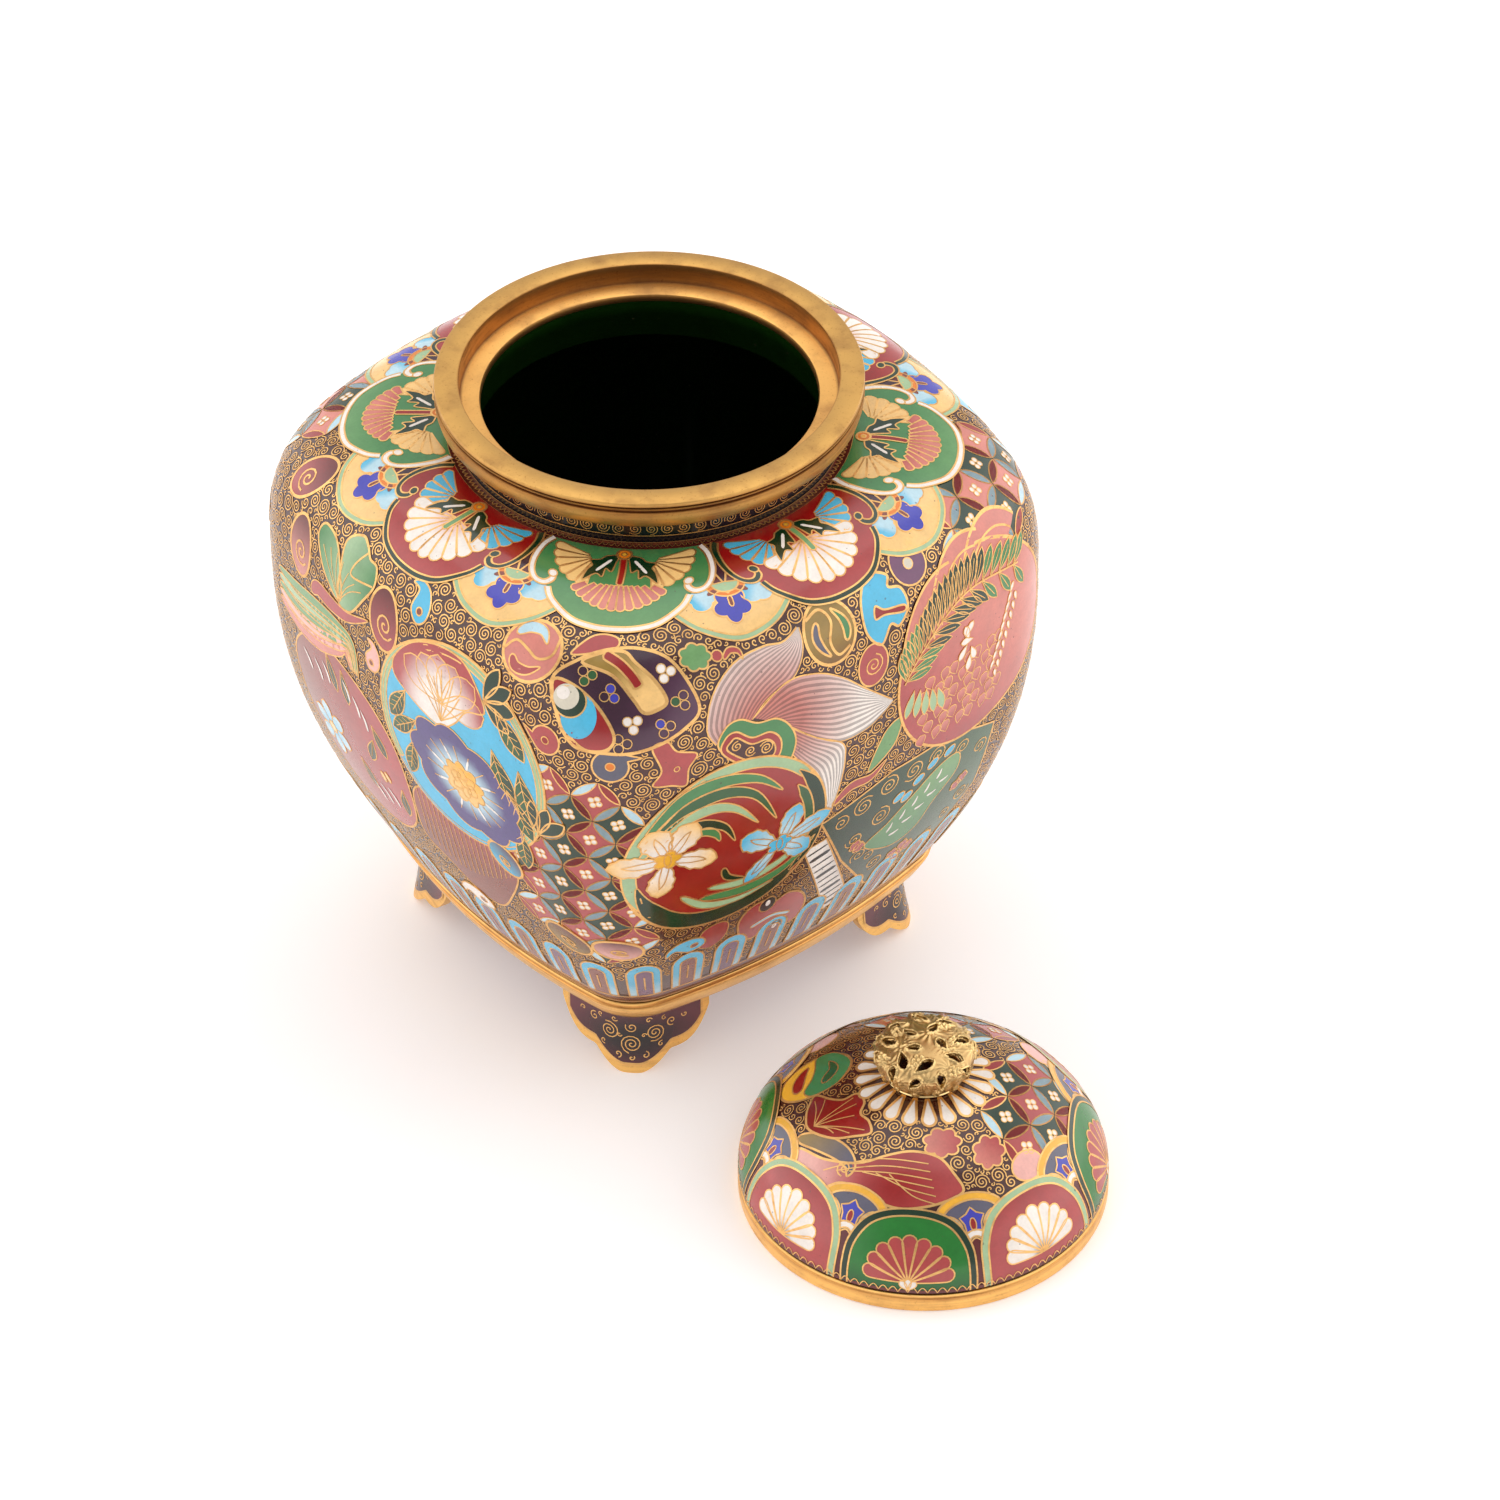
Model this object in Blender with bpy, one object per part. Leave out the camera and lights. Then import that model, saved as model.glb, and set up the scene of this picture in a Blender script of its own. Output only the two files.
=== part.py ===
"""Square-bodied cloisonne jar on four bracket feet, with its domed lid laid beside it.

Lengths are metres, +Z is up and the jar's square sides face +X, -X, +Y and -Y. The floor is z = 0, and
the origin lies under the middle of the whole group, jar and lid together.
"""
import math

import bmesh
import bpy
from mathutils import Vector

MM = 0.001

# Jar: heights of the pieces, from the floor up
FOOT_HEIGHT = 10.6 * MM
BASE_BAND_HEIGHT = 4.4 * MM
BODY_LOWER_HEIGHT = 48.4 * MM
SHOULDER_HEIGHT = 20.3 * MM
NECK_HEIGHT = 4.1 * MM
FIT_GAP = 0.3 * MM

# Jar: half-widths across the flat sides
NECK_RADIUS = 25.65 * MM
BELLY_HALF_WIDTH = 44.6 * MM
BASE_HALF_WIDTH = 32.0 * MM
BASE_BAND_TAPER = 1.9 * MM

# Jar: walls
BODY_WALL = 1.8 * MM
NECK_WALL = 2.3 * MM
BODY_FLOOR = 2.2 * MM
BASE_BAND_WALL = 3.2 * MM

# Plan shape: four shallow side arcs joined by corner arcs, 1.0 of softness being a full circle
SIDE_ARC_ANGLE = math.radians(13.0)
BELLY_SOFTNESS = 0.38
BASE_SOFTNESS = 0.27
SHOULDER_FULLNESS = 3.1
LOWER_FULLNESS = 2.25
SQUARING_RATE = 1.8

# Collar: the stepped gilt ring that the lid sits in
COLLAR_RADIUS = 28.5 * MM
COLLAR_RISE = 4.1 * MM
COLLAR_SKIRT = 0.6 * MM
COLLAR_FOOT_INSET = 1.9 * MM
RECESS_RADIUS = 25.2 * MM
RECESS_DEPTH = 3.0 * MM
MOUTH_RADIUS = 22.4 * MM
COLLAR_GROOVE = 0.3 * MM
COLLAR_EDGE = 0.3 * MM
LEDGE_ROUND = 0.5 * MM

# Bracket feet
FOOT_REACH = 11.6 * MM
FOOT_WALL = 1.5 * MM
FOOT_INSET = 1.6 * MM
FOOT_FLARE = 1.1 * MM
FOOT_CUSP_REACH = 5.6 * MM
FOOT_CUSP_HEIGHT = 2.9 * MM
FOOT_LOBE_HEIGHT = 8.0 * MM
FOOT_TOE = 1.1 * MM
CENTRE_LOBE_POWER = 1.6
SIDE_LOBE_POWER = 3.2
FOOT_COLUMNS = 22
FOOT_ROWS = 3

# Lid
LID_CLEARANCE = 0.3 * MM
LID_RIM_HEIGHT = 3.0 * MM
LID_RIM_WALL = 2.2 * MM
LID_RIM_EDGE = 0.35 * MM
DOME_RISE = 16.8 * MM
DOME_SET_IN = 0.2 * MM
DOME_WALL = 1.5 * MM
DOME_FULLNESS = 1.85

# Knob: a pierced bun of scrolling leaves
KNOB_RADIUS = 7.05 * MM
KNOB_SEAT_RADIUS = 5.0 * MM
KNOB_WAIST_HEIGHT = 3.75 * MM
KNOB_CROWN_HEIGHT = 2.4 * MM
KNOB_WALL = 0.8 * MM
KNOB_RELIEF = 0.3 * MM
KNOB_TWIST = math.radians(50.0)
KNOB_LEAVES = 6
COLUMNS_PER_LEAF = 5
KNOB_LOWER_ROWS = 4
KNOB_UPPER_ROWS = 5

# Where the lid lies, measured from the jar's axis
LID_FORWARD = 66.8 * MM
LID_SIDEWAYS = -8.0 * MM

# Mesh fineness
SIDE_SEGMENTS = 4
CORNER_SEGMENTS = 8
ROUND_SEGMENTS = 48
SHOULDER_STEPS = 8
LOWER_STEPS = 6
DOME_STEPS = 8
SMOOTH_ANGLE = math.radians(35.0)

# Heights and radii that follow from the sizes above
BAND_BOTTOM = FOOT_HEIGHT + FIT_GAP
BAND_TOP = BAND_BOTTOM + BASE_BAND_HEIGHT
BODY_BOTTOM = BAND_TOP + FIT_GAP
BELLY_Z = BODY_BOTTOM + BODY_LOWER_HEIGHT
SHOULDER_TOP = BELLY_Z + SHOULDER_HEIGHT
NECK_TOP = SHOULDER_TOP + NECK_HEIGHT
COLLAR_SEAT = NECK_TOP + FIT_GAP
COLLAR_TOP = COLLAR_SEAT + COLLAR_RISE
LID_RADIUS = RECESS_RADIUS - LID_CLEARANCE
DOME_RADIUS = LID_RADIUS - DOME_SET_IN
DOME_BOTTOM = LID_RIM_HEIGHT + FIT_GAP

# The group is centred: the jar stands back by half of what the lid sticks out in front
GROUP_BACK = BELLY_HALF_WIDTH
GROUP_FRONT = LID_FORWARD + LID_RADIUS
JAR_CENTRE = Vector((0.0, (GROUP_FRONT - GROUP_BACK) / 2, 0.0))
LID_CENTRE = JAR_CENTRE + Vector((LID_SIDEWAYS, -LID_FORWARD, 0.0))


def clear_scene():
    """Remove every object that is already in the file."""
    for item in list(bpy.data.objects):
        bpy.data.objects.remove(item, do_unlink=True)


def make_material(name, colour, roughness, metallic):
    """Return a Principled material with one colour and finish."""
    material = bpy.data.materials.new(name)
    material.use_nodes = True
    shader = material.node_tree.nodes["Principled BSDF"]
    shader.inputs["Base Color"].default_value = (*colour, 1.0)
    shader.inputs["Roughness"].default_value = roughness
    shader.inputs["Metallic"].default_value = metallic
    return material


def make_object(name, shape, material, place):
    """Turn a bmesh into a named object that stands at its own place."""
    mesh = bpy.data.meshes.new(name)
    shape.to_mesh(mesh)
    shape.free()
    mesh.materials.append(material)
    mesh.shade_smooth()
    mesh.set_sharp_from_angle(angle=SMOOTH_ANGLE)
    piece = bpy.data.objects.new(name, mesh)
    piece.location = place
    bpy.context.scene.collection.objects.link(piece)
    return piece


def side_arc_radius(half_width, corner_radius):
    """Return the radius of the shallow side arc that meets a corner arc smoothly."""
    lean = math.cos(SIDE_ARC_ANGLE) - math.sin(SIDE_ARC_ANGLE)
    return (half_width - corner_radius * lean) / (1.0 - lean)


def cushion_point(half_width, softness, angle):
    """Return the plan point whose outward normal points along angle, on a cushion-shaped ring."""
    corner_radius = softness * half_width
    side_radius = side_arc_radius(half_width, corner_radius)
    quarter = round(angle / (math.pi / 2))
    local = angle - quarter * math.pi / 2
    turn = abs(local)
    if turn <= SIDE_ARC_ANGLE:
        x = half_width - side_radius + side_radius * math.cos(turn)
        y = side_radius * math.sin(turn)
    else:
        run = side_radius - corner_radius
        x = half_width - side_radius + run * math.cos(SIDE_ARC_ANGLE) + corner_radius * math.cos(turn)
        y = run * math.sin(SIDE_ARC_ANGLE) + corner_radius * math.sin(turn)
    y = math.copysign(y, local)
    c, s = math.cos(quarter * math.pi / 2), math.sin(quarter * math.pi / 2)
    return x * c - y * s, x * s + y * c


def cushion_angles():
    """Return the normal directions of one ring's points, finer at the corners."""
    angles = []
    for quarter in range(4):
        start = quarter * math.pi / 2 - SIDE_ARC_ANGLE
        for step in range(SIDE_SEGMENTS):
            angles.append(start + 2 * SIDE_ARC_ANGLE * step / SIDE_SEGMENTS)
        corner = math.pi / 2 - 2 * SIDE_ARC_ANGLE
        for step in range(CORNER_SEGMENTS):
            angles.append(start + 2 * SIDE_ARC_ANGLE + corner * step / CORNER_SEGMENTS)
    return angles


def cushion_ring(half_width, softness, z):
    """Return one ring of the jar's plan shape at height z."""
    ring = []
    for angle in cushion_angles():
        x, y = cushion_point(half_width, softness, angle)
        ring.append((x, y, z))
    return ring


def round_ring(radius, z):
    """Return one circle at height z."""
    turn = 2 * math.pi / ROUND_SEGMENTS
    return [(radius * math.cos(i * turn), radius * math.sin(i * turn), z) for i in range(ROUND_SEGMENTS)]


def loft(rings, closed_loop):
    """Skin rings in order, either round a closed section or between a bottom and a top cap."""
    shape = bmesh.new()
    rows = [[shape.verts.new(point) for point in ring] for ring in rings]
    pairs = list(zip(rows, rows[1:]))
    if closed_loop:
        pairs.append((rows[-1], rows[0]))
    for low, high in pairs:
        count = len(low)
        for i in range(count):
            j = (i + 1) % count
            shape.faces.new((low[i], low[j], high[j], high[i]))
    if not closed_loop:
        shape.faces.new(list(reversed(rows[0])))
        shape.faces.new(rows[-1])
    return shape


def shoulder_softness(share):
    """Return how round the plan is, from the round neck to the squared belly."""
    return 1.0 - (1.0 - BELLY_SOFTNESS) * share ** SQUARING_RATE


def body_profile(inset, neck_radius, bottom):
    """Return (half width, softness, z) stations from the bottom up to the shoulder, moved in by inset."""
    belly = BELLY_HALF_WIDTH - inset
    base = BASE_HALF_WIDTH - inset
    stations = []
    for step in range(LOWER_STEPS):
        down = 1.0 - step / LOWER_STEPS
        half = belly - (belly - base) * down ** LOWER_FULLNESS
        softness = BELLY_SOFTNESS + (BASE_SOFTNESS - BELLY_SOFTNESS) * down
        stations.append((half, softness, BELLY_Z - (BELLY_Z - bottom) * down))
    rise = SHOULDER_HEIGHT - inset
    power = 2.0 / SHOULDER_FULLNESS
    for step in range(SHOULDER_STEPS):
        turn = math.pi / 2 * step / SHOULDER_STEPS
        share = math.cos(turn) ** power
        half = neck_radius + (belly - neck_radius) * share
        stations.append((half, shoulder_softness(share), BELLY_Z + rise * math.sin(turn) ** power))
    return stations


def make_body(material):
    """Hollow enamelled body: flat base, swelling sides, round neck."""
    outside = body_profile(0.0, NECK_RADIUS, BODY_BOTTOM)
    inside = body_profile(BODY_WALL, NECK_RADIUS - NECK_WALL, BODY_BOTTOM + BODY_FLOOR)
    fillet = NECK_HEIGHT / 5
    rings = [cushion_ring(*station) for station in outside]
    rings.append(cushion_ring(NECK_RADIUS + fillet / 2, 1.0, SHOULDER_TOP + fillet / 2))
    rings.append(cushion_ring(NECK_RADIUS, 1.0, SHOULDER_TOP + fillet))
    rings.append(cushion_ring(NECK_RADIUS, 1.0, NECK_TOP))
    rings.append(cushion_ring(NECK_RADIUS - NECK_WALL, 1.0, NECK_TOP))
    rings.append(cushion_ring(NECK_RADIUS - NECK_WALL, 1.0, SHOULDER_TOP - BODY_WALL))
    rings.extend(cushion_ring(*station) for station in reversed(inside))
    return make_object("jar_body", loft(rings, False), material, JAR_CENTRE)


def make_base_band(material):
    """Gilt band under the body, tapering down to the feet."""
    foot_half = BASE_HALF_WIDTH - BASE_BAND_TAPER
    section = (
        (BASE_HALF_WIDTH - BASE_BAND_WALL, BAND_BOTTOM),
        (foot_half, BAND_BOTTOM),
        (foot_half + BASE_BAND_TAPER * 0.35, BAND_BOTTOM + BASE_BAND_HEIGHT * 0.25),
        (BASE_HALF_WIDTH, BAND_TOP - BASE_BAND_HEIGHT * 0.2),
        (BASE_HALF_WIDTH, BAND_TOP),
        (BASE_HALF_WIDTH - BASE_BAND_WALL, BAND_TOP),
    )
    rings = [cushion_ring(half, BASE_SOFTNESS, z) for half, z in section]
    return make_object("base_band", loft(rings, True), material, JAR_CENTRE)


def make_collar(material):
    """Stepped gilt ring on the neck, with the recess and the ledge that the lid sits on."""
    ledge = COLLAR_TOP - RECESS_DEPTH
    skirt = COLLAR_SEAT - COLLAR_SKIRT
    bore = NECK_RADIUS + FIT_GAP
    belly = skirt + (COLLAR_TOP - skirt) * 0.45
    section = (
        (MOUTH_RADIUS, COLLAR_SEAT),
        (bore, COLLAR_SEAT),
        (bore, skirt),
        (COLLAR_RADIUS - COLLAR_FOOT_INSET, skirt),
        (COLLAR_RADIUS - COLLAR_FOOT_INSET * 0.45, skirt + (belly - skirt) * 0.22),
        (COLLAR_RADIUS - COLLAR_FOOT_INSET * 0.12, skirt + (belly - skirt) * 0.6),
        (COLLAR_RADIUS, belly),
        (COLLAR_RADIUS, COLLAR_TOP - 4 * COLLAR_EDGE),
        (COLLAR_RADIUS - COLLAR_GROOVE, COLLAR_TOP - 3 * COLLAR_EDGE),
        (COLLAR_RADIUS, COLLAR_TOP - 2 * COLLAR_EDGE),
        (COLLAR_RADIUS, COLLAR_TOP - COLLAR_EDGE),
        (COLLAR_RADIUS - COLLAR_EDGE, COLLAR_TOP),
        (RECESS_RADIUS + COLLAR_EDGE / 2, COLLAR_TOP),
        (RECESS_RADIUS, COLLAR_TOP - COLLAR_EDGE / 2),
        (RECESS_RADIUS, ledge),
        (MOUTH_RADIUS + LEDGE_ROUND, ledge),
        (MOUTH_RADIUS + LEDGE_ROUND * 0.3, ledge - LEDGE_ROUND * 0.3),
        (MOUTH_RADIUS, ledge - LEDGE_ROUND),
    )
    rings = [round_ring(radius, z) for radius, z in section]
    return make_object("collar_ring", loft(rings, True), material, JAR_CENTRE)


def foot_bottom(reach):
    """Return the height of a foot's scalloped lower edge at an arc distance from the corner."""
    along = abs(reach)
    if along <= FOOT_TOE:
        return 0.0
    if along <= FOOT_CUSP_REACH:
        share = (along - FOOT_TOE) / (FOOT_CUSP_REACH - FOOT_TOE)
        return FOOT_CUSP_HEIGHT * share ** CENTRE_LOBE_POWER
    share = (along - FOOT_CUSP_REACH) / (FOOT_REACH - FOOT_CUSP_REACH)
    return FOOT_CUSP_HEIGHT + (FOOT_LOBE_HEIGHT - FOOT_CUSP_HEIGHT) * share ** SIDE_LOBE_POWER


def foot_half_width(z):
    """Return the half-width that the feet's outer faces follow at height z, flared at the floor."""
    top = BASE_HALF_WIDTH - BASE_BAND_TAPER - FOOT_INSET
    return top + FOOT_FLARE * (1.0 - z / FOOT_HEIGHT) ** 2


def wall_point(half_width, softness, reach):
    """Return the plan point and its normal angle at an arc distance from the front-left corner."""
    corner_radius = softness * half_width
    corner_turn = math.pi / 4 - SIDE_ARC_ANGLE
    corner_run = corner_radius * corner_turn
    along = abs(reach)
    if along <= corner_run:
        turn = along / corner_radius
    else:
        turn = corner_turn + (along - corner_run) / side_arc_radius(half_width, corner_radius)
    angle = -3 * math.pi / 4 + math.copysign(turn, reach)
    return cushion_point(half_width, softness, angle), angle


def foot_columns():
    """Return the arc distances of a foot's columns, with one at each cusp and toe edge."""
    fixed = (FOOT_TOE, FOOT_CUSP_REACH)
    steps = [FOOT_REACH * (2 * i / FOOT_COLUMNS - 1) for i in range(FOOT_COLUMNS + 1)]
    for mark in fixed:
        for side in (-mark, mark):
            nearest = min(range(len(steps)), key=lambda i: abs(steps[i] - side))
            steps[nearest] = side
    return steps


def foot_shape():
    """Skin one bracket foot that wraps the front-left corner."""
    shape = bmesh.new()
    softness = BASE_SOFTNESS
    outer, inner = [], []
    for reach in foot_columns():
        low = foot_bottom(reach)
        column_out, column_in = [], []
        for row in range(FOOT_ROWS + 1):
            z = low + (FOOT_HEIGHT - low) * row / FOOT_ROWS
            (x, y), angle = wall_point(foot_half_width(z), softness, reach)
            column_out.append(shape.verts.new((x, y, z)))
            back = Vector((math.cos(angle), math.sin(angle))) * FOOT_WALL
            column_in.append(shape.verts.new((x - back.x, y - back.y, z)))
        outer.append(column_out)
        inner.append(column_in)
    last = len(outer) - 1
    for i in range(last):
        for row in range(FOOT_ROWS):
            a, b = outer[i], outer[i + 1]
            shape.faces.new((a[row], b[row], b[row + 1], a[row + 1]))
            a, b = inner[i], inner[i + 1]
            shape.faces.new((b[row], a[row], a[row + 1], b[row + 1]))
        shape.faces.new((outer[i][-1], outer[i + 1][-1], inner[i + 1][-1], inner[i][-1]))
        shape.faces.new((inner[i][0], inner[i + 1][0], outer[i + 1][0], outer[i][0]))
    for row in range(FOOT_ROWS):
        shape.faces.new((inner[0][row], outer[0][row], outer[0][row + 1], inner[0][row + 1]))
        shape.faces.new((outer[last][row], inner[last][row], inner[last][row + 1], outer[last][row + 1]))
    return shape


def make_feet(material):
    """Four bracket feet, the same shape turned to each corner."""
    names = ("foot_front_left", "foot_front_right", "foot_back_right", "foot_back_left")
    feet = []
    for quarter, name in enumerate(names):
        foot = make_object(name, foot_shape(), material, JAR_CENTRE)
        foot.rotation_euler = (0.0, 0.0, quarter * math.pi / 2)
        feet.append(foot)
    return feet


def make_lid_rim(material):
    """Gilt band round the lid's lower edge."""
    section = (
        (LID_RADIUS - LID_RIM_WALL, 0.0),
        (LID_RADIUS - LID_RIM_EDGE, 0.0),
        (LID_RADIUS, LID_RIM_EDGE),
        (LID_RADIUS, LID_RIM_HEIGHT - LID_RIM_EDGE),
        (LID_RADIUS - LID_RIM_EDGE, LID_RIM_HEIGHT),
        (LID_RADIUS - LID_RIM_WALL, LID_RIM_HEIGHT),
    )
    rings = [round_ring(radius, z) for radius, z in section]
    return make_object("lid_rim", loft(rings, True), material, LID_CENTRE)


def dome_height(radius, dome_radius, rise):
    """Return the height above the rim of a dome's surface at a radius."""
    share = min(1.0, radius / dome_radius)
    return rise * (1.0 - share ** DOME_FULLNESS) ** (1.0 / DOME_FULLNESS)


def dome_rings(dome_radius, rise):
    """Return the rings of one dome surface from its edge up to near its top."""
    rings = []
    power = 2.0 / DOME_FULLNESS
    for step in range(DOME_STEPS):
        turn = math.pi / 2 * step / DOME_STEPS
        rings.append(round_ring(dome_radius * math.cos(turn) ** power, DOME_BOTTOM + rise * math.sin(turn) ** power))
    return rings


def make_lid_dome(material):
    """Thin enamelled dome, open below."""
    outside = dome_rings(DOME_RADIUS, DOME_RISE)
    inside = dome_rings(DOME_RADIUS - DOME_WALL, DOME_RISE - DOME_WALL)
    shape = bmesh.new()
    rows = [[shape.verts.new(point) for point in ring] for ring in reversed(inside)]
    rows += [[shape.verts.new(point) for point in ring] for ring in outside]
    for low, high in zip(rows, rows[1:]):
        for i in range(ROUND_SEGMENTS):
            j = (i + 1) % ROUND_SEGMENTS
            shape.faces.new((low[i], low[j], high[j], high[i]))
    crown = shape.verts.new((0.0, 0.0, DOME_BOTTOM + DOME_RISE))
    hollow = shape.verts.new((0.0, 0.0, DOME_BOTTOM + DOME_RISE - DOME_WALL))
    for i in range(ROUND_SEGMENTS):
        j = (i + 1) % ROUND_SEGMENTS
        shape.faces.new((rows[-1][i], rows[-1][j], crown))
        shape.faces.new((rows[0][j], rows[0][i], hollow))
    return make_object("lid_dome", shape, material, LID_CENTRE)


def knob_profile():
    """Return (radius, z) rows of the knob's outer surface, from its seat to its crown ring."""
    seat = DOME_BOTTOM + dome_height(KNOB_SEAT_RADIUS, DOME_RADIUS, DOME_RISE) + FIT_GAP
    waist = seat + KNOB_WAIST_HEIGHT
    rows = []
    for step in range(KNOB_LOWER_ROWS):
        turn = math.pi / 2 * step / KNOB_LOWER_ROWS
        radius = KNOB_SEAT_RADIUS + (KNOB_RADIUS - KNOB_SEAT_RADIUS) * math.sin(turn)
        rows.append((radius, waist - KNOB_WAIST_HEIGHT * math.cos(turn)))
    for step in range(KNOB_UPPER_ROWS):
        turn = math.pi / 2 * step / KNOB_UPPER_ROWS
        rows.append((KNOB_RADIUS * math.cos(turn), waist + KNOB_CROWN_HEIGHT * math.sin(turn)))
    return rows, waist + KNOB_CROWN_HEIGHT


def is_hole(column, row):
    """Say whether a face of the knob's grid is one of the slots between the leaves."""
    beside = column % COLUMNS_PER_LEAF
    low_slot = beside == 3 and row == 1
    side_slot = beside == 1 and row in (3, 4)
    crown_slot = beside == 3 and row in (5, 6)
    return low_slot or side_slot or crown_slot


def make_knob(material):
    """Pierced gilt knob: leaves that scroll round a hollow bun, with slots between them."""
    shape = bmesh.new()
    profile, top = knob_profile()
    columns = KNOB_LEAVES * COLUMNS_PER_LEAF
    rows = []
    for row, (radius, z) in enumerate(profile):
        twist = KNOB_TWIST * row / len(profile)
        swell = KNOB_RELIEF * math.sin(math.pi * row / len(profile))
        ring = []
        for column in range(columns):
            angle = 2 * math.pi * column / columns + twist
            leaf = math.cos(2 * math.pi * column / COLUMNS_PER_LEAF)
            reach = radius - swell * (1.0 - leaf) / 2
            ring.append(shape.verts.new((reach * math.cos(angle), reach * math.sin(angle), z)))
        rows.append(ring)
    for row, (low, high) in enumerate(zip(rows, rows[1:])):
        for i in range(columns):
            j = (i + 1) % columns
            if not is_hole(i, row):
                shape.faces.new((low[i], low[j], high[j], high[i]))
    crown = shape.verts.new((0.0, 0.0, top))
    for i in range(columns):
        shape.faces.new((rows[-1][i], rows[-1][(i + 1) % columns], crown))
    knob = make_object("lid_knob", shape, material, LID_CENTRE)
    wall = knob.modifiers.new("wall", "SOLIDIFY")
    wall.thickness = KNOB_WALL
    wall.offset = -1.0
    wall.use_even_offset = True
    return knob


def build():
    """Build every piece of the jar and its lid."""
    clear_scene()
    enamel = make_material("cloisonne_enamel", (0.16, 0.07, 0.06), 0.15, 0.0)
    foot_enamel = make_material("aubergine_enamel", (0.12, 0.03, 0.04), 0.2, 0.0)
    gilt = make_material("gilt_brass", (0.72, 0.47, 0.16), 0.35, 1.0)
    make_body(enamel)
    make_base_band(gilt)
    make_feet(foot_enamel)
    make_collar(gilt)
    make_lid_rim(gilt)
    make_lid_dome(enamel)
    make_knob(gilt)


build()
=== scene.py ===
"""Looks of the cloisonne lidded jar: enamel cells, gilt wires, scroll ground and antique gilt mounts.

Lengths are millimetres in the jar's own plan until a mesh is made, and metres after that. A place on
the jar or the lid is given by the angle round its axis and the distance down its surface.
"""
import logging
import math
from dataclasses import dataclass, replace
from enum import Enum
from functools import partial
from typing import Callable, Iterable, Optional, Protocol, Sequence, Union

import bmesh
import bpy
import numpy as np
from mathutils import Matrix, Vector
from mathutils.bvhtree import BVHTree
from mathutils.geometry import delaunay_2d_cdt
from mathutils.kdtree import KDTree


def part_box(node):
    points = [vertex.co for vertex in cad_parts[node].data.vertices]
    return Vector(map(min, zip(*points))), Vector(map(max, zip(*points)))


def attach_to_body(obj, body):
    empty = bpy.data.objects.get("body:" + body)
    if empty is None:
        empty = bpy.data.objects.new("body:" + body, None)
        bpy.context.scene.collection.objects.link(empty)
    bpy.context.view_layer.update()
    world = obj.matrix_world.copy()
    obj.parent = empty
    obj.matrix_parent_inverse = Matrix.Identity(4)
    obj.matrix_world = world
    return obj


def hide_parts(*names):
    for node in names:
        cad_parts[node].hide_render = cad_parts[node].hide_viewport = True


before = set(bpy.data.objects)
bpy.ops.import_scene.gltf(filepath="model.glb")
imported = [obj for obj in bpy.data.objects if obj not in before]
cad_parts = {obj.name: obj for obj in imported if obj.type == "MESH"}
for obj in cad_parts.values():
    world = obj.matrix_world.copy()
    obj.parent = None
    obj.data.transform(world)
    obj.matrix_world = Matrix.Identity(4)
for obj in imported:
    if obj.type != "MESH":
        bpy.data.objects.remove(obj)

LOG = logging.getLogger("jar")
MM = 0.001
BODY = "root"
FRONT_CORNER = -135.0

Points = np.ndarray
Colour = tuple[float, float, float]
Shade = Callable[[Points], Points]
Path = Sequence[tuple[float, float]]


def span(node: str) -> tuple[float, float, float]:
    """Return a CAD node's half width, bottom and top, in millimetres.

    Args:
        node: The CAD node's name.

    Returns:
        The three measures.
    """
    low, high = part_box(node)
    return (high.x - low.x) / 2 / MM, low.z / MM, high.z / MM


def axis_of(node: str) -> Vector:
    """Return the foot of a CAD node's upright axis, in millimetres.

    Args:
        node: The CAD node's name.

    Returns:
        A point of the floor.
    """
    low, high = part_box(node)
    middle = (low + high) / 2 / MM
    return Vector((middle.x, middle.y, 0.0))


def linear(colour: Colour) -> Colour:
    """Return a colour of 0 to 255 steps as linear light.

    Args:
        colour: Red, green and blue as a painter's chart gives them.

    Returns:
        The linear colour that shaders and attributes hold.
    """
    shares = [step / 255 for step in colour]
    return tuple(s / 12.92 if s <= 0.04045 else ((s + 0.055) / 1.055) ** 2.4 for s in shares)


class Hue(Enum):
    """The enamels in the pot, as 0 to 255 steps."""

    GROUND = (76, 43, 33)
    NAVY = (22, 24, 40)
    NECK_RED = (104, 50, 42)
    WHITE = (238, 230, 222)
    PEARL = (214, 208, 190)
    CREAM = (240, 198, 130)
    YELLOW = (236, 178, 66)
    ORANGE = (226, 128, 40)
    PINK = (208, 130, 118)
    PALE_PINK = (232, 176, 166)
    ROSE = (172, 78, 78)
    RED = (150, 38, 36)
    MAROON = (96, 24, 28)
    BROWN = (130, 70, 58)
    PURPLE = (66, 32, 58)
    MAUVE = (112, 74, 104)
    VIOLET = (88, 78, 128)
    BLUE = (70, 72, 176)
    SKY = (82, 184, 220)
    PALE_BLUE = (182, 216, 228)
    GREY = (96, 96, 112)
    GREEN = (76, 134, 84)
    PALE_GREEN = (160, 192, 150)
    LEAF = (112, 158, 104)
    DARK_GREEN = (18, 62, 44)
    MOSS = (58, 96, 62)
    OLIVE = (150, 124, 62)
    BLACK = (20, 14, 16)
    COUNTER_GREEN = (46, 74, 28)
    LID_GREEN = (48, 122, 56)
    AUBERGINE = (104, 58, 66)

    @property
    def light(self) -> Colour:
        """Return the enamel as a linear colour, less the sheen that the chart's colour has in it."""
        return tuple(max(0.3 * part, part - 0.022) for part in linear(self.value))


def blend(first: Hue, second: Hue, share: Points) -> Points:
    """Return colours between two enamels.

    Args:
        first: The enamel where the share is 0.
        second: The enamel where the share is 1.
        share: One share a point.

    Returns:
        One linear colour a point.
    """
    share = np.clip(share, 0.0, 1.0)[:, None]
    return np.array(first.light) * (1 - share) + np.array(second.light) * share


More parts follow.
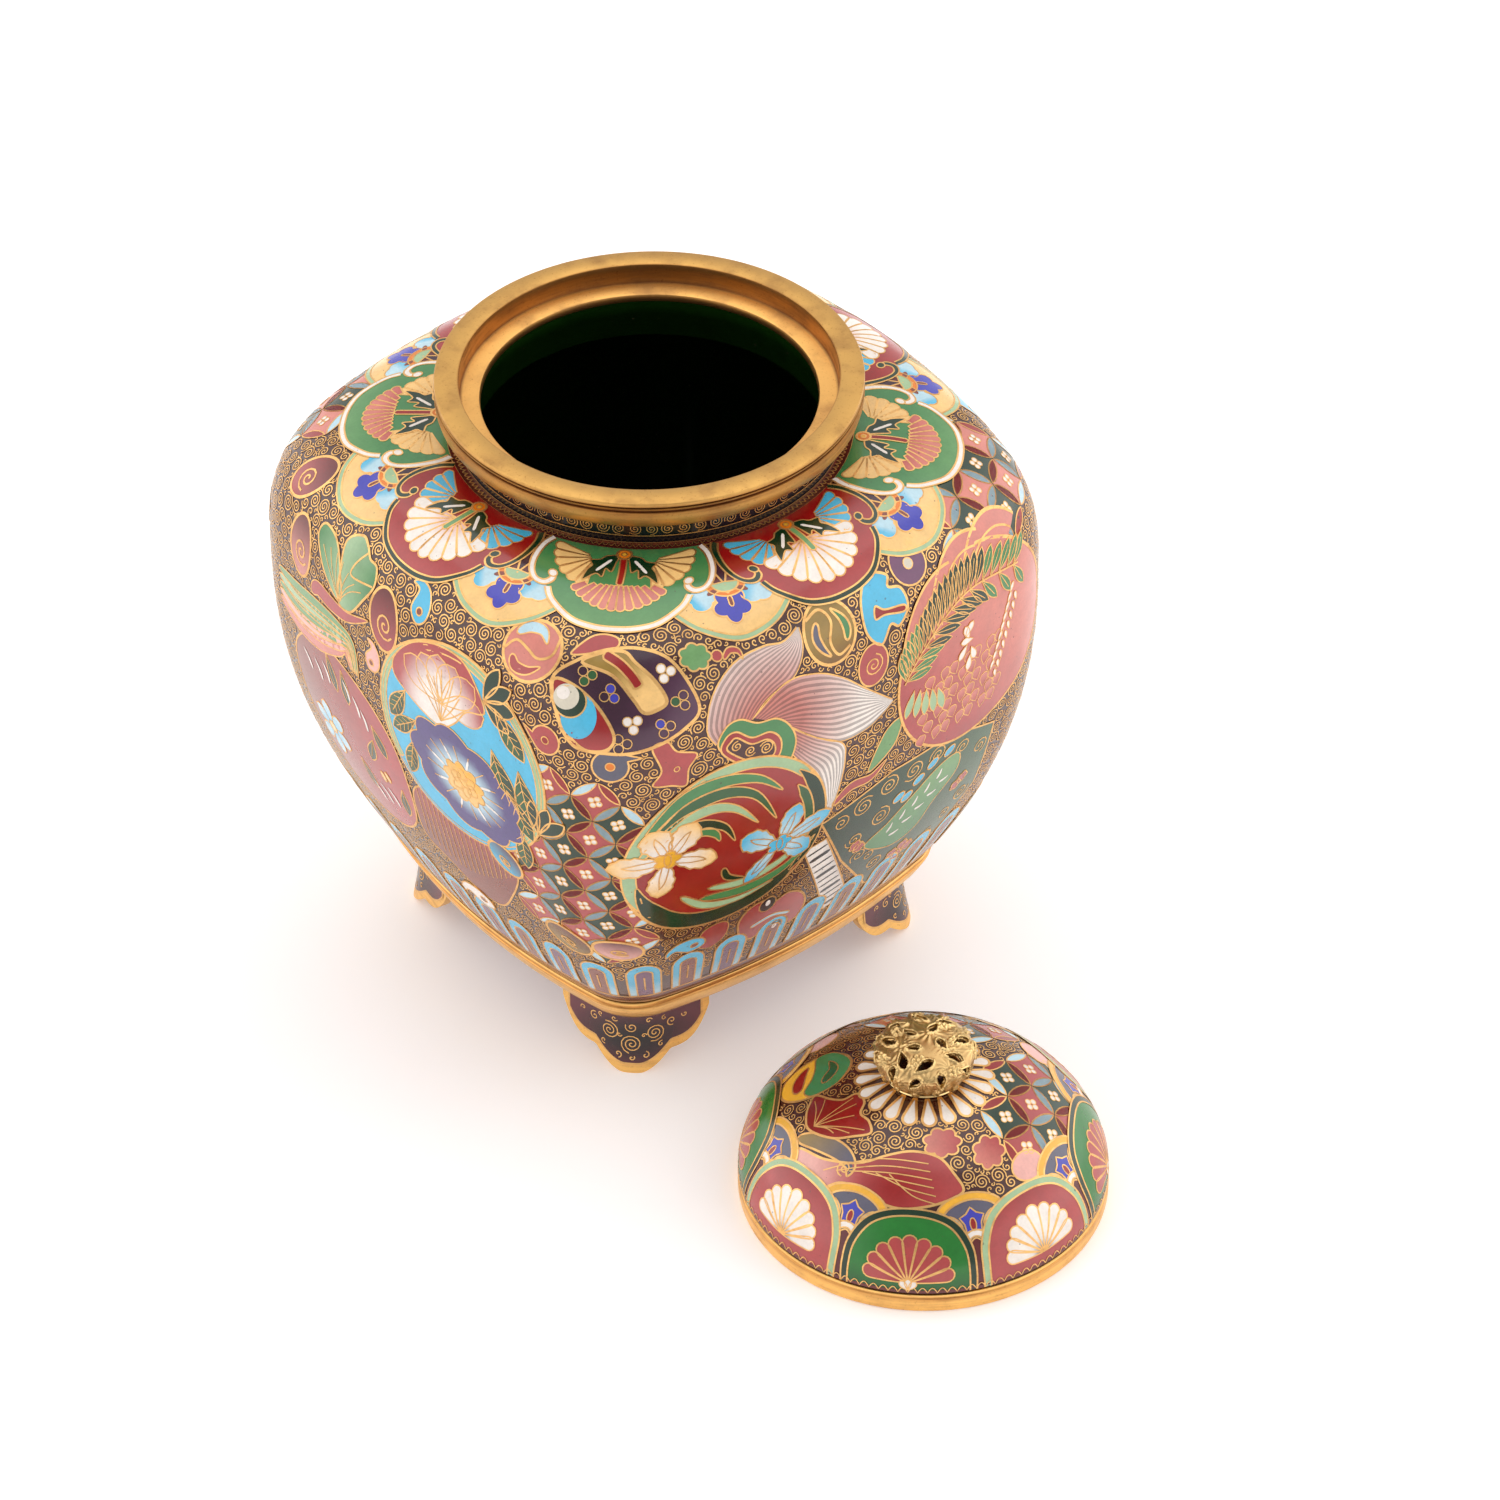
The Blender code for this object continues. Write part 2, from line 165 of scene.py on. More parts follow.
@dataclass(frozen=True)
class Fade:
    """A colour that runs straight across a motif from one enamel to another.

    Args:
        first: The enamel where the share is 0.
        second: The enamel where the share is 1.
        across: How much one step along X and along Y adds to the sum.
        start: The sum at the motif's middle.
        over: The sum at which the share is 1.
    """

    first: Hue
    second: Hue
    across: tuple[float, float]
    start: float = 0.0
    over: float = 1.0

    def __call__(self, points: Points) -> Points:
        """Return the colours at a motif's own points."""
        return blend(self.first, self.second, (points @ np.array(self.across) + self.start) / self.over)


@dataclass(frozen=True)
class Glow:
    """A colour that runs outward from a point of a motif from one enamel to another.

    Args:
        first: The enamel inside.
        second: The enamel outside.
        middle: The point.
        size: Half the width and half the height of a ring at distance 1.
        start: The distance at which the change starts.
        over: The distance that it takes.
        power: What the distance is raised to.
    """

    first: Hue
    second: Hue
    middle: tuple[float, float]
    size: tuple[float, float]
    start: float
    over: float
    power: float = 1.0

    def __call__(self, points: Points) -> Points:
        """Return the colours at a motif's own points."""
        away = np.hypot(*((points - self.middle) / self.size).T) ** self.power
        return blend(self.first, self.second, (away - self.start) / self.over)


Paint = Union[Hue, Shade]


# Outlines in the plane, in millimetres


def circle(radius: float, count: int = 28) -> Points:
    """Return a circle round the middle.

    Args:
        radius: Its radius.
        count: How many points it has.

    Returns:
        The points, anticlockwise.
    """
    return ellipse(radius, radius, count)


def ellipse(wide: float, high: float, count: int = 36) -> Points:
    """Return an ellipse round the middle.

    Args:
        wide: Half its width.
        high: Half its height.
        count: How many points it has.

    Returns:
        The points, anticlockwise.
    """
    turn = np.linspace(0, 2 * math.pi, count, endpoint=False)
    return np.stack([wide * np.cos(turn), high * np.sin(turn)], 1)


def arc(radius: float, start: float, end: float, count: int = 18) -> Points:
    """Return a stretch of a circle.

    Args:
        radius: Its radius.
        start: Where it starts, in degrees.
        end: Where it ends, in degrees.
        count: How many points it has.

    Returns:
        The points in order.
    """
    turn = np.radians(np.linspace(start, end, count))
    return np.stack([radius * np.cos(turn), radius * np.sin(turn)], 1)


def spiral(radius: float, turns: float, hand: int = 1, per_turn: int = 12) -> Points:
    """Return a spiral from the middle out.

    Args:
        radius: Its outer radius.
        turns: How many times it goes round.
        hand: 1 for anticlockwise, -1 for clockwise.
        per_turn: How many points each turn has.

    Returns:
        The points in order.
    """
    count = max(6, int(turns * per_turn))
    share = np.linspace(0.06, 1, count)
    turn = share * turns * 2 * math.pi * hand
    return np.stack([radius * share * np.cos(turn), radius * share * np.sin(turn)], 1)


def petal(length: float, width: float, tip: float = 0.6, count: int = 16) -> Points:
    """Return a petal that grows along +Y from a point at the middle.

    Args:
        length: Its length.
        width: Its greatest width.
        tip: How blunt its end is, from 0.3 for a pointed one to 1 for a round one.
        count: How many points each side has.

    Returns:
        The points, anticlockwise.
    """
    share = np.linspace(0, 1, count)
    half = width / 2 * np.sin(math.pi * share ** (1.0 + 0.6 * tip)) ** (1.1 - 0.5 * tip)
    right = np.stack([half, share * length], 1)
    left = np.stack([-half[-2:0:-1], share[-2:0:-1] * length], 1)
    return np.concatenate([right, left])


def drop_petal(length: float, width: float, count: int = 9) -> Points:
    """Return a drop that grows along +Y from a point at the middle to a round end.

    Args:
        length: Its length.
        width: The width of its round end.
        count: How many points the round end has.

    Returns:
        The points, anticlockwise.
    """
    radius = width / 2
    lean = math.degrees(math.asin(radius / (length - radius)))
    return np.concatenate([[(0.0, 0.0)], arc(radius, -lean, 180 + lean, count) + (0, length - radius)])


def lobed(radius: float, lobes: int, depth: float, count: int = 48, high: float = 1.0) -> Points:
    """Return a round outline with rounded lobes.

    Args:
        radius: Its middle radius.
        lobes: How many lobes it has.
        depth: How far they stand out, as a share of the radius.
        count: How many points it has.
        high: Its height as a share of its width.

    Returns:
        The points, anticlockwise.
    """
    turn = np.linspace(0, 2 * math.pi, count, endpoint=False)
    reach = radius * (1 + depth * (np.abs(np.cos(lobes * turn / 2)) - 0.5) * 2)
    return np.stack([reach * np.cos(turn), high * reach * np.sin(turn)], 1)


def smooth(points: Path, closed: bool = True, steps: int = 6) -> Points:
    """Return a smooth curve through a few points.

    Args:
        points: The points that it passes through.
        closed: Whether it comes back to its start.
        steps: How many steps lie between two points.

    Returns:
        The curve's points.
    """
    knots = np.array(points, float)
    count = len(knots)
    spans = count if closed else count - 1
    share = np.linspace(0, 1, steps, endpoint=False)[:, None]
    runs = []
    for i in range(spans):
        if closed:
            a, b, c, d = (knots[(i + k) % count] for k in (-1, 0, 1, 2))
        else:
            a, b, c, d = (knots[min(max(i + k, 0), count - 1)] for k in (-1, 0, 1, 2))
        runs.append(
            0.5
            * (
                2 * b
                + (c - a) * share
                + (2 * a - 5 * b + 4 * c - d) * share**2
                + (3 * b - a - 3 * c + d) * share**3
            )
        )
    curve = np.concatenate(runs)
    return curve if closed else np.concatenate([curve, knots[-1:]])


def turned(points: Points, degrees: float) -> Points:
    """Return points turned anticlockwise about the middle."""
    c, s = math.cos(math.radians(degrees)), math.sin(math.radians(degrees))
    return np.asarray(points, float) @ np.array([[c, s], [-s, c]])


def along(points: Points, step: float, closed: bool) -> Points:
    """Return a line with extra points, so that no stretch is longer than a step.

    Args:
        points: The line's points.
        step: The longest stretch that may stay.
        closed: Whether the line comes back to its start.

    Returns:
        The finer line.
    """
    ends = np.roll(points, -1, 0) if closed else points[1:]
    starts = points if closed else points[:-1]
    runs = []
    for a, b in zip(starts, ends):
        parts = max(1, math.ceil(float(np.hypot(*(b - a))) / step))
        share = np.arange(parts)[:, None] / parts
        runs.append(a + (b - a) * share)
    if not closed:
        runs.append(points[-1:])
    return np.concatenate(runs)


def inside(points: Points, outline: Points) -> Points:
    """Say which points lie inside a closed outline.

    Args:
        points: The points to test.
        outline: The outline's points.

    Returns:
        One truth value a point.
    """
    x, y = points[:, 0][:, None], points[:, 1][:, None]
    x0, y0 = outline[:, 0][None], outline[:, 1][None]
    x1, y1 = np.roll(outline[:, 0], -1)[None], np.roll(outline[:, 1], -1)[None]
    crosses = (y0 > y) != (y1 > y)
    rise = np.where(y1 == y0, 1e-12, y1 - y0)
    return (np.sum(crosses & (x < (x1 - x0) * (y - y0) / rise + x0), 1) % 2).astype(bool)


def mesh_of(outline: Points, step: float) -> tuple[Points, list[tuple[int, int, int]]]:
    """Fill a closed outline with triangles no longer than about a step.

    Args:
        outline: The outline's points.
        step: The size of the triangles.

    Returns:
        The points and the triangles, anticlockwise.
    """
    edge = along(outline, step, True)
    low, high = edge.min(0), edge.max(0)
    inner = np.zeros((0, 2))
    if min(high - low) > 1.4 * step:
        xs = np.arange(low[0] + step / 2, high[0], step)
        ys = np.arange(low[1] + step / 2, high[1], step * 0.87)
        grid = np.array([(x + step / 2 * (row % 2), y) for row, y in enumerate(ys) for x in xs])
        grid = grid[inside(grid, edge)] if len(grid) else grid
        if len(grid):
            near = np.min(np.sum((grid[:, None] - edge[None]) ** 2, 2), 1)
            inner = grid[near > (0.45 * step) ** 2]
    points = [Vector(p) for p in np.concatenate([edge, inner])]
    found, _, faces, *_ = delaunay_2d_cdt(points, [], [list(range(len(edge)))], 1, 1e-6)
    triangles = [(f[0], f[i], f[i + 1]) for f in faces for i in range(1, len(f) - 1)]
    return np.array([tuple(p) for p in found]), triangles


# The enamelled surfaces


class Drape(Protocol):
    """What lays a flat drawing on a surface."""

    def lay(self, flat: Points) -> tuple[Points, Points]:
        """Return where flat points land, from the foot of the axis, and the outward directions there."""


@dataclass
class Surface:
    """An enamelled surface round an upright axis, held as rings from the top down.

    Args:
        axis: The foot of the axis, in millimetres.
        radius: The radius at each ring and each step round.
        height: The height at each ring.
    """

    axis: Vector
    radius: Points
    height: Points

    def __post_init__(self) -> None:
        """Work out the distance down the surface at each step round, and the tree that cells drape on."""
        self.steps = self.radius.shape[1]
        self.angles = np.linspace(-math.pi, math.pi, self.steps, endpoint=False)
        drop = np.hypot(np.diff(self.radius, axis=0), np.diff(self.height)[:, None])
        self.down = np.concatenate([np.zeros((1, self.steps)), np.cumsum(drop, 0)])
        self.points = np.stack(
            [
                self.radius * np.cos(self.angles),
                self.radius * np.sin(self.angles),
                np.repeat(self.height[:, None], self.steps, 1),
            ],
            2,
        )
        quads = [
            (r * self.steps + c, (r + 1) * self.steps + c, (r + 1) * self.steps + d, r * self.steps + d)
            for r in range(len(self.height) - 1)
            for c, d in ((c, (c + 1) % self.steps) for c in range(self.steps))
        ]
        self.tree = BVHTree.FromPolygons(self.points.reshape(-1, 3).tolist(), quads)

    def point(self, around: Points, down: Points) -> Points:
        """Return points of the surface.

        Args:
            around: Angles round the axis, in degrees.
            down: Distances down the surface.

        Returns:
            The points, from the foot of the axis.
        """
        around, down = np.broadcast_arrays(np.asarray(around, float), np.asarray(down, float))
        column = (np.radians(around) + math.pi) / (2 * math.pi) * self.steps
        first = np.floor(column).astype(int)
        share = column - first
        result = np.zeros(around.shape + (2,))
        for side, weight in ((first, 1 - share), (first + 1, share)):
            side = side % self.steps
            rows = self.down[:, side]
            upper = np.clip(np.sum(rows < down, 0), 1, len(self.height) - 1)
            top, bottom = self.down[upper - 1, side], self.down[upper, side]
            part = np.clip((down - top) / np.maximum(bottom - top, 1e-9), 0, 1)
            wide = self.radius[upper - 1, side] * (1 - part) + self.radius[upper, side] * part
            high = self.height[upper - 1] * (1 - part) + self.height[upper] * part
            result += np.stack([wide, high], -1) * weight[..., None]
        turn = np.radians(around)
        return np.stack([result[..., 0] * np.cos(turn), result[..., 0] * np.sin(turn), result[..., 1]], -1)

    def normal(self, around: Points, down: Points) -> Points:
        """Return the outward directions at points of the surface, as `point` takes them.

        Args:
            around: Angles round the axis, in degrees.
            down: Distances down the surface.

        Returns:
            The directions.
        """
        column = ((np.asarray(around, float) + 180) / 360 * self.steps).astype(int) % self.steps
        held = np.clip(down, self.down[0, column] + 0.3, self.down[-1, column] - 0.3)
        sideways = self.point(around + 0.6, held) - self.point(around - 0.6, held)
        upward = self.point(around, held - 0.3) - self.point(around, held + 0.3)
        out = np.cross(sideways, upward)
        return out / np.linalg.norm(out, axis=-1, keepdims=True)

    def spot(self, around: float, down: float, spin: float = 0.0) -> "Tangent":
        """Return the plane that touches the surface at a place, to draw a motif on.

        Args:
            around: The angle round the axis, in degrees.
            down: The distance down the surface.
            spin: How far the motif is turned anticlockwise, in degrees.

        Returns:
            The touching plane.
        """
        middle = self.point(np.array([around]), np.array([down]))[0]
        out = self.normal(np.array([around]), np.array([down]))[0]
        right = np.array([-math.sin(math.radians(around)), math.cos(math.radians(around)), 0.0])
        right = right - out * (right @ out)
        right /= np.linalg.norm(right)
        up = np.cross(out, right)
        c, s = math.cos(math.radians(spin)), math.sin(math.radians(spin))
        return Tangent(self, middle, right * c + up * s, up * c - right * s, out)

    def quarter(self, down: float, count: int, swing: float = 0.0, waves: int = 0) -> Points:
        """Return a quarter turn of a wire for the wrap at the front corner, straight or in scallops.

        Args:
            down: How far down the surface it runs.
            count: How many straight pieces it has.
            swing: How much further down its scallops reach.
            waves: How many scallops it has.

        Returns:
            The wire's path.
        """
        share = np.linspace(0, 1, count + 1)
        level = down + swing * np.abs(np.sin(share * math.pi * waves))
        spots = self.point(np.full(count + 1, FRONT_CORNER), level)
        wide = np.hypot(spots[:, 0], spots[:, 1])
        return np.stack([(share - 0.5) * math.pi / 2 * wide, -level], 1)

    def fan(self, around: float) -> "Polar":
        """Return the wrap whose upright is the line down the surface at an angle."""
        return Polar(self, around)


@dataclass
class Tangent:
    """Lays a flat drawing on a surface by pushing it straight in from a touching plane."""

    surface: Surface
    middle: Points
    right: Points
    up: Points
    out: Points
    reach: float = 12.0

    def lay(self, flat: Points) -> tuple[Points, Points]:
        """Return where flat points land, and the outward directions there.

        Args:
            flat: Points of the drawing, in millimetres.

        Returns:
            Points from the foot of the axis, and directions.
        """
        spots, outs = [], []
        for x, y in flat:
            start = self.middle + self.right * x + self.up * y
            high = Vector(start + self.out * 4.0)
            hit, normal, _, _ = self.surface.tree.ray_cast(high, Vector(-self.out), self.reach * 2)
            if hit is None:
                hit, normal, _, _ = self.surface.tree.find_nearest(Vector(start))
            if normal.dot(Vector(self.out)) < 0:
                normal = -normal
            spots.append(hit)
            outs.append(normal)
        return np.array(spots), np.array(outs)


@dataclass
class Polar:
    """Lays a drawing on a surface by its distance down, spread round the axis to true width."""

    surface: Surface
    around: float

    def lay(self, flat: Points) -> tuple[Points, Points]:
        """Return where flat points land, as `Tangent.lay` does; y counts down the surface as negative.

        Args:
            flat: Points of the drawing, in millimetres.

        Returns:
            Points from the foot of the axis, and directions.
        """
        down = -flat[:, 1]
        middle = self.surface.point(np.full(len(flat), self.around), down)
        wide = np.hypot(middle[:, 0], middle[:, 1])
        around = self.around + np.degrees(flat[:, 0] / np.maximum(wide, 1.0))
        return self.surface.point(around, down), self.surface.normal(around, down)


@dataclass
class Girth:
    """Lays a drawing round a surface at one level, x in true length and y up from that level."""

    surface: Surface
    level: float

    def __post_init__(self) -> None:
        """Measure the way round at the level."""
        surface = self.surface
        row = int(np.argmin(np.abs(surface.height - self.level)))
        ring = surface.points[row]
        run = np.linalg.norm(np.roll(ring, -1, 0) - ring, axis=1)
        self.lengths = np.concatenate([[0.0], np.cumsum(run)])
        self.turns = np.degrees(np.concatenate([surface.angles, [math.pi]]))
        self.perimeter = float(self.lengths[-1])

    def lay(self, flat: Points) -> tuple[Points, Points]:
        """Return where flat points land, as `Tangent.lay` does.

        Args:
            flat: Points of the drawing, in millimetres.

        Returns:
            Points from the foot of the axis, and directions.
        """
        around = np.interp(np.mod(flat[:, 0], self.perimeter), self.lengths, self.turns)
        surface = self.surface
        column = ((np.radians(around) + math.pi) / (2 * math.pi) * surface.steps).astype(int) % surface.steps
        base = np.array([np.interp(-self.level, -surface.height, surface.down[:, c]) for c in column])
        down = base - flat[:, 1]
        return surface.point(around, down), surface.normal(around, down)


class Cells:
    """Enamel cells and the wires between them, gathered for one surface."""

    BASE = 0.04
    LIFT = 0.017
    WALLED = 2.0
    STEP = 1.05
    WIRE_STEP = 0.45

    def __init__(self, axis: Vector) -> None:
        """Start with no cells.

        Args:
            axis: The foot of the surface's axis, in millimetres.
        """
        self.axis = np.array(axis)
        self.spots: list[Points] = []
        self.shades: list[Points] = []
        self.faces: list[Points] = []
        self.wire_spots: list[Points] = []
        self.wire_faces: list[Points] = []
        self.count = 0
        self.wire_count = 0

    def fill(self, drape: Drape, outline: Points, colours: Shade, level: float) -> None:
        """Add one cell of enamel.

        Args:
            drape: What lays flat points on the surface.
            outline: The cell's outline.
            colours: A function of the flat points that gives one linear colour each.
            level: How many layers it lies over the ground.
        """
        flat, triangles = mesh_of(outline, self.STEP)
        if not triangles:
            return
        spots, outs = drape.lay(flat)
        self.spots.append(spots + outs * (self.BASE + self.LIFT * level))
        self.shades.append(colours(flat))
        self.faces.append(np.array(triangles) + self.count)
        self.count += len(flat)

    def wire(self, drape: Drape, path: Points, width: float, level: float, closed: bool = False) -> None:
        """Add one flat wire.

        Args:
            drape: What lays flat points on the surface.
            path: The wire's middle line.
            width: Its width.
            level: How many layers it lies over the ground.
            closed: Whether it comes back to its start.
        """
        line = along(np.asarray(path, float), self.WIRE_STEP, closed)
        keep = np.linalg.norm(np.roll(line, -1, 0) - line, axis=1) > 1e-4
        if not closed:
            keep[-1] = True
        line = line[keep]
        if len(line) < 2:
            return
        if closed:
            run = np.roll(line, -1, 0) - np.roll(line, 1, 0)
        else:
            run = np.gradient(line, axis=0)
        run /= np.maximum(np.linalg.norm(run, axis=1, keepdims=True), 1e-9)
        side = np.stack([-run[:, 1], run[:, 0]], 1) * width / 2
        spots, outs = drape.lay(line)
        left, _ = drape.lay(line + side)
        across = left - spots
        lift = outs * (self.BASE + self.LIFT * (level + 0.6))
        self.wire_spots.append(np.concatenate([spots + across + lift, spots - across + lift]))
        count = len(line)
        last = count if closed else count - 1
        first = np.arange(last)
        second = (first + 1) % count
        quads = np.stack([first + count, second + count, second, first], 1) + self.wire_count
        self.wire_faces.append(quads)
        self.wire_count += 2 * count
        if closed and level >= self.WALLED:
            self.wall(line, spots, across, outs, lift)

    def wall(self, line: Points, spots: Points, across: Points, outs: Points, lift: Points) -> None:
        """Add the wall from a closed wire's outer edge down to the ground.

        Args:
            line: The wire's middle line in the drawing.
            spots: The same on the surface.
            across: The steps from there to the wire's left edge.
            outs: The outward directions.
            lift: How far the wire stands off.
        """
        ahead = np.roll(line, -1, 0)
        left_turning = np.sum(line[:, 0] * ahead[:, 1] - line[:, 1] * ahead[:, 0]) > 0
        edge = spots - across if left_turning else spots + across
        count = len(line)
        first = np.arange(count)
        second = (first + 1) % count
        rows = (first + count, second + count, second, first)
        quads = np.stack(rows if left_turning else rows[::-1], 1) + self.wire_count
        self.wire_spots.append(np.concatenate([edge + lift, edge + outs * self.BASE / 2]))
        self.wire_faces.append(quads)
        self.wire_count += 2 * count

    def copies(self, count: int) -> list[tuple[Points, Points]]:
        """Return the cells' points and faces, turned round the axis as many times as they are copied.

        Args:
            count: How many copies go round.

        Returns:
            The points and the faces of each copy.
        """
        spots, faces = np.concatenate(self.spots), np.concatenate(self.faces)
        found = []
        for k in range(count):
            flat = turned(spots[:, :2], 360 * k / count)
            found.append((np.column_stack([flat, spots[:, 2]]), faces))
        return found

    def enamel(self, name: str, material: bpy.types.Material) -> bpy.types.Object:
        """Return the cells as one piece, with each cell's colour in the attribute `enamel`.

        Args:
            name: The new piece's name.
            material: Its material.

        Returns:
            The piece.
        """
        spots = (np.concatenate(self.spots) + self.axis) * MM
        faces = np.concatenate(self.faces)
        piece = make_piece(name, spots, faces, material)
        colour_in(piece, np.concatenate(self.shades))
        return piece

    def wires(self, name: str, material: bpy.types.Material) -> bpy.types.Object:
        """Return the wires as one piece."""
        spots = (np.concatenate(self.wire_spots) + self.axis) * MM
        return make_piece(name, spots, np.concatenate(self.wire_faces), material)


def make_piece(name: str, spots: Points, faces: Iterable, material: bpy.types.Material) -> bpy.types.Object:
    """Return a new smooth mesh object at the origin.

    Args:
        name: The piece's name.
        spots: Its vertices, in metres.
        faces: Its faces, as rows of vertex numbers.
        material: Its material.

    Returns:
        The object, linked to the scene.
    """
    mesh = bpy.data.meshes.new(name)
    mesh.from_pydata(np.asarray(spots).tolist(), [], [tuple(map(int, face)) for face in faces])
    mesh.materials.append(material)
    mesh.shade_smooth()
    mesh.update()
    piece = bpy.data.objects.new(name, mesh)
    bpy.context.scene.collection.objects.link(piece)
    return piece


def make_plain(piece: bpy.types.Object) -> None:
    """Replace a piece's mesh by what its modifiers make of it, and drop them.

    Args:
        piece: The piece.
    """
    graph = bpy.context.evaluated_depsgraph_get()
    worked = piece.evaluated_get(graph)
    mesh = bpy.data.meshes.new_from_object(worked, preserve_all_data_layers=True, depsgraph=graph)
    piece.modifiers.clear()
    piece.data = mesh


def colour_in(piece: bpy.types.Object, colours: Points) -> None:
    """Write one linear colour a vertex into the attribute `enamel`.

    Args:
        piece: The piece.
        colours: A row for each vertex.
    """
    layer = piece.data.color_attributes.new("enamel", "FLOAT_COLOR", "POINT")
    full = np.ones((len(piece.data.vertices), 4), np.float32)
    full[:, :3] = colours
    layer.data.foreach_set("color", full.ravel())


@dataclass(frozen=True)
class Brush:
    """Draws on a surface in a motif's own plane.

    Args:
        cells: Where the cells and wires are gathered.
        drape: What lays flat points on the surface.
        level: The layer that the next cell lies on.
        middle: Where the motif's own middle is in the drape's plane.
        spin: How far the motif is turned anticlockwise, in degrees.
        scale: How much larger than drawn it is.
    """

    cells: Cells
    drape: Drape
    level: float = 1.0
    middle: tuple[float, float] = (0.0, 0.0)
    spin: float = 0.0
    scale: float = 1.0

    WIRE = 0.26

    def put(self, points: Points) -> Points:
        """Return a motif's points in the drape's plane."""
        return turned(np.asarray(points, float) * self.scale, self.spin) + self.middle

    def at(self, x: float, y: float, spin: float = 0.0, scale: float = 1.0, up: float = 0.0) -> "Brush":
        """Return a brush moved within this one's plane.

        Args:
            x: How far right.
            y: How far up.
            spin: How far it is turned, in degrees.
            scale: How much larger it draws.
            up: How many layers higher it draws.

        Returns:
            The moved brush.
        """
        middle = tuple(self.put(np.array([[x, y]]))[0])
        return replace(
            self,
            middle=middle,
            spin=self.spin + spin,
            scale=self.scale * scale,
            level=self.level + up,
        )

    def raised(self, up: float = 1.0) -> "Brush":
        """Return the same brush some layers higher."""
        return replace(self, level=self.level + up)

    def fill(self, outline: Points, paint: Paint) -> None:
        """Add a cell with no wire round it.

        Args:
            outline: The cell's outline.
            paint: Its enamel, or a function that gives a colour for each of the motif's own points.
        """
        def colours(flat: Points) -> Points:
            """Return the colours at points of the drape's plane."""
            own = turned(flat - np.array(self.middle), -self.spin) / self.scale
            return np.tile(paint.light, (len(flat), 1)) if isinstance(paint, Hue) else paint(own)

        self.cells.fill(self.drape, self.put(outline), colours, self.level)

    def line(self, path: Points, width: float = WIRE, closed: bool = False) -> None:
        """Add a wire."""
        self.cells.wire(self.drape, self.put(path), width, self.level, closed)

    def cell(self, outline: Points, paint: Paint, width: float = WIRE) -> None:
        """Add a cell with a wire round it."""
        self.fill(outline, paint)
        self.line(outline, width, True)


# Node trees


class Graph:
    """Adds nodes to a tree and joins them up."""

    def __init__(self, tree: bpy.types.NodeTree) -> None:
        """Start on an empty tree.

        Args:
            tree: The shader or geometry tree.
        """
        self.tree = tree

    def node(self, kind: str, inputs: Optional[dict] = None, **settings: object) -> bpy.types.Node:
        """Add a node.

        Args:
            kind: Its Blender type.
            inputs: Sockets or plain values for its inputs, by name or number.
            settings: The node's own properties.

        Returns:
            The node.
        """
        made = self.tree.nodes.new(kind)
        for key, value in settings.items():
            setattr(made, key, value)
        for key, value in (inputs or {}).items():
            if isinstance(value, bpy.types.NodeSocket):
                self.tree.links.new(value, made.inputs[key])
            else:
                made.inputs[key].default_value = value
        return made

    def math(self, operation: str, *values: object) -> bpy.types.NodeSocket:
        """Return the result of a sum on sockets or numbers."""
        return self.node("ShaderNodeMath", dict(enumerate(values)), operation=operation).outputs[0]

    def ramp(self, share: object, stops: Path) -> bpy.types.NodeSocket:
        """Return a value read off a smooth ramp.

        Args:
            share: Where on the ramp to read.
            stops: Positions and values.

        Returns:
            The value's socket.
        """
        node = self.node("ShaderNodeValToRGB", {0: share})
        node.color_ramp.interpolation = "EASE"
        for i, (position, value) in enumerate(stops):
            stop = node.color_ramp.elements[i] if i < 2 else node.color_ramp.elements.new(position)
            stop.position = position
            stop.color = (value, value, value, 1.0)
        return node.outputs[0]

    def mix(self, kind: str, share: object, first: object, second: object) -> bpy.types.NodeSocket:
        """Return two colours mixed in the named way."""
        values = {0: share, 6: first, 7: second}
        return self.node("ShaderNodeMix", values, data_type="RGBA", blend_type=kind).outputs[2]


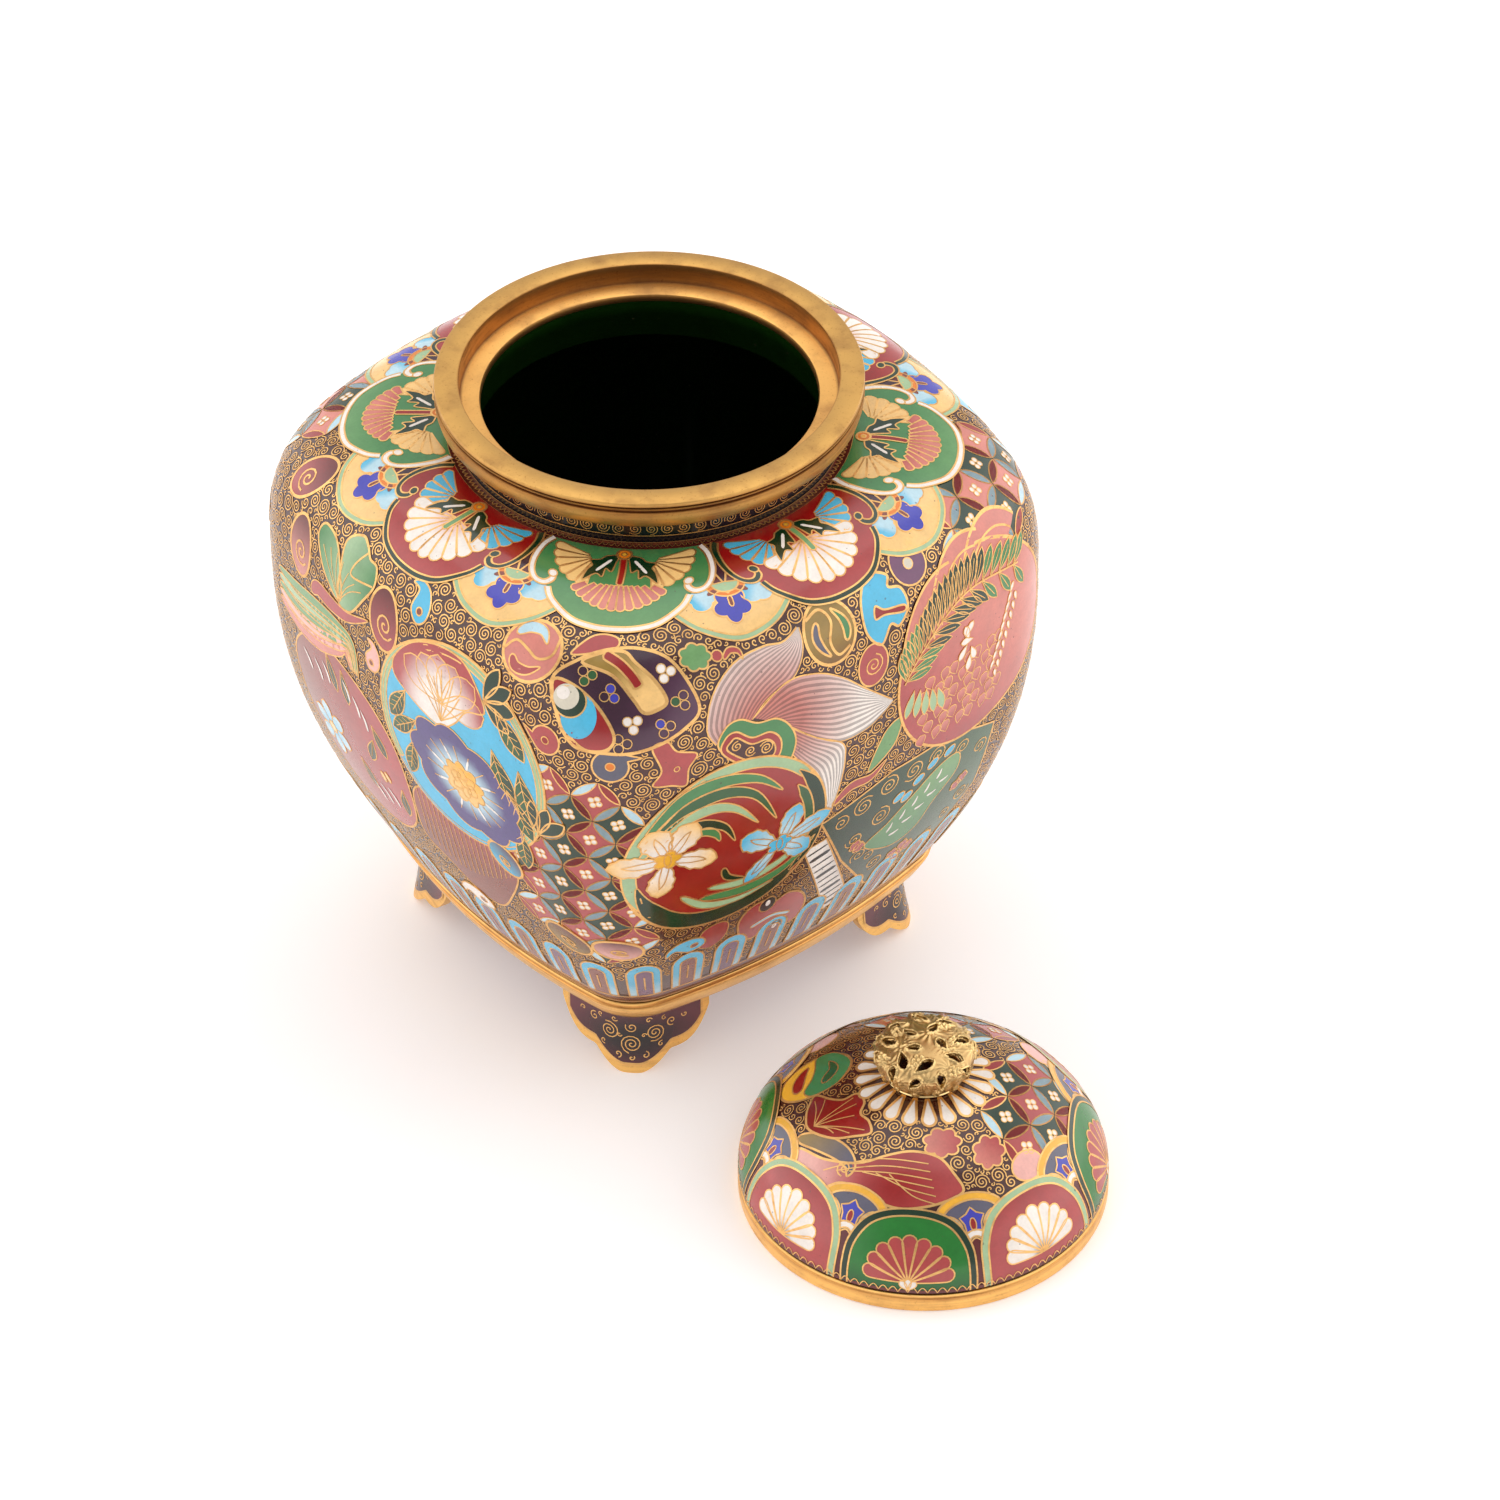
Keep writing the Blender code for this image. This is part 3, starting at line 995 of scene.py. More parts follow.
class Growth(Graph):
    """A Geometry Nodes tree with named inputs, and the means to run it."""

    def __init__(self, name: str) -> None:
        """Start a tree that takes and gives a mesh, and takes a material.

        Args:
            name: The tree's name.
        """
        super().__init__(bpy.data.node_groups.new(name, "GeometryNodeTree"))
        self.keys: dict[str, str] = {}
        self.tree.interface.new_socket("Geometry", in_out="OUTPUT", socket_type="NodeSocketGeometry")
        self.tree.interface.new_socket("Geometry", in_out="INPUT", socket_type="NodeSocketGeometry")
        self.source = self.tree.nodes.new("NodeGroupInput")
        self.size("Material", "Material")

    def size(self, name: str, kind: str) -> None:
        """Add a named input of a kind; it is read with `given`."""
        socket = self.tree.interface.new_socket(name, in_out="INPUT", socket_type="NodeSocket" + kind)
        self.keys[name] = socket.identifier

    def given(self, name: str) -> bpy.types.NodeSocket:
        """Return the socket that carries a named input."""
        return self.source.outputs[name]

    def close(self, geometry: bpy.types.NodeSocket) -> None:
        """Realize the geometry, give it the material and send it out.

        Args:
            geometry: The finished geometry.
        """
        real = self.node("GeometryNodeRealizeInstances", {0: geometry}).outputs[0]
        clad = self.node("GeometryNodeSetMaterial", {"Geometry": real, "Material": self.given("Material")})
        self.node("NodeGroupOutput", {0: clad.outputs[0]})

    def run(self, name: str, start: bpy.types.Mesh, **values: object) -> bpy.types.Object:
        """Grow a piece from a starting mesh.

        Args:
            name: The piece's name.
            start: The mesh that the tree takes.
            values: The named inputs, spaces written as underscores.

        Returns:
            The finished plain mesh object at the origin.
        """
        piece = bpy.data.objects.new(name, start)
        bpy.context.scene.collection.objects.link(piece)
        modifier = piece.modifiers.new("growth", "NODES")
        modifier.node_group = self.tree
        for key, value in values.items():
            modifier[self.keys[key.replace("_", " ")]] = value
        make_plain(piece)
        mesh = piece.data
        mesh.name = name
        mesh.materials.clear()
        mesh.materials.append(values["Material"])
        mesh.polygons.foreach_set("material_index", [0] * len(mesh.polygons))
        return piece


SIDE_ARC = math.radians(13.0)


def plan_arcs(half: float, softness: float) -> tuple[float, float]:
    """Return the radii of a rounded square's corners and of its bowed sides.

    Args:
        half: Half its width.
        softness: Its corner radius as a share of the half width.

    Returns:
        The corner's radius and the side's.
    """
    corner = softness * half
    lean = math.cos(SIDE_ARC) - math.sin(SIDE_ARC)
    return corner, (half - corner * lean) / (1 - lean)


def plan_radius(half: float, softness: float, angles: Points) -> Points:
    """Return how far a rounded square reaches at angles round it.

    Args:
        half: Half its width.
        softness: Its corner radius as a share of the half width, 1 for a circle.
        angles: The angles, in radians.

    Returns:
        The radii.
    """
    turn = np.linspace(-math.pi, math.pi, 1440, endpoint=False) + 1e-6
    corner, side = plan_arcs(half, softness)
    quarter = np.round(turn / (math.pi / 2)) * math.pi / 2
    local = np.abs(turn - quarter)
    held = np.minimum(local, SIDE_ARC)
    x = half - side + (side - corner) * np.cos(held) + corner * np.cos(local)
    y = ((side - corner) * np.sin(held) + corner * np.sin(local)) * np.sign(turn - quarter)
    away = np.arctan2(y, x) + quarter
    return np.interp(angles, away, np.hypot(x, y), period=2 * math.pi)


@dataclass(frozen=True)
class Station:
    """One point of a profile: half width, corner softness, height and colour."""

    half: float
    height: float
    softness: float = 1.0
    colour: Colour = (0.5, 0.5, 0.5)


class Lathe(Growth):
    """Carries a profile round an upright axis, on a round or a squared plan."""

    def __init__(self) -> None:
        """Write the tree."""
        super().__init__("lathe")
        self.size("Columns", "Int")
        self.size("Axis", "Vector")
        profile = self.given("Geometry")
        columns = self.given("Columns")
        rows = self.node("GeometryNodeAttributeDomainSize", {0: profile}).outputs["Point Count"]
        wide = self.math("ADD", columns, 1)
        grid = self.node("GeometryNodeMeshGrid", {"Vertices X": wide, "Vertices Y": rows}).outputs[0]
        index = self.node("GeometryNodeInputIndex").outputs[0]
        row = self.math("MODULO", index, rows)
        column = self.math("FLOOR", self.math("DIVIDE", self.math("ADD", index, 0.5), rows))
        place = self.node("ShaderNodeSeparateXYZ", {0: self.sample("FLOAT_VECTOR", profile, row)})
        softness = self.sample("FLOAT", profile, row, "softness")
        half = place.outputs[0]
        turn = self.math("MULTIPLY", self.math("DIVIDE", column, columns), 2 * math.pi)
        quarter = self.math(
            "MULTIPLY", self.math("ROUND", self.math("DIVIDE", turn, math.pi / 2)), math.pi / 2
        )
        offset = self.math("SUBTRACT", turn, quarter)
        local = self.math("ABSOLUTE", offset)
        held = self.math("MINIMUM", local, SIDE_ARC)
        corner = self.math("MULTIPLY", softness, half)
        lean = math.cos(SIDE_ARC) - math.sin(SIDE_ARC)
        side = self.math("DIVIDE", self.math("SUBTRACT", half, self.math("MULTIPLY", corner, lean)), 1 - lean)
        flat = self.math("SUBTRACT", side, corner)
        across = self.math("MULTIPLY_ADD", flat, self.math("COSINE", held), self.math("SUBTRACT", half, side))
        across = self.math("MULTIPLY_ADD", corner, self.math("COSINE", local), across)
        aside = self.math("MULTIPLY", corner, self.math("SINE", local))
        aside = self.math("MULTIPLY_ADD", flat, self.math("SINE", held), aside)
        aside = self.math("MULTIPLY", aside, self.math("SIGN", offset))
        flat_point = self.node("ShaderNodeCombineXYZ", {0: across, 1: aside, 2: place.outputs[2]}).outputs[0]
        spun = self.node(
            "ShaderNodeVectorRotate", {"Vector": flat_point, "Angle": quarter}, rotation_type="Z_AXIS"
        ).outputs[0]
        moved = self.node(
            "ShaderNodeVectorMath", {0: spun, 1: self.given("Axis")}, operation="ADD"
        ).outputs[0]
        colour = self.sample("FLOAT_COLOR", profile, row, "enamel")
        stored = self.node(
            "GeometryNodeStoreNamedAttribute",
            {"Geometry": grid, "Name": "enamel", "Value": colour},
            data_type="FLOAT_COLOR",
            domain="POINT",
        ).outputs[0]
        shaped = self.node("GeometryNodeSetPosition", {"Geometry": stored, "Position": moved}).outputs[0]
        joined = self.node("GeometryNodeMergeByDistance", {"Geometry": shaped, "Distance": 2e-6}).outputs[0]
        self.close(self.node("GeometryNodeSetShadeSmooth", {"Geometry": joined}).outputs[0])

    def sample(self, kind: str, profile: object, row: object, name: str = "") -> bpy.types.NodeSocket:
        """Return a value of the profile at a row.

        Args:
            kind: The value's data type.
            profile: The profile's geometry socket.
            row: The row's socket.
            name: The attribute's name, or nothing for the position.

        Returns:
            The value's socket.
        """
        if name:
            field = self.node("GeometryNodeInputNamedAttribute", {"Name": name}, data_type=kind).outputs[0]
        else:
            field = self.node("GeometryNodeInputPosition").outputs[0]
        inputs = {"Geometry": profile, "Value": field, "Index": row}
        return self.node("GeometryNodeSampleIndex", inputs, data_type=kind, domain="POINT").outputs[0]

    def turn(
        self,
        name: str,
        profile: Sequence[Station],
        axis: Vector,
        material: bpy.types.Material,
        columns: int = 240,
        crease: float = 40.0,
    ) -> bpy.types.Object:
        """Turn a piece from its profile.

        Args:
            name: The piece's name.
            profile: Its stations, with the metal on the left of the way along them.
            axis: The foot of the axis, in millimetres.
            material: The piece's material.
            columns: How many steps it has round.
            crease: The angle above which an edge stays sharp, in degrees.

        Returns:
            The finished piece.
        """
        mesh = bpy.data.meshes.new(name)
        spots = [(station.half * MM, 0.0, station.height * MM) for station in profile]
        mesh.from_pydata(spots, [(i, i + 1) for i in range(len(spots) - 1)], [])
        mesh.attributes.new("softness", "FLOAT", "POINT").data.foreach_set(
            "value", [station.softness for station in profile]
        )
        colours = mesh.color_attributes.new("enamel", "FLOAT_COLOR", "POINT")
        colours.data.foreach_set("color", [c for s in profile for c in (*s.colour, 1.0)])
        place = tuple(part * MM for part in axis)
        piece = self.run(name, mesh, Material=material, Columns=columns, Axis=place)
        piece.data.set_sharp_from_angle(angle=math.radians(crease))
        return piece


# Materials

GLASS = 1.55


@dataclass(frozen=True)
class Finish:
    """What all finishes share.

    Args:
        name: The material's name.
        roughness: How dull it is in the middle of its range.
        bump: How deep its small unevenness looks.
    """

    name: str
    roughness: float
    bump: float

    def start(self) -> tuple[bpy.types.Material, Graph, bpy.types.NodeSocket]:
        """Return a new material, its emptied graph and the object coordinates.

        Returns:
            The material, its graph and the coordinates.
        """
        material = bpy.data.materials.new(self.name)
        material.use_nodes = True
        material.node_tree.nodes.clear()
        graph = Graph(material.node_tree)
        return material, graph, graph.node("ShaderNodeTexCoord").outputs["Object"]

    def noise(self, graph: Graph, place: object, scale: float, detail: float = 3.0) -> bpy.types.NodeSocket:
        """Return noise whose lumps are about one over the scale in metres."""
        inputs = {"Vector": place, "Scale": scale, "Detail": detail, "Roughness": 0.55}
        return graph.node("ShaderNodeTexNoise", inputs).outputs[0]

    def finish(self, graph: Graph, height: bpy.types.NodeSocket, depth: float, inputs: dict) -> None:
        """Add the bump and the surface, and join them to the output.

        Args:
            graph: The material's graph.
            height: The unevenness that the bump shows.
            depth: How deep it is, in metres.
            inputs: The surface's other inputs.
        """
        values = {"Strength": self.bump, "Distance": depth, "Height": height}
        bump = graph.node("ShaderNodeBump", values).outputs[0]
        surface = graph.node("ShaderNodeBsdfPrincipled", {**inputs, "Normal": bump})
        graph.node("ShaderNodeOutputMaterial", {0: surface.outputs[0]})


@dataclass(frozen=True)
class Enamel(Finish):
    """Fired glass enamel whose colour is in the attribute `enamel`.

    Args:
        mottle: How much its colour varies.
        pits: How many small dark pits it has, from 0 to 1.
        coat: How strong the polish is.
    """

    mottle: float = 0.5
    pits: float = 0.5
    coat: float = 0.15

    def build(self) -> bpy.types.Material:
        """Return the material.

        Returns:
            The material.
        """
        material, graph, place = self.start()
        base = graph.node("ShaderNodeAttribute", attribute_name="enamel").outputs["Color"]
        cloud = self.noise(graph, place, 420.0)
        grain = self.noise(graph, place, 2600.0, 2.0)
        swing = graph.math("MULTIPLY_ADD", cloud, 0.9 * self.mottle, 1 - 0.45 * self.mottle)
        fine = graph.math("MULTIPLY_ADD", grain, 0.5 * self.mottle, 1 - 0.25 * self.mottle)
        tone = graph.math("MULTIPLY", swing, fine)
        toned = graph.mix("MULTIPLY", 1.0, base, tone)
        warm = graph.mix("OVERLAY", graph.math("MULTIPLY", cloud, 0.22), toned, (0.62, 0.4, 0.36, 1.0))
        cell = graph.node("ShaderNodeTexVoronoi", {"Vector": place, "Scale": 1500.0, "Randomness": 1.0})
        size = graph.math("MULTIPLY", graph.math("POWER", cell.outputs["Color"], 6.0), 0.34)
        pit = graph.math("MULTIPLY", graph.math("LESS_THAN", cell.outputs["Distance"], size), self.pits)
        pitted = graph.mix("MIX", graph.math("MULTIPLY", pit, 0.8), warm, (0.06, 0.035, 0.03, 1.0))
        dull = graph.math("MULTIPLY_ADD", grain, 0.22, self.roughness)
        height = graph.math(
            "SUBTRACT", graph.math("MULTIPLY_ADD", cloud, 0.5, graph.math("MULTIPLY", grain, 0.2)), pit
        )
        inputs = {"Base Color": pitted, "Roughness": dull, "IOR": GLASS, "Coat Weight": self.coat}
        inputs |= {"Coat Roughness": 0.06, "Coat IOR": GLASS}
        self.finish(graph, height, 0.00004, inputs)
        return material


@dataclass(frozen=True)
class Gilt(Finish):
    """Gilt or brass, darker where the tarnish sits.

    Args:
        colour: The clean metal's colour.
        tarnish: The tarnish's colour.
        spread: How much of the surface the tarnish takes, from 0 to 1.
        tinted: Whether the attribute `enamel` multiplies the colour.
        lump: The scale of the tarnish's clouds.
    """

    colour: Colour = (215, 160, 84)
    tarnish: Colour = (112, 74, 58)
    # tinted: Whether the attribute `enamel` multiplies the colour; on the mounts and the knob it holds
    # painted shade, and on the collar a painted highlight too.
    spread: float = 0.4
    tinted: bool = False
    lump: float = 260.0

    def build(self) -> bpy.types.Material:
        """Return the material.

        Returns:
            The material.
        """
        material, graph, place = self.start()
        cloud = self.noise(graph, place, self.lump, 5.0)
        grain = self.noise(graph, place, 3400.0, 3.0)
        squeezed = graph.node(
            "ShaderNodeMapping", {"Vector": place, "Scale": (1.0, 1.0, 14.0)}
        ).outputs[0]
        streak = self.noise(graph, squeezed, 150.0, 4.0)
        share = graph.ramp(
            graph.math("MULTIPLY_ADD", streak, 0.5, graph.math("MULTIPLY", cloud, 0.5)),
            [(0.42, 0.0), (0.74, self.spread)],
        )
        clean = (*linear(self.colour), 1.0)
        metal = graph.mix("MIX", share, clean, (*linear(self.tarnish), 1.0))
        # The attribute carries the painted shade and painted highlight of the turned mounts and the knob.
        if self.tinted:
            tint = graph.node("ShaderNodeAttribute", attribute_name="enamel").outputs["Color"]
            metal = graph.mix("MULTIPLY", 1.0, metal, tint)
        speck = graph.mix(
            "MULTIPLY", graph.ramp(grain, [(0.6, 0.0), (0.72, 0.5)]), metal, (0.5, 0.38, 0.3, 1.0)
        )
        dull = graph.math("MULTIPLY_ADD", share, 0.3, graph.math("MULTIPLY_ADD", grain, 0.14, self.roughness))
        height = graph.math("MULTIPLY_ADD", streak, 0.6, graph.math("MULTIPLY", grain, 0.4))
        self.finish(graph, height, 0.00003, {"Base Color": speck, "Metallic": 1.0, "Roughness": dull})
        return material


@dataclass(frozen=True)
class Paper(Finish):
    """The pale studio floor, lit a little from below as a light table is.

    Args:
        colour: Its colour.
        glow: How strongly it is lit from below.
    """

    colour: Colour = (246, 242, 241)
    glow: float = 0.25

    def build(self) -> bpy.types.Material:
        """Return the material.

        Returns:
            The material.
        """
        material, graph, place = self.start()
        fibre = self.noise(graph, place, 60.0, 6.0)
        tone = graph.math("MULTIPLY_ADD", fibre, 0.02, 0.99)
        colour = graph.mix("MULTIPLY", 1.0, (*linear(self.colour), 1.0), tone)
        inputs = {"Base Color": colour, "Roughness": self.roughness}
        inputs |= {"Emission Color": colour, "Emission Strength": self.glow}
        self.finish(graph, fibre, 0.0001, inputs)
        return material


class Palette:
    """The materials of the whole scene, each made once."""

    def __init__(self) -> None:
        """Make them."""
        self.ground = Enamel("ground enamel", 0.1, 0.35, mottle=1.0, pits=0.6).build()
        self.enamel = Enamel("cell enamel", 0.1, 0.3, mottle=0.42, pits=0.75).build()
        self.wire = Gilt("gilt wire", 0.34, 0.2, (238, 190, 122), (150, 96, 60), 0.5, lump=500.0).build()
        self.gilt = Gilt("gilt mount", 0.34, 0.35, (208, 162, 92), (122, 86, 60), 0.6, True).build()
        # This second gilt is the mount gilt painted brighter, for the band, the feet and the lid's rim: a
        # painted reflection of the pale floor.
        self.bright = Gilt("bright gilt", 0.28, 0.3, (250, 200, 118), (150, 98, 70), 0.45, True).build()
        self.knob = Gilt("antique gilt", 0.22, 0.4, (255, 220, 152), (136, 96, 56), 0.35, True).build()
        self.floor = Paper("studio floor", 0.7, 0.1).build()


# The pieces


@dataclass
class JarBody:
    """The enamelled body: swelling square sides, a rounded shoulder and a short round neck.

    Args:
        axis: The foot of its axis, in millimetres.
        half: Half its width at the belly.
        bottom: The height of its underside.
        top: The height of its neck's edge.
    """

    axis: Vector
    half: float
    bottom: float
    top: float
    base_half: float = 32.0
    neck_radius: float = 25.65
    neck_height: float = 4.1
    shoulder: float = 20.3
    wall: float = 1.8
    floor: float = 2.2
    belly_softness: float = 0.38
    base_softness: float = 0.27
    shoulder_fullness: float = 3.1
    lower_fullness: float = 2.25
    squaring: float = 1.8
    red_band: float = 1.9
    foot_band: float = 2.9

    @property
    def belly(self) -> float:
        """Return the height of its widest place."""
        return self.top - self.neck_height - self.shoulder

    def side(self, inset: float, neck: float, bottom: float, rows: int) -> list[Station]:
        """Return the stations of one face of the wall, from the base up to the neck.

        Args:
            inset: How far the face lies inside the outer one.
            neck: The neck's radius on that face.
            bottom: The height where the face starts.
            rows: How many stations each half has.

        Returns:
            The stations, all in the ground's colour.
        """
        belly, base = self.half - inset, self.base_half - inset
        ground = Hue.GROUND.light
        stations = []
        for share in np.linspace(1, 0, rows, endpoint=False):
            half = belly - (belly - base) * share**self.lower_fullness
            softness = self.belly_softness + (self.base_softness - self.belly_softness) * share
            stations.append(Station(half, self.belly - (self.belly - bottom) * share, softness, ground))
        power = 2 / self.shoulder_fullness
        for turn in np.linspace(0, math.pi / 2, rows + 1):
            share = max(0.0, math.cos(turn)) ** power
            half = neck + (belly - neck) * share
            softness = 1 - (1 - self.belly_softness) * share**self.squaring
            height = self.belly + (self.shoulder - inset) * math.sin(turn) ** power
            stations.append(Station(half, height, softness, ground))
        stations.append(Station(neck, self.top, 1.0, ground))
        return stations

    def collared(self, stations: list[Station]) -> list[Station]:
        """Return the outer face's stations with the dark neck, the red ring under it and the red foot.

        Args:
            stations: The outer face's stations, from the bottom up.

        Returns:
            The stations.
        """
        edge = self.top - self.neck_height
        low = [s for s in stations if s.height < edge - 0.01]
        red, navy = Hue.NECK_RED.light, Hue.NAVY.light
        foot = self.bottom + self.foot_band
        low = [replace(s, colour=Hue.NECK_RED.light) if s.height < foot else s for s in low]
        red_from = [
            replace(s, colour=red)
            if s.half < self.neck_radius + self.red_band and s.height > self.belly else s for s in low
        ]
        neck = [(edge, red), (edge + 0.04, navy), (self.top, navy)]
        return red_from + [Station(self.neck_radius, height, 1.0, colour) for height, colour in neck]

    def profile(self) -> list[Station]:
        """Return the closed profile, from the middle of the underside round to the middle of the floor.

        Returns:
            The stations.
        """
        outside = self.collared(self.side(0.0, self.neck_radius, self.bottom, 46))
        green = Hue.COUNTER_GREEN.light
        inner = self.side(self.wall, self.neck_radius - 2.3, self.bottom + self.floor, 22)
        # Inside the jar below the rim, the counter-enamel and the floor are painted a quarter as bright:
        # painted shade inside the jar.
        deep = tuple(0.25 * part for part in green)
        rim = self.top - 0.6 * self.neck_height
        inner.insert(-1, replace(inner[-1], height=rim, colour=deep))
        inside = [replace(s, colour=green if s.height > rim else deep) for s in reversed(inner)]
        metal = Hue.BROWN.light
        under = [
            Station(0.0, self.bottom, 1.0, metal), Station(self.base_half - 1.2, self.bottom, 0.27, metal)
        ]
        return under + outside + inside + [Station(0.0, self.bottom + self.floor, 1.0, deep)]

    def surface(self) -> Surface:
        """Return the outer face as a surface to draw on; distances start under the neck.

        Returns:
            The surface.
        """
        stations = self.side(0.0, self.neck_radius, self.bottom, 60)[::-1]
        angles = np.linspace(-math.pi, math.pi, 720, endpoint=False)
        radius = np.array([plan_radius(s.half, s.softness, angles) for s in stations])
        made = Surface(self.axis, radius, np.array([s.height for s in stations]))
        made.down -= self.neck_height
        return made

    def build(self, lathe: Lathe, palette: Palette) -> bpy.types.Object:
        """Turn the body."""
        return lathe.turn("body_ground", self.profile(), self.axis, palette.ground, 288, 50.0)


@dataclass
class Collar:
    """The stepped gilt ring on the neck, with a recess for the lid.

    Args:
        axis: The foot of its axis, in millimetres.
        radius: Its outer radius.
        bottom: The height of its skirt's edge.
        top: The height of its upper face.
    """

    axis: Vector
    radius: float
    bottom: float
    top: float
    recess: float = 25.2
    depth: float = 3.0
    mouth: float = 22.4
    seat: float = 0.6
    bore: float = 25.95
    edge: float = 0.3

    # Tints that the gilt's colour is multiplied by. The first is the metal itself; the rest are painted
    # light: a painted half shade beside grooves, under edges and against neighbouring parts, a deeper painted
    # shade in grooves and on faces hidden under other parts, painted shade in the recess corner, down the
    # mouth and on the bore, and a painted highlight on the ledge.
    GOLD = (1.0, 1.0, 1.0)
    PAINTED_HALF_SHADE = (0.72, 0.6, 0.56)
    PAINTED_DEEP_SHADE = (0.2, 0.12, 0.13)
    PAINTED_HOLLOW_SHADE = (0.42, 0.33, 0.36)
    PAINTED_HIGHLIGHT = (1.3, 1.25, 1.25)

    def profile(self) -> list[Station]:
        """Return the closed profile, up the outside, over the rim and down the recess.

        Returns:
            The stations.
        """
        r, top, low, e = self.radius, self.top, self.bottom, self.edge
        ledge = top - self.depth
        belly = low + (top - low) * 0.42
        points = [
            (self.bore, low, self.PAINTED_HOLLOW_SHADE),
            (r - 1.9, low, self.PAINTED_HALF_SHADE),
            (r - 1.25, low + 0.22, self.GOLD),
            (r - 0.7, low + 0.55, self.GOLD),
            (r - 0.28, low + 1.0, self.GOLD),
            (r - 0.06, belly - 0.2, self.GOLD),
            (r, belly + 0.35, self.GOLD),
            (r - 0.02, top - 5.2 * e, self.PAINTED_HALF_SHADE),
            (r - 0.3, top - 4.8 * e, self.PAINTED_DEEP_SHADE),
            (r - 0.34, top - 4.1 * e, self.PAINTED_DEEP_SHADE),
            (r - 0.06, top - 3.7 * e, self.PAINTED_HALF_SHADE),
            (r - 0.02, top - 3.1 * e, self.GOLD),
            (r - 0.26, top - 2.8 * e, self.PAINTED_DEEP_SHADE),
            (r - 0.26, top - 2.4 * e, self.PAINTED_DEEP_SHADE),
            (r, top - 2.0 * e, self.PAINTED_HALF_SHADE),
            (r, top - 1.1 * e, self.GOLD),
            (r - 0.1, top - 0.35 * e, self.GOLD),
            (r - 0.34, top, self.GOLD),
            (self.recess + 0.24, top, self.GOLD),
            (self.recess + 0.06, top - 0.08, self.PAINTED_HALF_SHADE),
            (self.recess, top - 0.26, self.PAINTED_HALF_SHADE),
            (self.recess, top - 1.1, self.PAINTED_HALF_SHADE),
            (self.recess, ledge + 0.5, self.PAINTED_HALF_SHADE),
            # From the recess corner on, the ledge and the mouth's edge carry a painted highlight, and the
            # corner and the mouth wall below are painted shade.
            (self.recess - 0.12, ledge + 0.12, self.PAINTED_HOLLOW_SHADE),
            (self.recess - 0.5, ledge, self.PAINTED_HIGHLIGHT),
            (self.mouth + 0.5, ledge, self.PAINTED_HIGHLIGHT),
            (self.mouth + 0.15, ledge - 0.15, self.PAINTED_HIGHLIGHT),
            (self.mouth, ledge - 0.5, self.PAINTED_HALF_SHADE),
            (self.mouth, low + self.seat, self.PAINTED_HOLLOW_SHADE),
            (self.bore, low + self.seat, self.PAINTED_HOLLOW_SHADE),
            (self.bore, low, self.PAINTED_HOLLOW_SHADE),
        ]
        return [Station(half, height, 1.0, colour) for half, height, colour in points]

    def build(self, lathe: Lathe, palette: Palette) -> bpy.types.Object:
        """Turn the collar."""
        return lathe.turn("gilt_collar", self.profile(), self.axis, palette.gilt, 256, 32.0)


@dataclass
class BaseBand:
    """The gilt band between the body and the feet.

    Args:
        axis: The foot of its axis, in millimetres.
        half: Half its width at the top.
        bottom: The height of its lower edge.
        top: The height of its upper edge.
    """

    axis: Vector
    half: float
    bottom: float
    top: float
    taper: float = 1.9
    wall: float = 3.2
    softness: float = 0.27

    def build(self, lathe: Lathe, palette: Palette) -> bpy.types.Object:
        """Loft the band round the squared base.

        Args:
            lathe: The tree that turns profiles.
            palette: The materials.

        Returns:
            The piece.
        """
        rise = self.top - self.bottom
        low = self.half - self.taper
        gold, painted_half_shade, line = Collar.GOLD, Collar.PAINTED_HALF_SHADE, Collar.PAINTED_DEEP_SHADE
        # Along this profile the gilt is painted in shade on the underside, in the groove, on the top edge
        # against the body and on the hidden inner face.
        points = [
            (self.half - self.wall, 0.0, painted_half_shade),
            (low, 0.0, line),
            (low + 0.12, 0.1, painted_half_shade),
            (low + 0.7, 0.9, gold),
            (low + 1.35, 2.1, gold),
            (self.half - 0.05, rise - 1.25, gold),
            (self.half, rise - 0.95, painted_half_shade),
            (self.half - 0.12, rise - 0.82, painted_half_shade),
            (self.half - 0.1, rise - 0.62, painted_half_shade),
            (self.half, rise - 0.5, painted_half_shade),
            (self.half, rise - 0.12, gold),
            (self.half - 0.1, rise, painted_half_shade),
            (self.half - self.wall, rise, line),
            (self.half - self.wall, 0.0, painted_half_shade),
        ]
        profile = [Station(half, self.bottom + z, self.softness, colour) for half, z, colour in points]
        return lathe.turn("gilt_band", profile, self.axis, palette.bright, 240, 34.0)


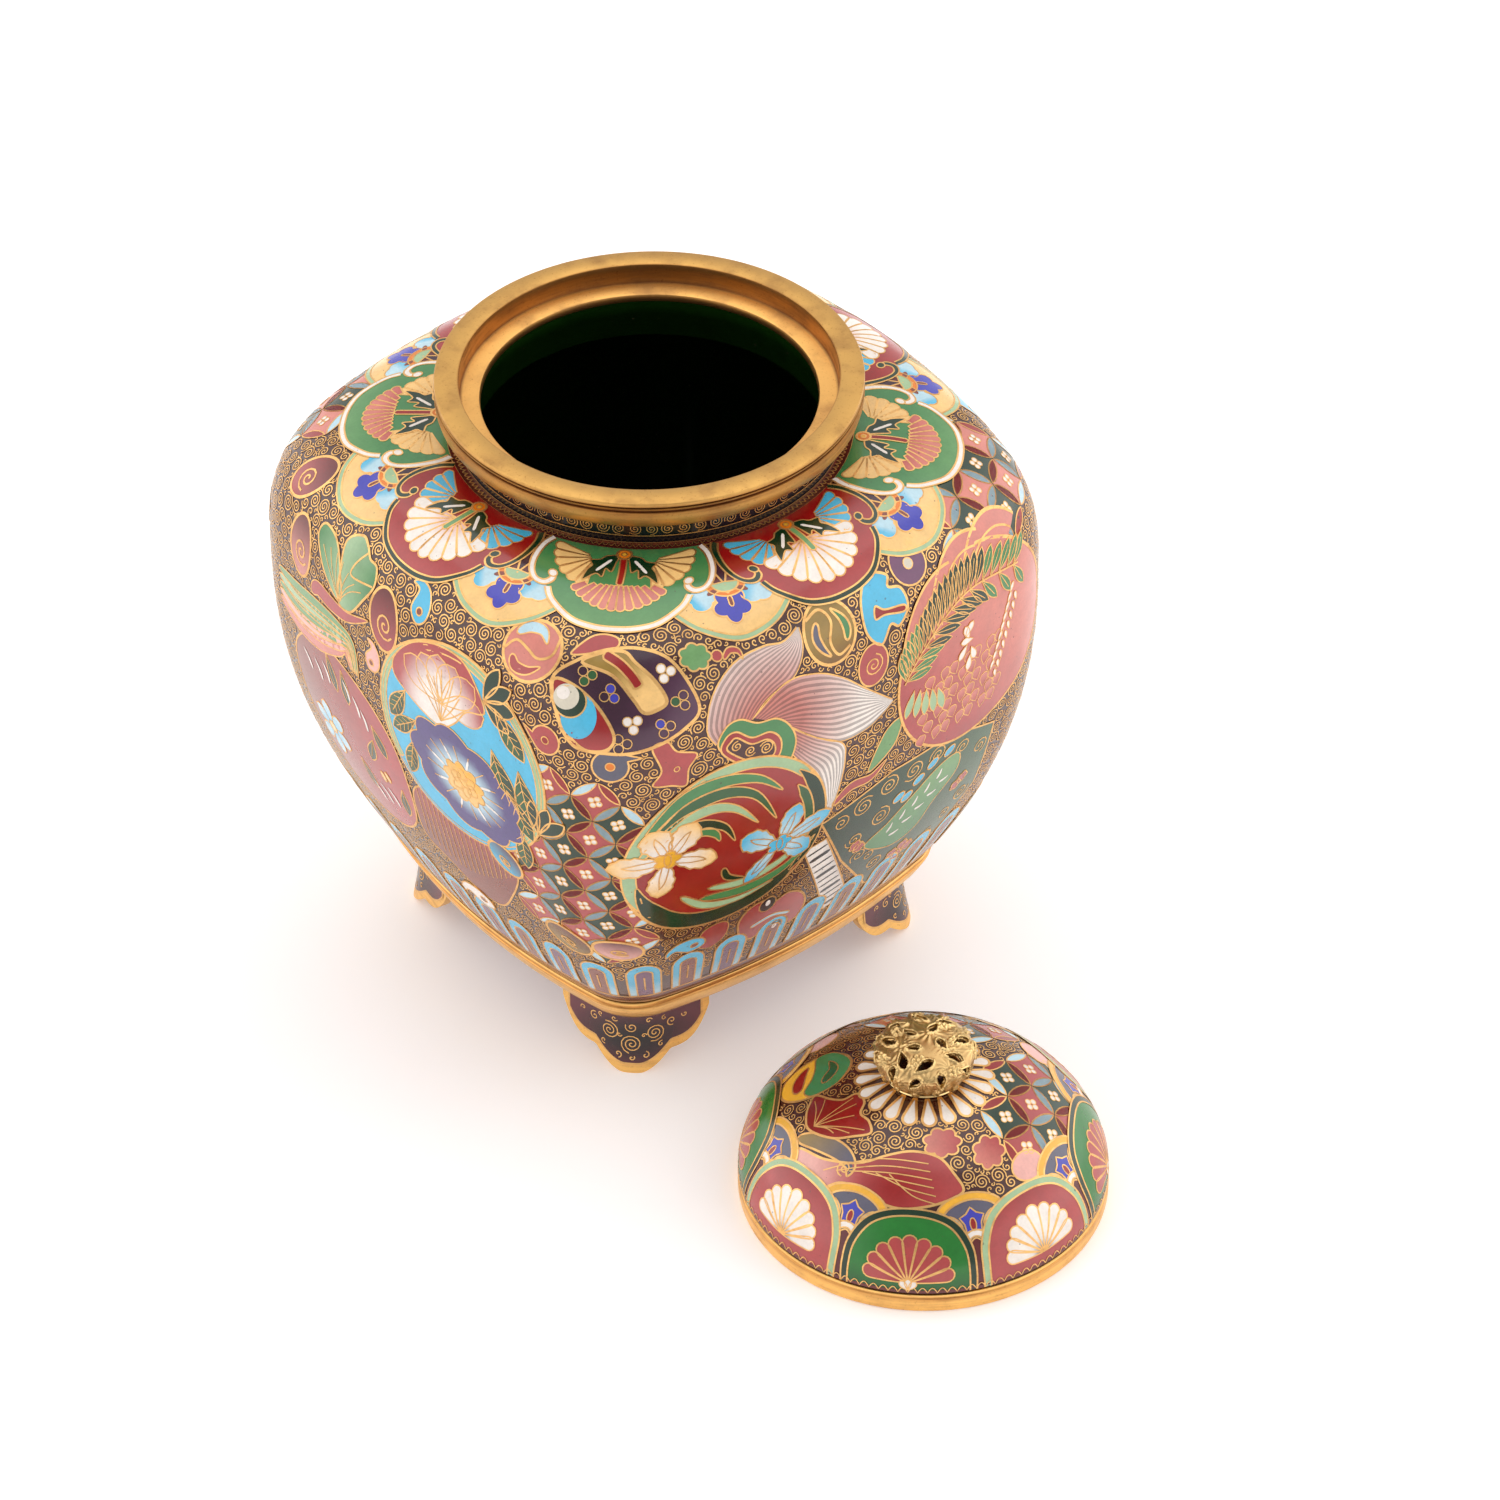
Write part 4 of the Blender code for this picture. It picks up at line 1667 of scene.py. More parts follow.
@dataclass
class BracketFoot:
    """One of the four lobed feet that wrap the corners.

    Args:
        axis: The foot of the jar's axis, in millimetres.
        turn: The direction of its corner, in degrees.
        height: Its height.
    """

    axis: Vector
    turn: float
    height: float
    top_half: float = 28.5
    flare: float = 1.1
    wall: float = 1.5
    softness: float = 0.27
    reach: float = 11.6
    toe: float = 1.1
    cusp: float = 5.6
    cusp_height: float = 2.9
    lobe_height: float = 8.0
    lobe_power: float = 3.2
    toe_power: float = 1.6
    columns: int = 72
    rows: int = 12

    def edge(self, run: float) -> float:
        """Return the height of the scalloped lower edge at a distance from the corner.

        Args:
            run: The distance round the face from the corner.

        Returns:
            The height.
        """
        away = abs(run)
        if away <= self.toe:
            return 0.0
        if away <= self.cusp:
            return self.cusp_height * ((away - self.toe) / (self.cusp - self.toe)) ** self.toe_power
        share = min(1.0, (away - self.cusp) / (self.reach - self.cusp))
        return self.cusp_height + (self.lobe_height - self.cusp_height) * share**self.lobe_power

    def spot(self, run: float, height: float) -> tuple[Points, Points]:
        """Return a point of the outer face and its outward direction.

        Args:
            run: The distance round the face from the corner.
            height: The height above the floor.

        Returns:
            The point from the foot of the axis, and the direction.
        """
        half = self.top_half + self.flare * (1 - height / self.height) ** 2
        corner, side = plan_arcs(half, self.softness)
        quarter = math.pi / 4 - SIDE_ARC
        away = abs(run)
        turn = away / corner if away <= corner * quarter else quarter + (away - corner * quarter) / side
        local = math.pi / 4 - turn
        held = min(local, SIDE_ARC)
        x = half - side + (side - corner) * math.cos(held) + corner * math.cos(local)
        y = (side - corner) * math.sin(held) + corner * math.sin(local)
        spin = math.radians(self.turn) - math.pi / 4
        if run < 0:
            angle, point = spin + local, (x, y)
        else:
            angle, point = spin + math.pi / 2 - local, (y, x)
        c, s = math.cos(spin), math.sin(spin)
        placed = np.array([point[0] * c - point[1] * s, point[0] * s + point[1] * c, height])
        return placed, np.array([math.cos(angle), math.sin(angle), 0.0])

    def lay(self, flat: Points) -> tuple[Points, Points]:
        """Return where flat points land, x round the face from the corner and y up from the floor."""
        found = [self.spot(float(x), float(y)) for x, y in flat]
        return np.array([point for point, _ in found]), np.array([out for _, out in found])

    def build(self, palette: Palette) -> bpy.types.Object:
        """Return the gilt bracket.

        Args:
            palette: The materials.

        Returns:
            The piece.
        """
        runs = np.linspace(-self.reach, self.reach, self.columns + 1)
        spots, faces = [], []
        for run in runs:
            low = self.edge(run)
            heights = low + (self.height - low) * np.linspace(0, 1, self.rows + 1)
            front = [self.spot(run, z) for z in heights]
            spots += [point for point, _ in front]
            spots += [point - out * self.wall for point, out in reversed(front)]
        ring = 2 * (self.rows + 1)
        for i in range(self.columns):
            for j in range(ring):
                k = (j + 1) % ring
                faces.append((i * ring + j, (i + 1) * ring + j, (i + 1) * ring + k, i * ring + k))
        faces.append(tuple(range(ring)))
        faces.append(tuple(self.columns * ring + j for j in reversed(range(ring))))
        name = f"foot_bracket_{int(self.turn) % 360}"
        piece = make_piece(name, (np.array(spots) + self.axis) * MM, faces, palette.bright)
        colour_in(piece, np.ones((len(spots), 3)))
        turn_out(piece)
        piece.data.set_sharp_from_angle(angle=math.radians(40))
        return piece


def turn_out(piece: bpy.types.Object) -> None:
    """Turn the faces of a closed piece outward.

    Args:
        piece: The piece.
    """
    work = bmesh.new()
    work.from_mesh(piece.data)
    bmesh.ops.recalc_face_normals(work, faces=work.faces)
    work.to_mesh(piece.data)
    work.free()


@dataclass
class Lid:
    """The domed lid: a gilt rim and an enamelled dome.

    Args:
        axis: The foot of its axis, in millimetres.
        radius: The rim's radius.
    """

    axis: Vector
    radius: float
    rim_height: float = 3.0
    rim_wall: float = 2.2
    dome_radius: float = 24.7
    dome_bottom: float = 3.3
    dome_rise: float = 16.8
    dome_wall: float = 1.5
    fullness: float = 1.85

    def dome(self, inset: float, rows: int) -> list[tuple[float, float]]:
        """Return radius and height of one face of the dome, from its edge to its top.

        Args:
            inset: How far inside the outer face it lies.
            rows: How many pairs it has.

        Returns:
            The pairs.
        """
        power = 2 / self.fullness
        turns = np.linspace(0, math.pi / 2, rows)
        radius, rise = self.dome_radius - inset, self.dome_rise - inset
        pairs = [
            (radius * max(0.0, math.cos(t)) ** power, self.dome_bottom + rise * math.sin(t) ** power)
            for t in turns
        ]
        pairs[-1] = (0.0, self.dome_bottom + rise)
        return pairs

    def surface(self) -> Surface:
        """Return the dome's outer face as a surface to draw on; distances start at its top.

        Returns:
            The surface.
        """
        pairs = self.dome(0.0, 90)[::-1]
        radius = np.repeat(np.array([max(r, 0.001) for r, _ in pairs])[:, None], 360, 1)
        return Surface(self.axis, radius, np.array([z for _, z in pairs]))

    def build(self, lathe: Lathe, palette: Palette) -> tuple[bpy.types.Object, bpy.types.Object]:
        """Turn the dome and the rim.

        Args:
            lathe: The tree that turns profiles.
            palette: The materials.

        Returns:
            The dome and the rim.
        """
        ground, green = Hue.GROUND.light, Hue.COUNTER_GREEN.light
        outside = [Station(r, z, 1.0, ground) for r, z in self.dome(0.0, 44)]
        inside = [Station(r, z, 1.0, green) for r, z in self.dome(self.dome_wall, 24)[::-1]]
        profile = [inside[-1]] + outside + inside
        dome = lathe.turn("dome_ground", profile, self.axis, palette.ground, 240, 50.0)
        r, low, top = self.radius, 0.0, self.rim_height
        gold, painted_half_shade, line = Collar.GOLD, Collar.PAINTED_HALF_SHADE, Collar.PAINTED_DEEP_SHADE
        # The rim is painted in shade on its underside, in its groove and on its top face under the dome, and
        # darkest on its inner face.
        points = [
            (r - self.rim_wall, low, painted_half_shade),
            (r - 0.35, low, painted_half_shade),
            (r - 0.08, low + 0.1, gold),
            (r, low + 0.35, gold),
            (r, top * 0.5, gold),
            (r, top - 0.75, painted_half_shade),
            (r - 0.09, top - 0.68, painted_half_shade),
            (r - 0.14, top - 0.52, painted_half_shade),
            (r, top - 0.4, gold),
            (r - 0.06, top - 0.12, gold),
            (r - 0.3, top, painted_half_shade),
            (r - self.rim_wall, top, line),
            (r - self.rim_wall, low, painted_half_shade),
        ]
        rim = lathe.turn(
            "lid_rim_gilt", [Station(*pair, 1.0, tone) for *pair, tone in points], self.axis,
            palette.bright, 240, 34.0
        )
        return dome, rim


@dataclass
class Knob:
    """The pierced gilt knob: a hollow bun of scrolling leaves and grapes over a thin flange.

    Args:
        axis: The foot of its axis, in millimetres.
        radius: Its greatest radius.
        bottom: The height of its seat on the dome.
        top: The height of its crown.
        seed: The fixed seed that scatters its leaves.
    """

    axis: Vector
    radius: float
    bottom: float
    top: float
    seat: float = 5.0
    crown: float = 2.4
    wall: float = 0.55
    grain: float = 0.2
    seed: int = 5

    def profile(self) -> tuple[Points, Points, Points]:
        """Return arc distances from the crown, radii and heights down the bun.

        Returns:
            The distances, radii and heights.
        """
        waist = self.top - self.crown
        over = [
            (self.radius * math.sin(t), waist + self.crown * math.cos(t))
            for t in np.linspace(0, math.pi / 2, 30)
        ]
        under = [
            (
                self.seat + (self.radius - self.seat) * math.sin(t),
                waist - (waist - self.bottom - 0.35) * math.cos(t),
            )
            for t in np.linspace(math.pi / 2, 0.1, 20)[1:]
        ]
        pairs = np.array(over + under)
        run = np.concatenate([[0], np.cumsum(np.hypot(*np.diff(pairs, axis=0).T))])
        return run, pairs[:, 0], pairs[:, 1]

    def holes(self) -> list[Points]:
        """Return the outlines of the openings, on the flattened bun.

        Returns:
            The outlines.
        """
        dice = np.random.default_rng(self.seed)
        rows = ((2.4, 4, 0.74), (4.9, 8, 0.92), (7.6, 11, 0.86), (10.7, 14, 0.56))
        found = []
        for reach, count, size in rows:
            for k in range(count):
                turn = 360 * (k + 0.3 * dice.random()) / count + 37 * reach
                away = reach + 0.35 * (dice.random() - 0.5)
                drop = petal(2.6 * size + 0.5 * dice.random(), 1.35 * size, 0.8, 9) - (0, 1.3 * size)
                spin = turn + dice.choice((35.0, 80.0, -60.0)) + 20 * dice.random()
                middle = turned(np.array([[away, 0.0]]), turn)[0]
                found.append(turned(drop, spin) + middle)
        return found

    def relief(self, flat: Points, holes: list[Points]) -> Points:
        """Return how high the carving stands at points of the flattened bun, from 0 to 1.

        Args:
            flat: Points of the flattened bun.
            holes: The outlines of the openings.

        Returns:
            One height a point.
        """
        dice = np.random.default_rng(self.seed + 1)
        height = np.full(len(flat), 0.25)
        strength = np.zeros(len(flat))
        for k in range(26):
            turn = math.radians(137.5 * k + 20)
            reach = 1.4 + 8.6 * math.sqrt(k / 25)
            centre = np.array([reach * math.cos(turn), reach * math.sin(turn)])
            away = flat - centre
            dist = np.hypot(away[:, 0], away[:, 1])
            angle = np.arctan2(away[:, 1], away[:, 0]) + dist * (0.5 - dice.random()) * 0.7
            veins = 0.5 + 0.5 * np.cos(angle * (11 + 2 * (k % 3)) + dice.random() * 6)
            weight = np.exp(-((dist / 1.25) ** 2))
            height += weight * (veins * 0.8 + 0.1)
            strength += weight
        height = height / (1 + strength * 0.7)
        for k in range(7):
            turn = math.radians(51.4 * k + 11)
            reach = 4.0 + 2.6 * (k % 2)
            for x, y in (
                (0, 0), (0.62, 0.1), (-0.5, 0.42), (0.18, 0.62), (-0.2, -0.58), (0.5, -0.5), (-0.68, -0.2)
            ):
                bead = np.array([reach * math.cos(turn) + x, reach * math.sin(turn) + y])
                dist = np.hypot(*(flat - bead).T)
                height = np.maximum(height, 1.15 * np.sqrt(np.maximum(0, 1 - (dist / 0.34) ** 2)))
                height = np.where((dist > 0.34) & (dist < 0.46), height * 0.55, height)
        for outline in holes:
            rim = along(outline, 0.25, True)
            near = np.full(len(flat), 9.0)
            close = np.hypot(*(flat - outline.mean(0)).T) < 3.0
            near[close] = np.min(np.linalg.norm(flat[close][:, None] - rim[None], axis=2), 1)
            height = np.maximum(height, np.exp(-(((near - 0.16) / 0.16) ** 2)))
        return np.clip(height, 0, 1.2)

    def build(self, palette: Palette) -> bpy.types.Object:
        """Pierce and carve the bun, and thicken it inward.

        Args:
            palette: The materials.

        Returns:
            The piece.
        """
        run, radii, heights = self.profile()
        limit = run[-1]
        holes = self.holes()
        edge = circle(limit, 260)
        loops = [along(outline, 0.2, True) for outline in holes]
        step = self.grain
        xs = np.arange(-limit, limit, step)
        rows = np.arange(-limit, limit, step * 0.87)
        grid = np.array([(x + step / 2 * (j % 2), y) for j, y in enumerate(rows) for x in xs])
        grid = grid[np.hypot(grid[:, 0], grid[:, 1]) < limit - 0.5 * step]
        borders = np.concatenate(loops)
        tree = BVHTree.FromPolygons([(x, y, 0) for x, y in borders], [(i, i, i) for i in range(len(borders))])
        keep = [tree.find_nearest((x, y, 0.0))[3] > 0.5 * step for x, y in grid]
        points = np.concatenate([edge, borders, grid[np.array(keep)]])
        chains = [[(i, (i + 1) % len(edge)) for i in range(len(edge))]]
        start = len(edge)
        for loop in loops:
            chains.append([(start + i, start + (i + 1) % len(loop)) for i in range(len(loop))])
            start += len(loop)
        flat, _, faces, *_ = delaunay_2d_cdt(
            [Vector(p) for p in points], [e for chain in chains for e in chain], [], 0, 1e-5
        )
        flat = np.array([tuple(p) for p in flat])
        faces = np.array([f for f in faces if len(f) == 3])
        middles = flat[faces].mean(1)
        solid = np.ones(len(faces), bool)
        for outline in loops:
            solid &= ~inside(middles, outline)
        faces = faces[solid]
        used = np.unique(faces)
        renumber = np.full(len(flat), -1)
        renumber[used] = np.arange(len(used))
        flat, faces = flat[used], renumber[faces]
        reach = np.hypot(flat[:, 0], flat[:, 1])
        turn = np.arctan2(flat[:, 1], flat[:, 0])
        carved = self.relief(flat, holes)
        fade = np.clip((limit - reach) / 1.0, 0, 1)
        radius = np.interp(reach, run, radii)
        height = np.interp(reach, run, heights)
        slope_r = np.interp(reach, run, np.gradient(radii, run))
        slope_h = np.interp(reach, run, np.gradient(heights, run))
        long = np.hypot(slope_r, slope_h)
        rise = (carved - 0.75) * 0.6 * fade
        radius = radius - slope_h / long * rise
        height = height + slope_r / long * rise
        spots = np.stack([radius * np.cos(turn), radius * np.sin(turn), height], 1)
        piece = make_piece("knob_openwork", (spots + self.axis) * MM, faces, palette.knob)
        # The low parts of the carving are painted dark brown: painted shade in the hollows of the openwork.
        tone = np.clip(carved * 1.3 + 0.12, 0.22, 1.0)[:, None]
        colour_in(piece, tone * np.array([1.0, 1.0, 1.0]) + (1 - tone) * np.array([0.2, 0.1, 0.06]))
        modifier = piece.modifiers.new("wall", "SOLIDIFY")
        modifier.thickness = self.wall * MM
        modifier.offset = -1.0
        make_plain(piece)
        return piece

    def flange(self, lathe: Lathe, palette: Palette) -> bpy.types.Object:
        """Turn the thin ring that the bun sits on.

        Args:
            lathe: The tree that turns profiles.
            palette: The materials.

        Returns:
            The piece.
        """
        low, r = self.bottom - 0.1, self.seat
        gold, painted_half_shade, line = Collar.GOLD, Collar.PAINTED_HALF_SHADE, Collar.PAINTED_DEEP_SHADE
        # The flange is painted in shade underneath and where it runs in under the bun.
        points = [
            (r - 1.6, low, line),
            (r + 0.1, low, painted_half_shade),
            (r + 0.22, low + 0.16, gold),
            (r + 0.1, low + 0.34, gold),
            (r - 0.2, low + 0.42, painted_half_shade),
            (r - 1.6, low + 0.42, line),
            (r - 1.6, low, line),
        ]
        profile = [Station(half, z, 1.0, colour) for half, z, colour in points]
        return lathe.turn("knob_flange", profile, self.axis, palette.knob, 96, 40.0)


# Ornament

MAIN = 0.42
BOLD = 0.34
EVEN = 0.24
FINE = 0.2
THIN = 0.16


def band_outline(path: Points, widths: Points) -> Points:
    """Return the outline of a stroke whose width changes along it.

    Args:
        path: The stroke's middle line.
        widths: Its width at each point.

    Returns:
        The closed outline.
    """
    run = np.gradient(path, axis=0)
    run /= np.maximum(np.linalg.norm(run, axis=1, keepdims=True), 1e-9)
    side = np.stack([-run[:, 1], run[:, 0]], 1) * np.asarray(widths)[:, None] / 2
    return np.concatenate([path - side, (path + side)[::-1]])


def stroke(points: Path, width: float, steps: int = 6) -> Points:
    """Return the outline of an even stroke with rounded ends through a few points.

    Args:
        points: Points on its middle line.
        width: Its greatest width.
        steps: How many pieces the line has between two points.

    Returns:
        The closed outline.
    """
    path = smooth(points, False, steps)
    share = np.linspace(0, 1, len(path))
    return band_outline(path, width * np.clip(9 * np.minimum(share, 1 - share) + 0.45, 0, 1))


def blade(points: Path, width: float, steps: int = 6) -> Points:
    """Return the outline of a stroke that swells and runs out to a point.

    Args:
        points: Points on its middle line.
        width: Its greatest width.
        steps: How many pieces the line has between two points.

    Returns:
        The closed outline.
    """
    path = smooth(points, False, steps)
    share = np.linspace(0, 1, len(path))
    return band_outline(path, width * np.sin(math.pi * share**0.7) ** 0.8 + 0.04)


def mirrored(points: Path) -> list[tuple[float, float]]:
    """Return points followed by their mirror images in the upright, back to front."""
    back = [(-x, y) for x, y in reversed(points) if abs(x) > 1e-6]
    return list(points) + back


def border_band(brush: Brush, points: Path, hue: Hue, width: float = 0.78) -> None:
    """Draw a band of enamel between two wires.

    Args:
        brush: The brush.
        points: Points on its middle line.
        hue: Its enamel.
        width: Its greatest width.
    """
    path = smooth(points, False, 5)
    outline = band_outline(path, np.full(len(path), width))
    brush.fill(outline, hue)
    brush.line(outline[: len(path)], EVEN)
    brush.line(outline[len(path) :], EVEN)


def fan(brush: Brush, reach: float, base: float, spread: float, count: int, paint: Paint) -> None:
    """Draw a downward fan of petals round the brush's middle.

    Args:
        brush: The brush.
        reach: How far the petals reach.
        base: How far below the middle the fan's straight upper edge lies.
        spread: Half the angle that it takes, in degrees.
        count: How many petals it has.
        paint: Their enamel or shade.
    """
    edges = np.linspace(-spread, spread, count + 1)
    for first, second in zip(edges, edges[1:]):
        middle = (first + second) / 2
        near = min(base / max(0.2, math.cos(math.radians(middle))), reach - 1.1)
        half = math.radians((second - first) / 2)
        wide, narrow = reach * half * 0.97, near * half * 0.9
        cap = [
            (wide * math.cos(t), -(reach - wide) - wide * 0.95 * math.sin(t))
            for t in np.linspace(0, math.pi, 7)
        ]
        outline = np.array([(-narrow, -near), *reversed(cap), (narrow, -near)])
        brush.cell(turned(outline[::-1], middle), paint, FINE)


def dots(brush: Brush, hue: Hue, radius: float = 0.62, filled: int = 3, count: int = 3) -> None:
    """Draw a cluster of touching round dots.

    Args:
        brush: The brush at their middle.
        hue: Their enamel.
        radius: The radius of a dot.
        filled: How many are enamelled; the others are only rings.
        count: How many there are.
    """
    reach = 1.04 * radius / math.sin(math.pi / count)
    for k in range(count):
        turn = 2 * math.pi * k / count + 0.4
        place = brush.at(reach * math.cos(turn), reach * math.sin(turn))
        if k < filled:
            place.fill(circle(radius * 0.94, 12), hue)
        place.raised().line(circle(radius, 12), 0.13, True)


def curl_disc(brush: Brush, radius: float, hue: Hue, tail: float = 150.0, ring: Hue = Hue.ORANGE) -> None:
    """Draw a disc whose edge runs out in a short tail, with a ring in its middle.

    Args:
        brush: The brush.
        radius: Its radius.
        hue: Its enamel.
        tail: The direction of its tail, in degrees.
        ring: The enamel of the ring in it.
    """
    round_part = arc(radius, tail - 300, tail, 22)
    tip = turned(np.array([[radius * 1.75, radius * 0.5]]), tail - 20)
    brush.cell(np.concatenate([round_part, tip]), hue)
    brush.raised().cell(circle(radius * 0.26, 12), ring, THIN)


def snail(brush: Brush, wide: float, high: float, hue: Hue) -> None:
    """Draw an oval cell with a spiral wire in it.

    Args:
        brush: The brush.
        wide: Half its width.
        high: Half its height.
        hue: The enamel at its foot.
    """
    brush.cell(ellipse(wide, high), Fade(hue, Hue.MAROON, (0, 1), high, 2 * high), MAIN)
    coil = spiral(min(wide, high) * 0.62, 1.9) * (1.0, high / wide * 0.75)
    brush.raised().line(coil + (0.1 * wide, -0.15 * high), 0.3)


def drop_comma(brush: Brush, hue: Hue, size: float = 1.0, ring: Hue = Hue.BROWN) -> None:
    """Draw a fat comma with a ring in its head.

    Args:
        brush: The brush.
        hue: Its enamel.
        size: How large it is drawn.
        ring: The enamel of the ring in it.
    """
    outline = smooth(
        [
            (0, -2.6), (1.5, -1.7), (1.7, 0.3), (0.6, 2.2), (-1.3, 2.9), (-2.6, 2.2), (-1.2, 1.6),
            (-1.5, -1.0)
        ]
    )
    brush.cell(outline * size, hue)
    brush.at(0.1, -0.9, up=1).cell(circle(0.55 * size, 12), ring, FINE)


@dataclass
class Shippo:
    """Part of a diaper of linked rings: lens petals, pink and dark cells, white flowers.

    Args:
        pitch: The distance between the rings' middles.
        tilt: How far the diaper is turned, in degrees.
        pale: Whether its warm cells are pink and not rose.
    """

    pitch: float = 5.6
    tilt: float = 30.0
    pale: bool = False

    def draw(self, brush: Brush, outline: Points) -> None:
        """Draw every cell whose middle lies in the outline.

        Args:
            brush: The brush.
            outline: The patch that it fills.
        """
        reach = float(np.abs(outline).max()) + self.pitch
        count = int(reach / self.pitch) + 1
        half = self.pitch / 2
        bow = 0.36 * self.pitch
        rim = arc(
            math.hypot(half, bow), -90 - math.degrees(math.atan2(half, bow)),
            -90 + math.degrees(math.atan2(half, bow)), 7
        )
        side = rim + (0, bow)
        lens_half = np.concatenate([side, -side])
        spots = [(i, j) for i in range(-count, count + 1) for j in range(-count, count + 1)]
        for i, j in spots:
            middle = turned(np.array([[i * self.pitch, j * self.pitch]]), self.tilt)
            if not inside(middle, outline)[0]:
                continue
            pink = (i + j) % 2 == 0
            place = brush.at(*middle[0], self.tilt)
            hue = Hue.PINK if pink and self.pale else Hue.ROSE if pink else Hue.DARK_GREEN
            corners = half * np.array([(-1, -1), (1, -1), (1, 1), (-1, 1)]) * 0.985
            place.fill(corners, hue)
            dots(place.raised(), Hue.WHITE, 0.4, 4, 4)
            for quarter in range(4):
                edge = place.at(0, 0, 90 * quarter)
                petal_hue = (Hue.PALE_BLUE, Hue.RED)[(quarter + (i + j) % 2) % 2]
                small = lens_half * (0.93, 0.5) + (0, -half)
                edge.at(0, 0, up=1).cell(small, petal_hue, FINE)


@dataclass
class LappetRing:
    """A ring of sixteen lappets, of which a quarter is drawn.

    Args:
        surface: The enamelled surface.
        cells: Where the quarter's cells are gathered.
    """

    surface: Surface
    cells: Cells

    def large(self, around: float, green: bool) -> None:
        """Draw one large lappet: green on the corners, red on the sides."""
        raise NotImplementedError

    def small(self, around: float) -> None:
        """Draw one small lappet between two large ones."""
        raise NotImplementedError

    def draw(self) -> None:
        """Draw a quarter of the ring: the small lappets, then the large ones over them."""
        for side in (-22.5, 22.5):
            self.small(FRONT_CORNER + side)
        self.large(FRONT_CORNER + 45.0, False)
        self.large(FRONT_CORNER, True)


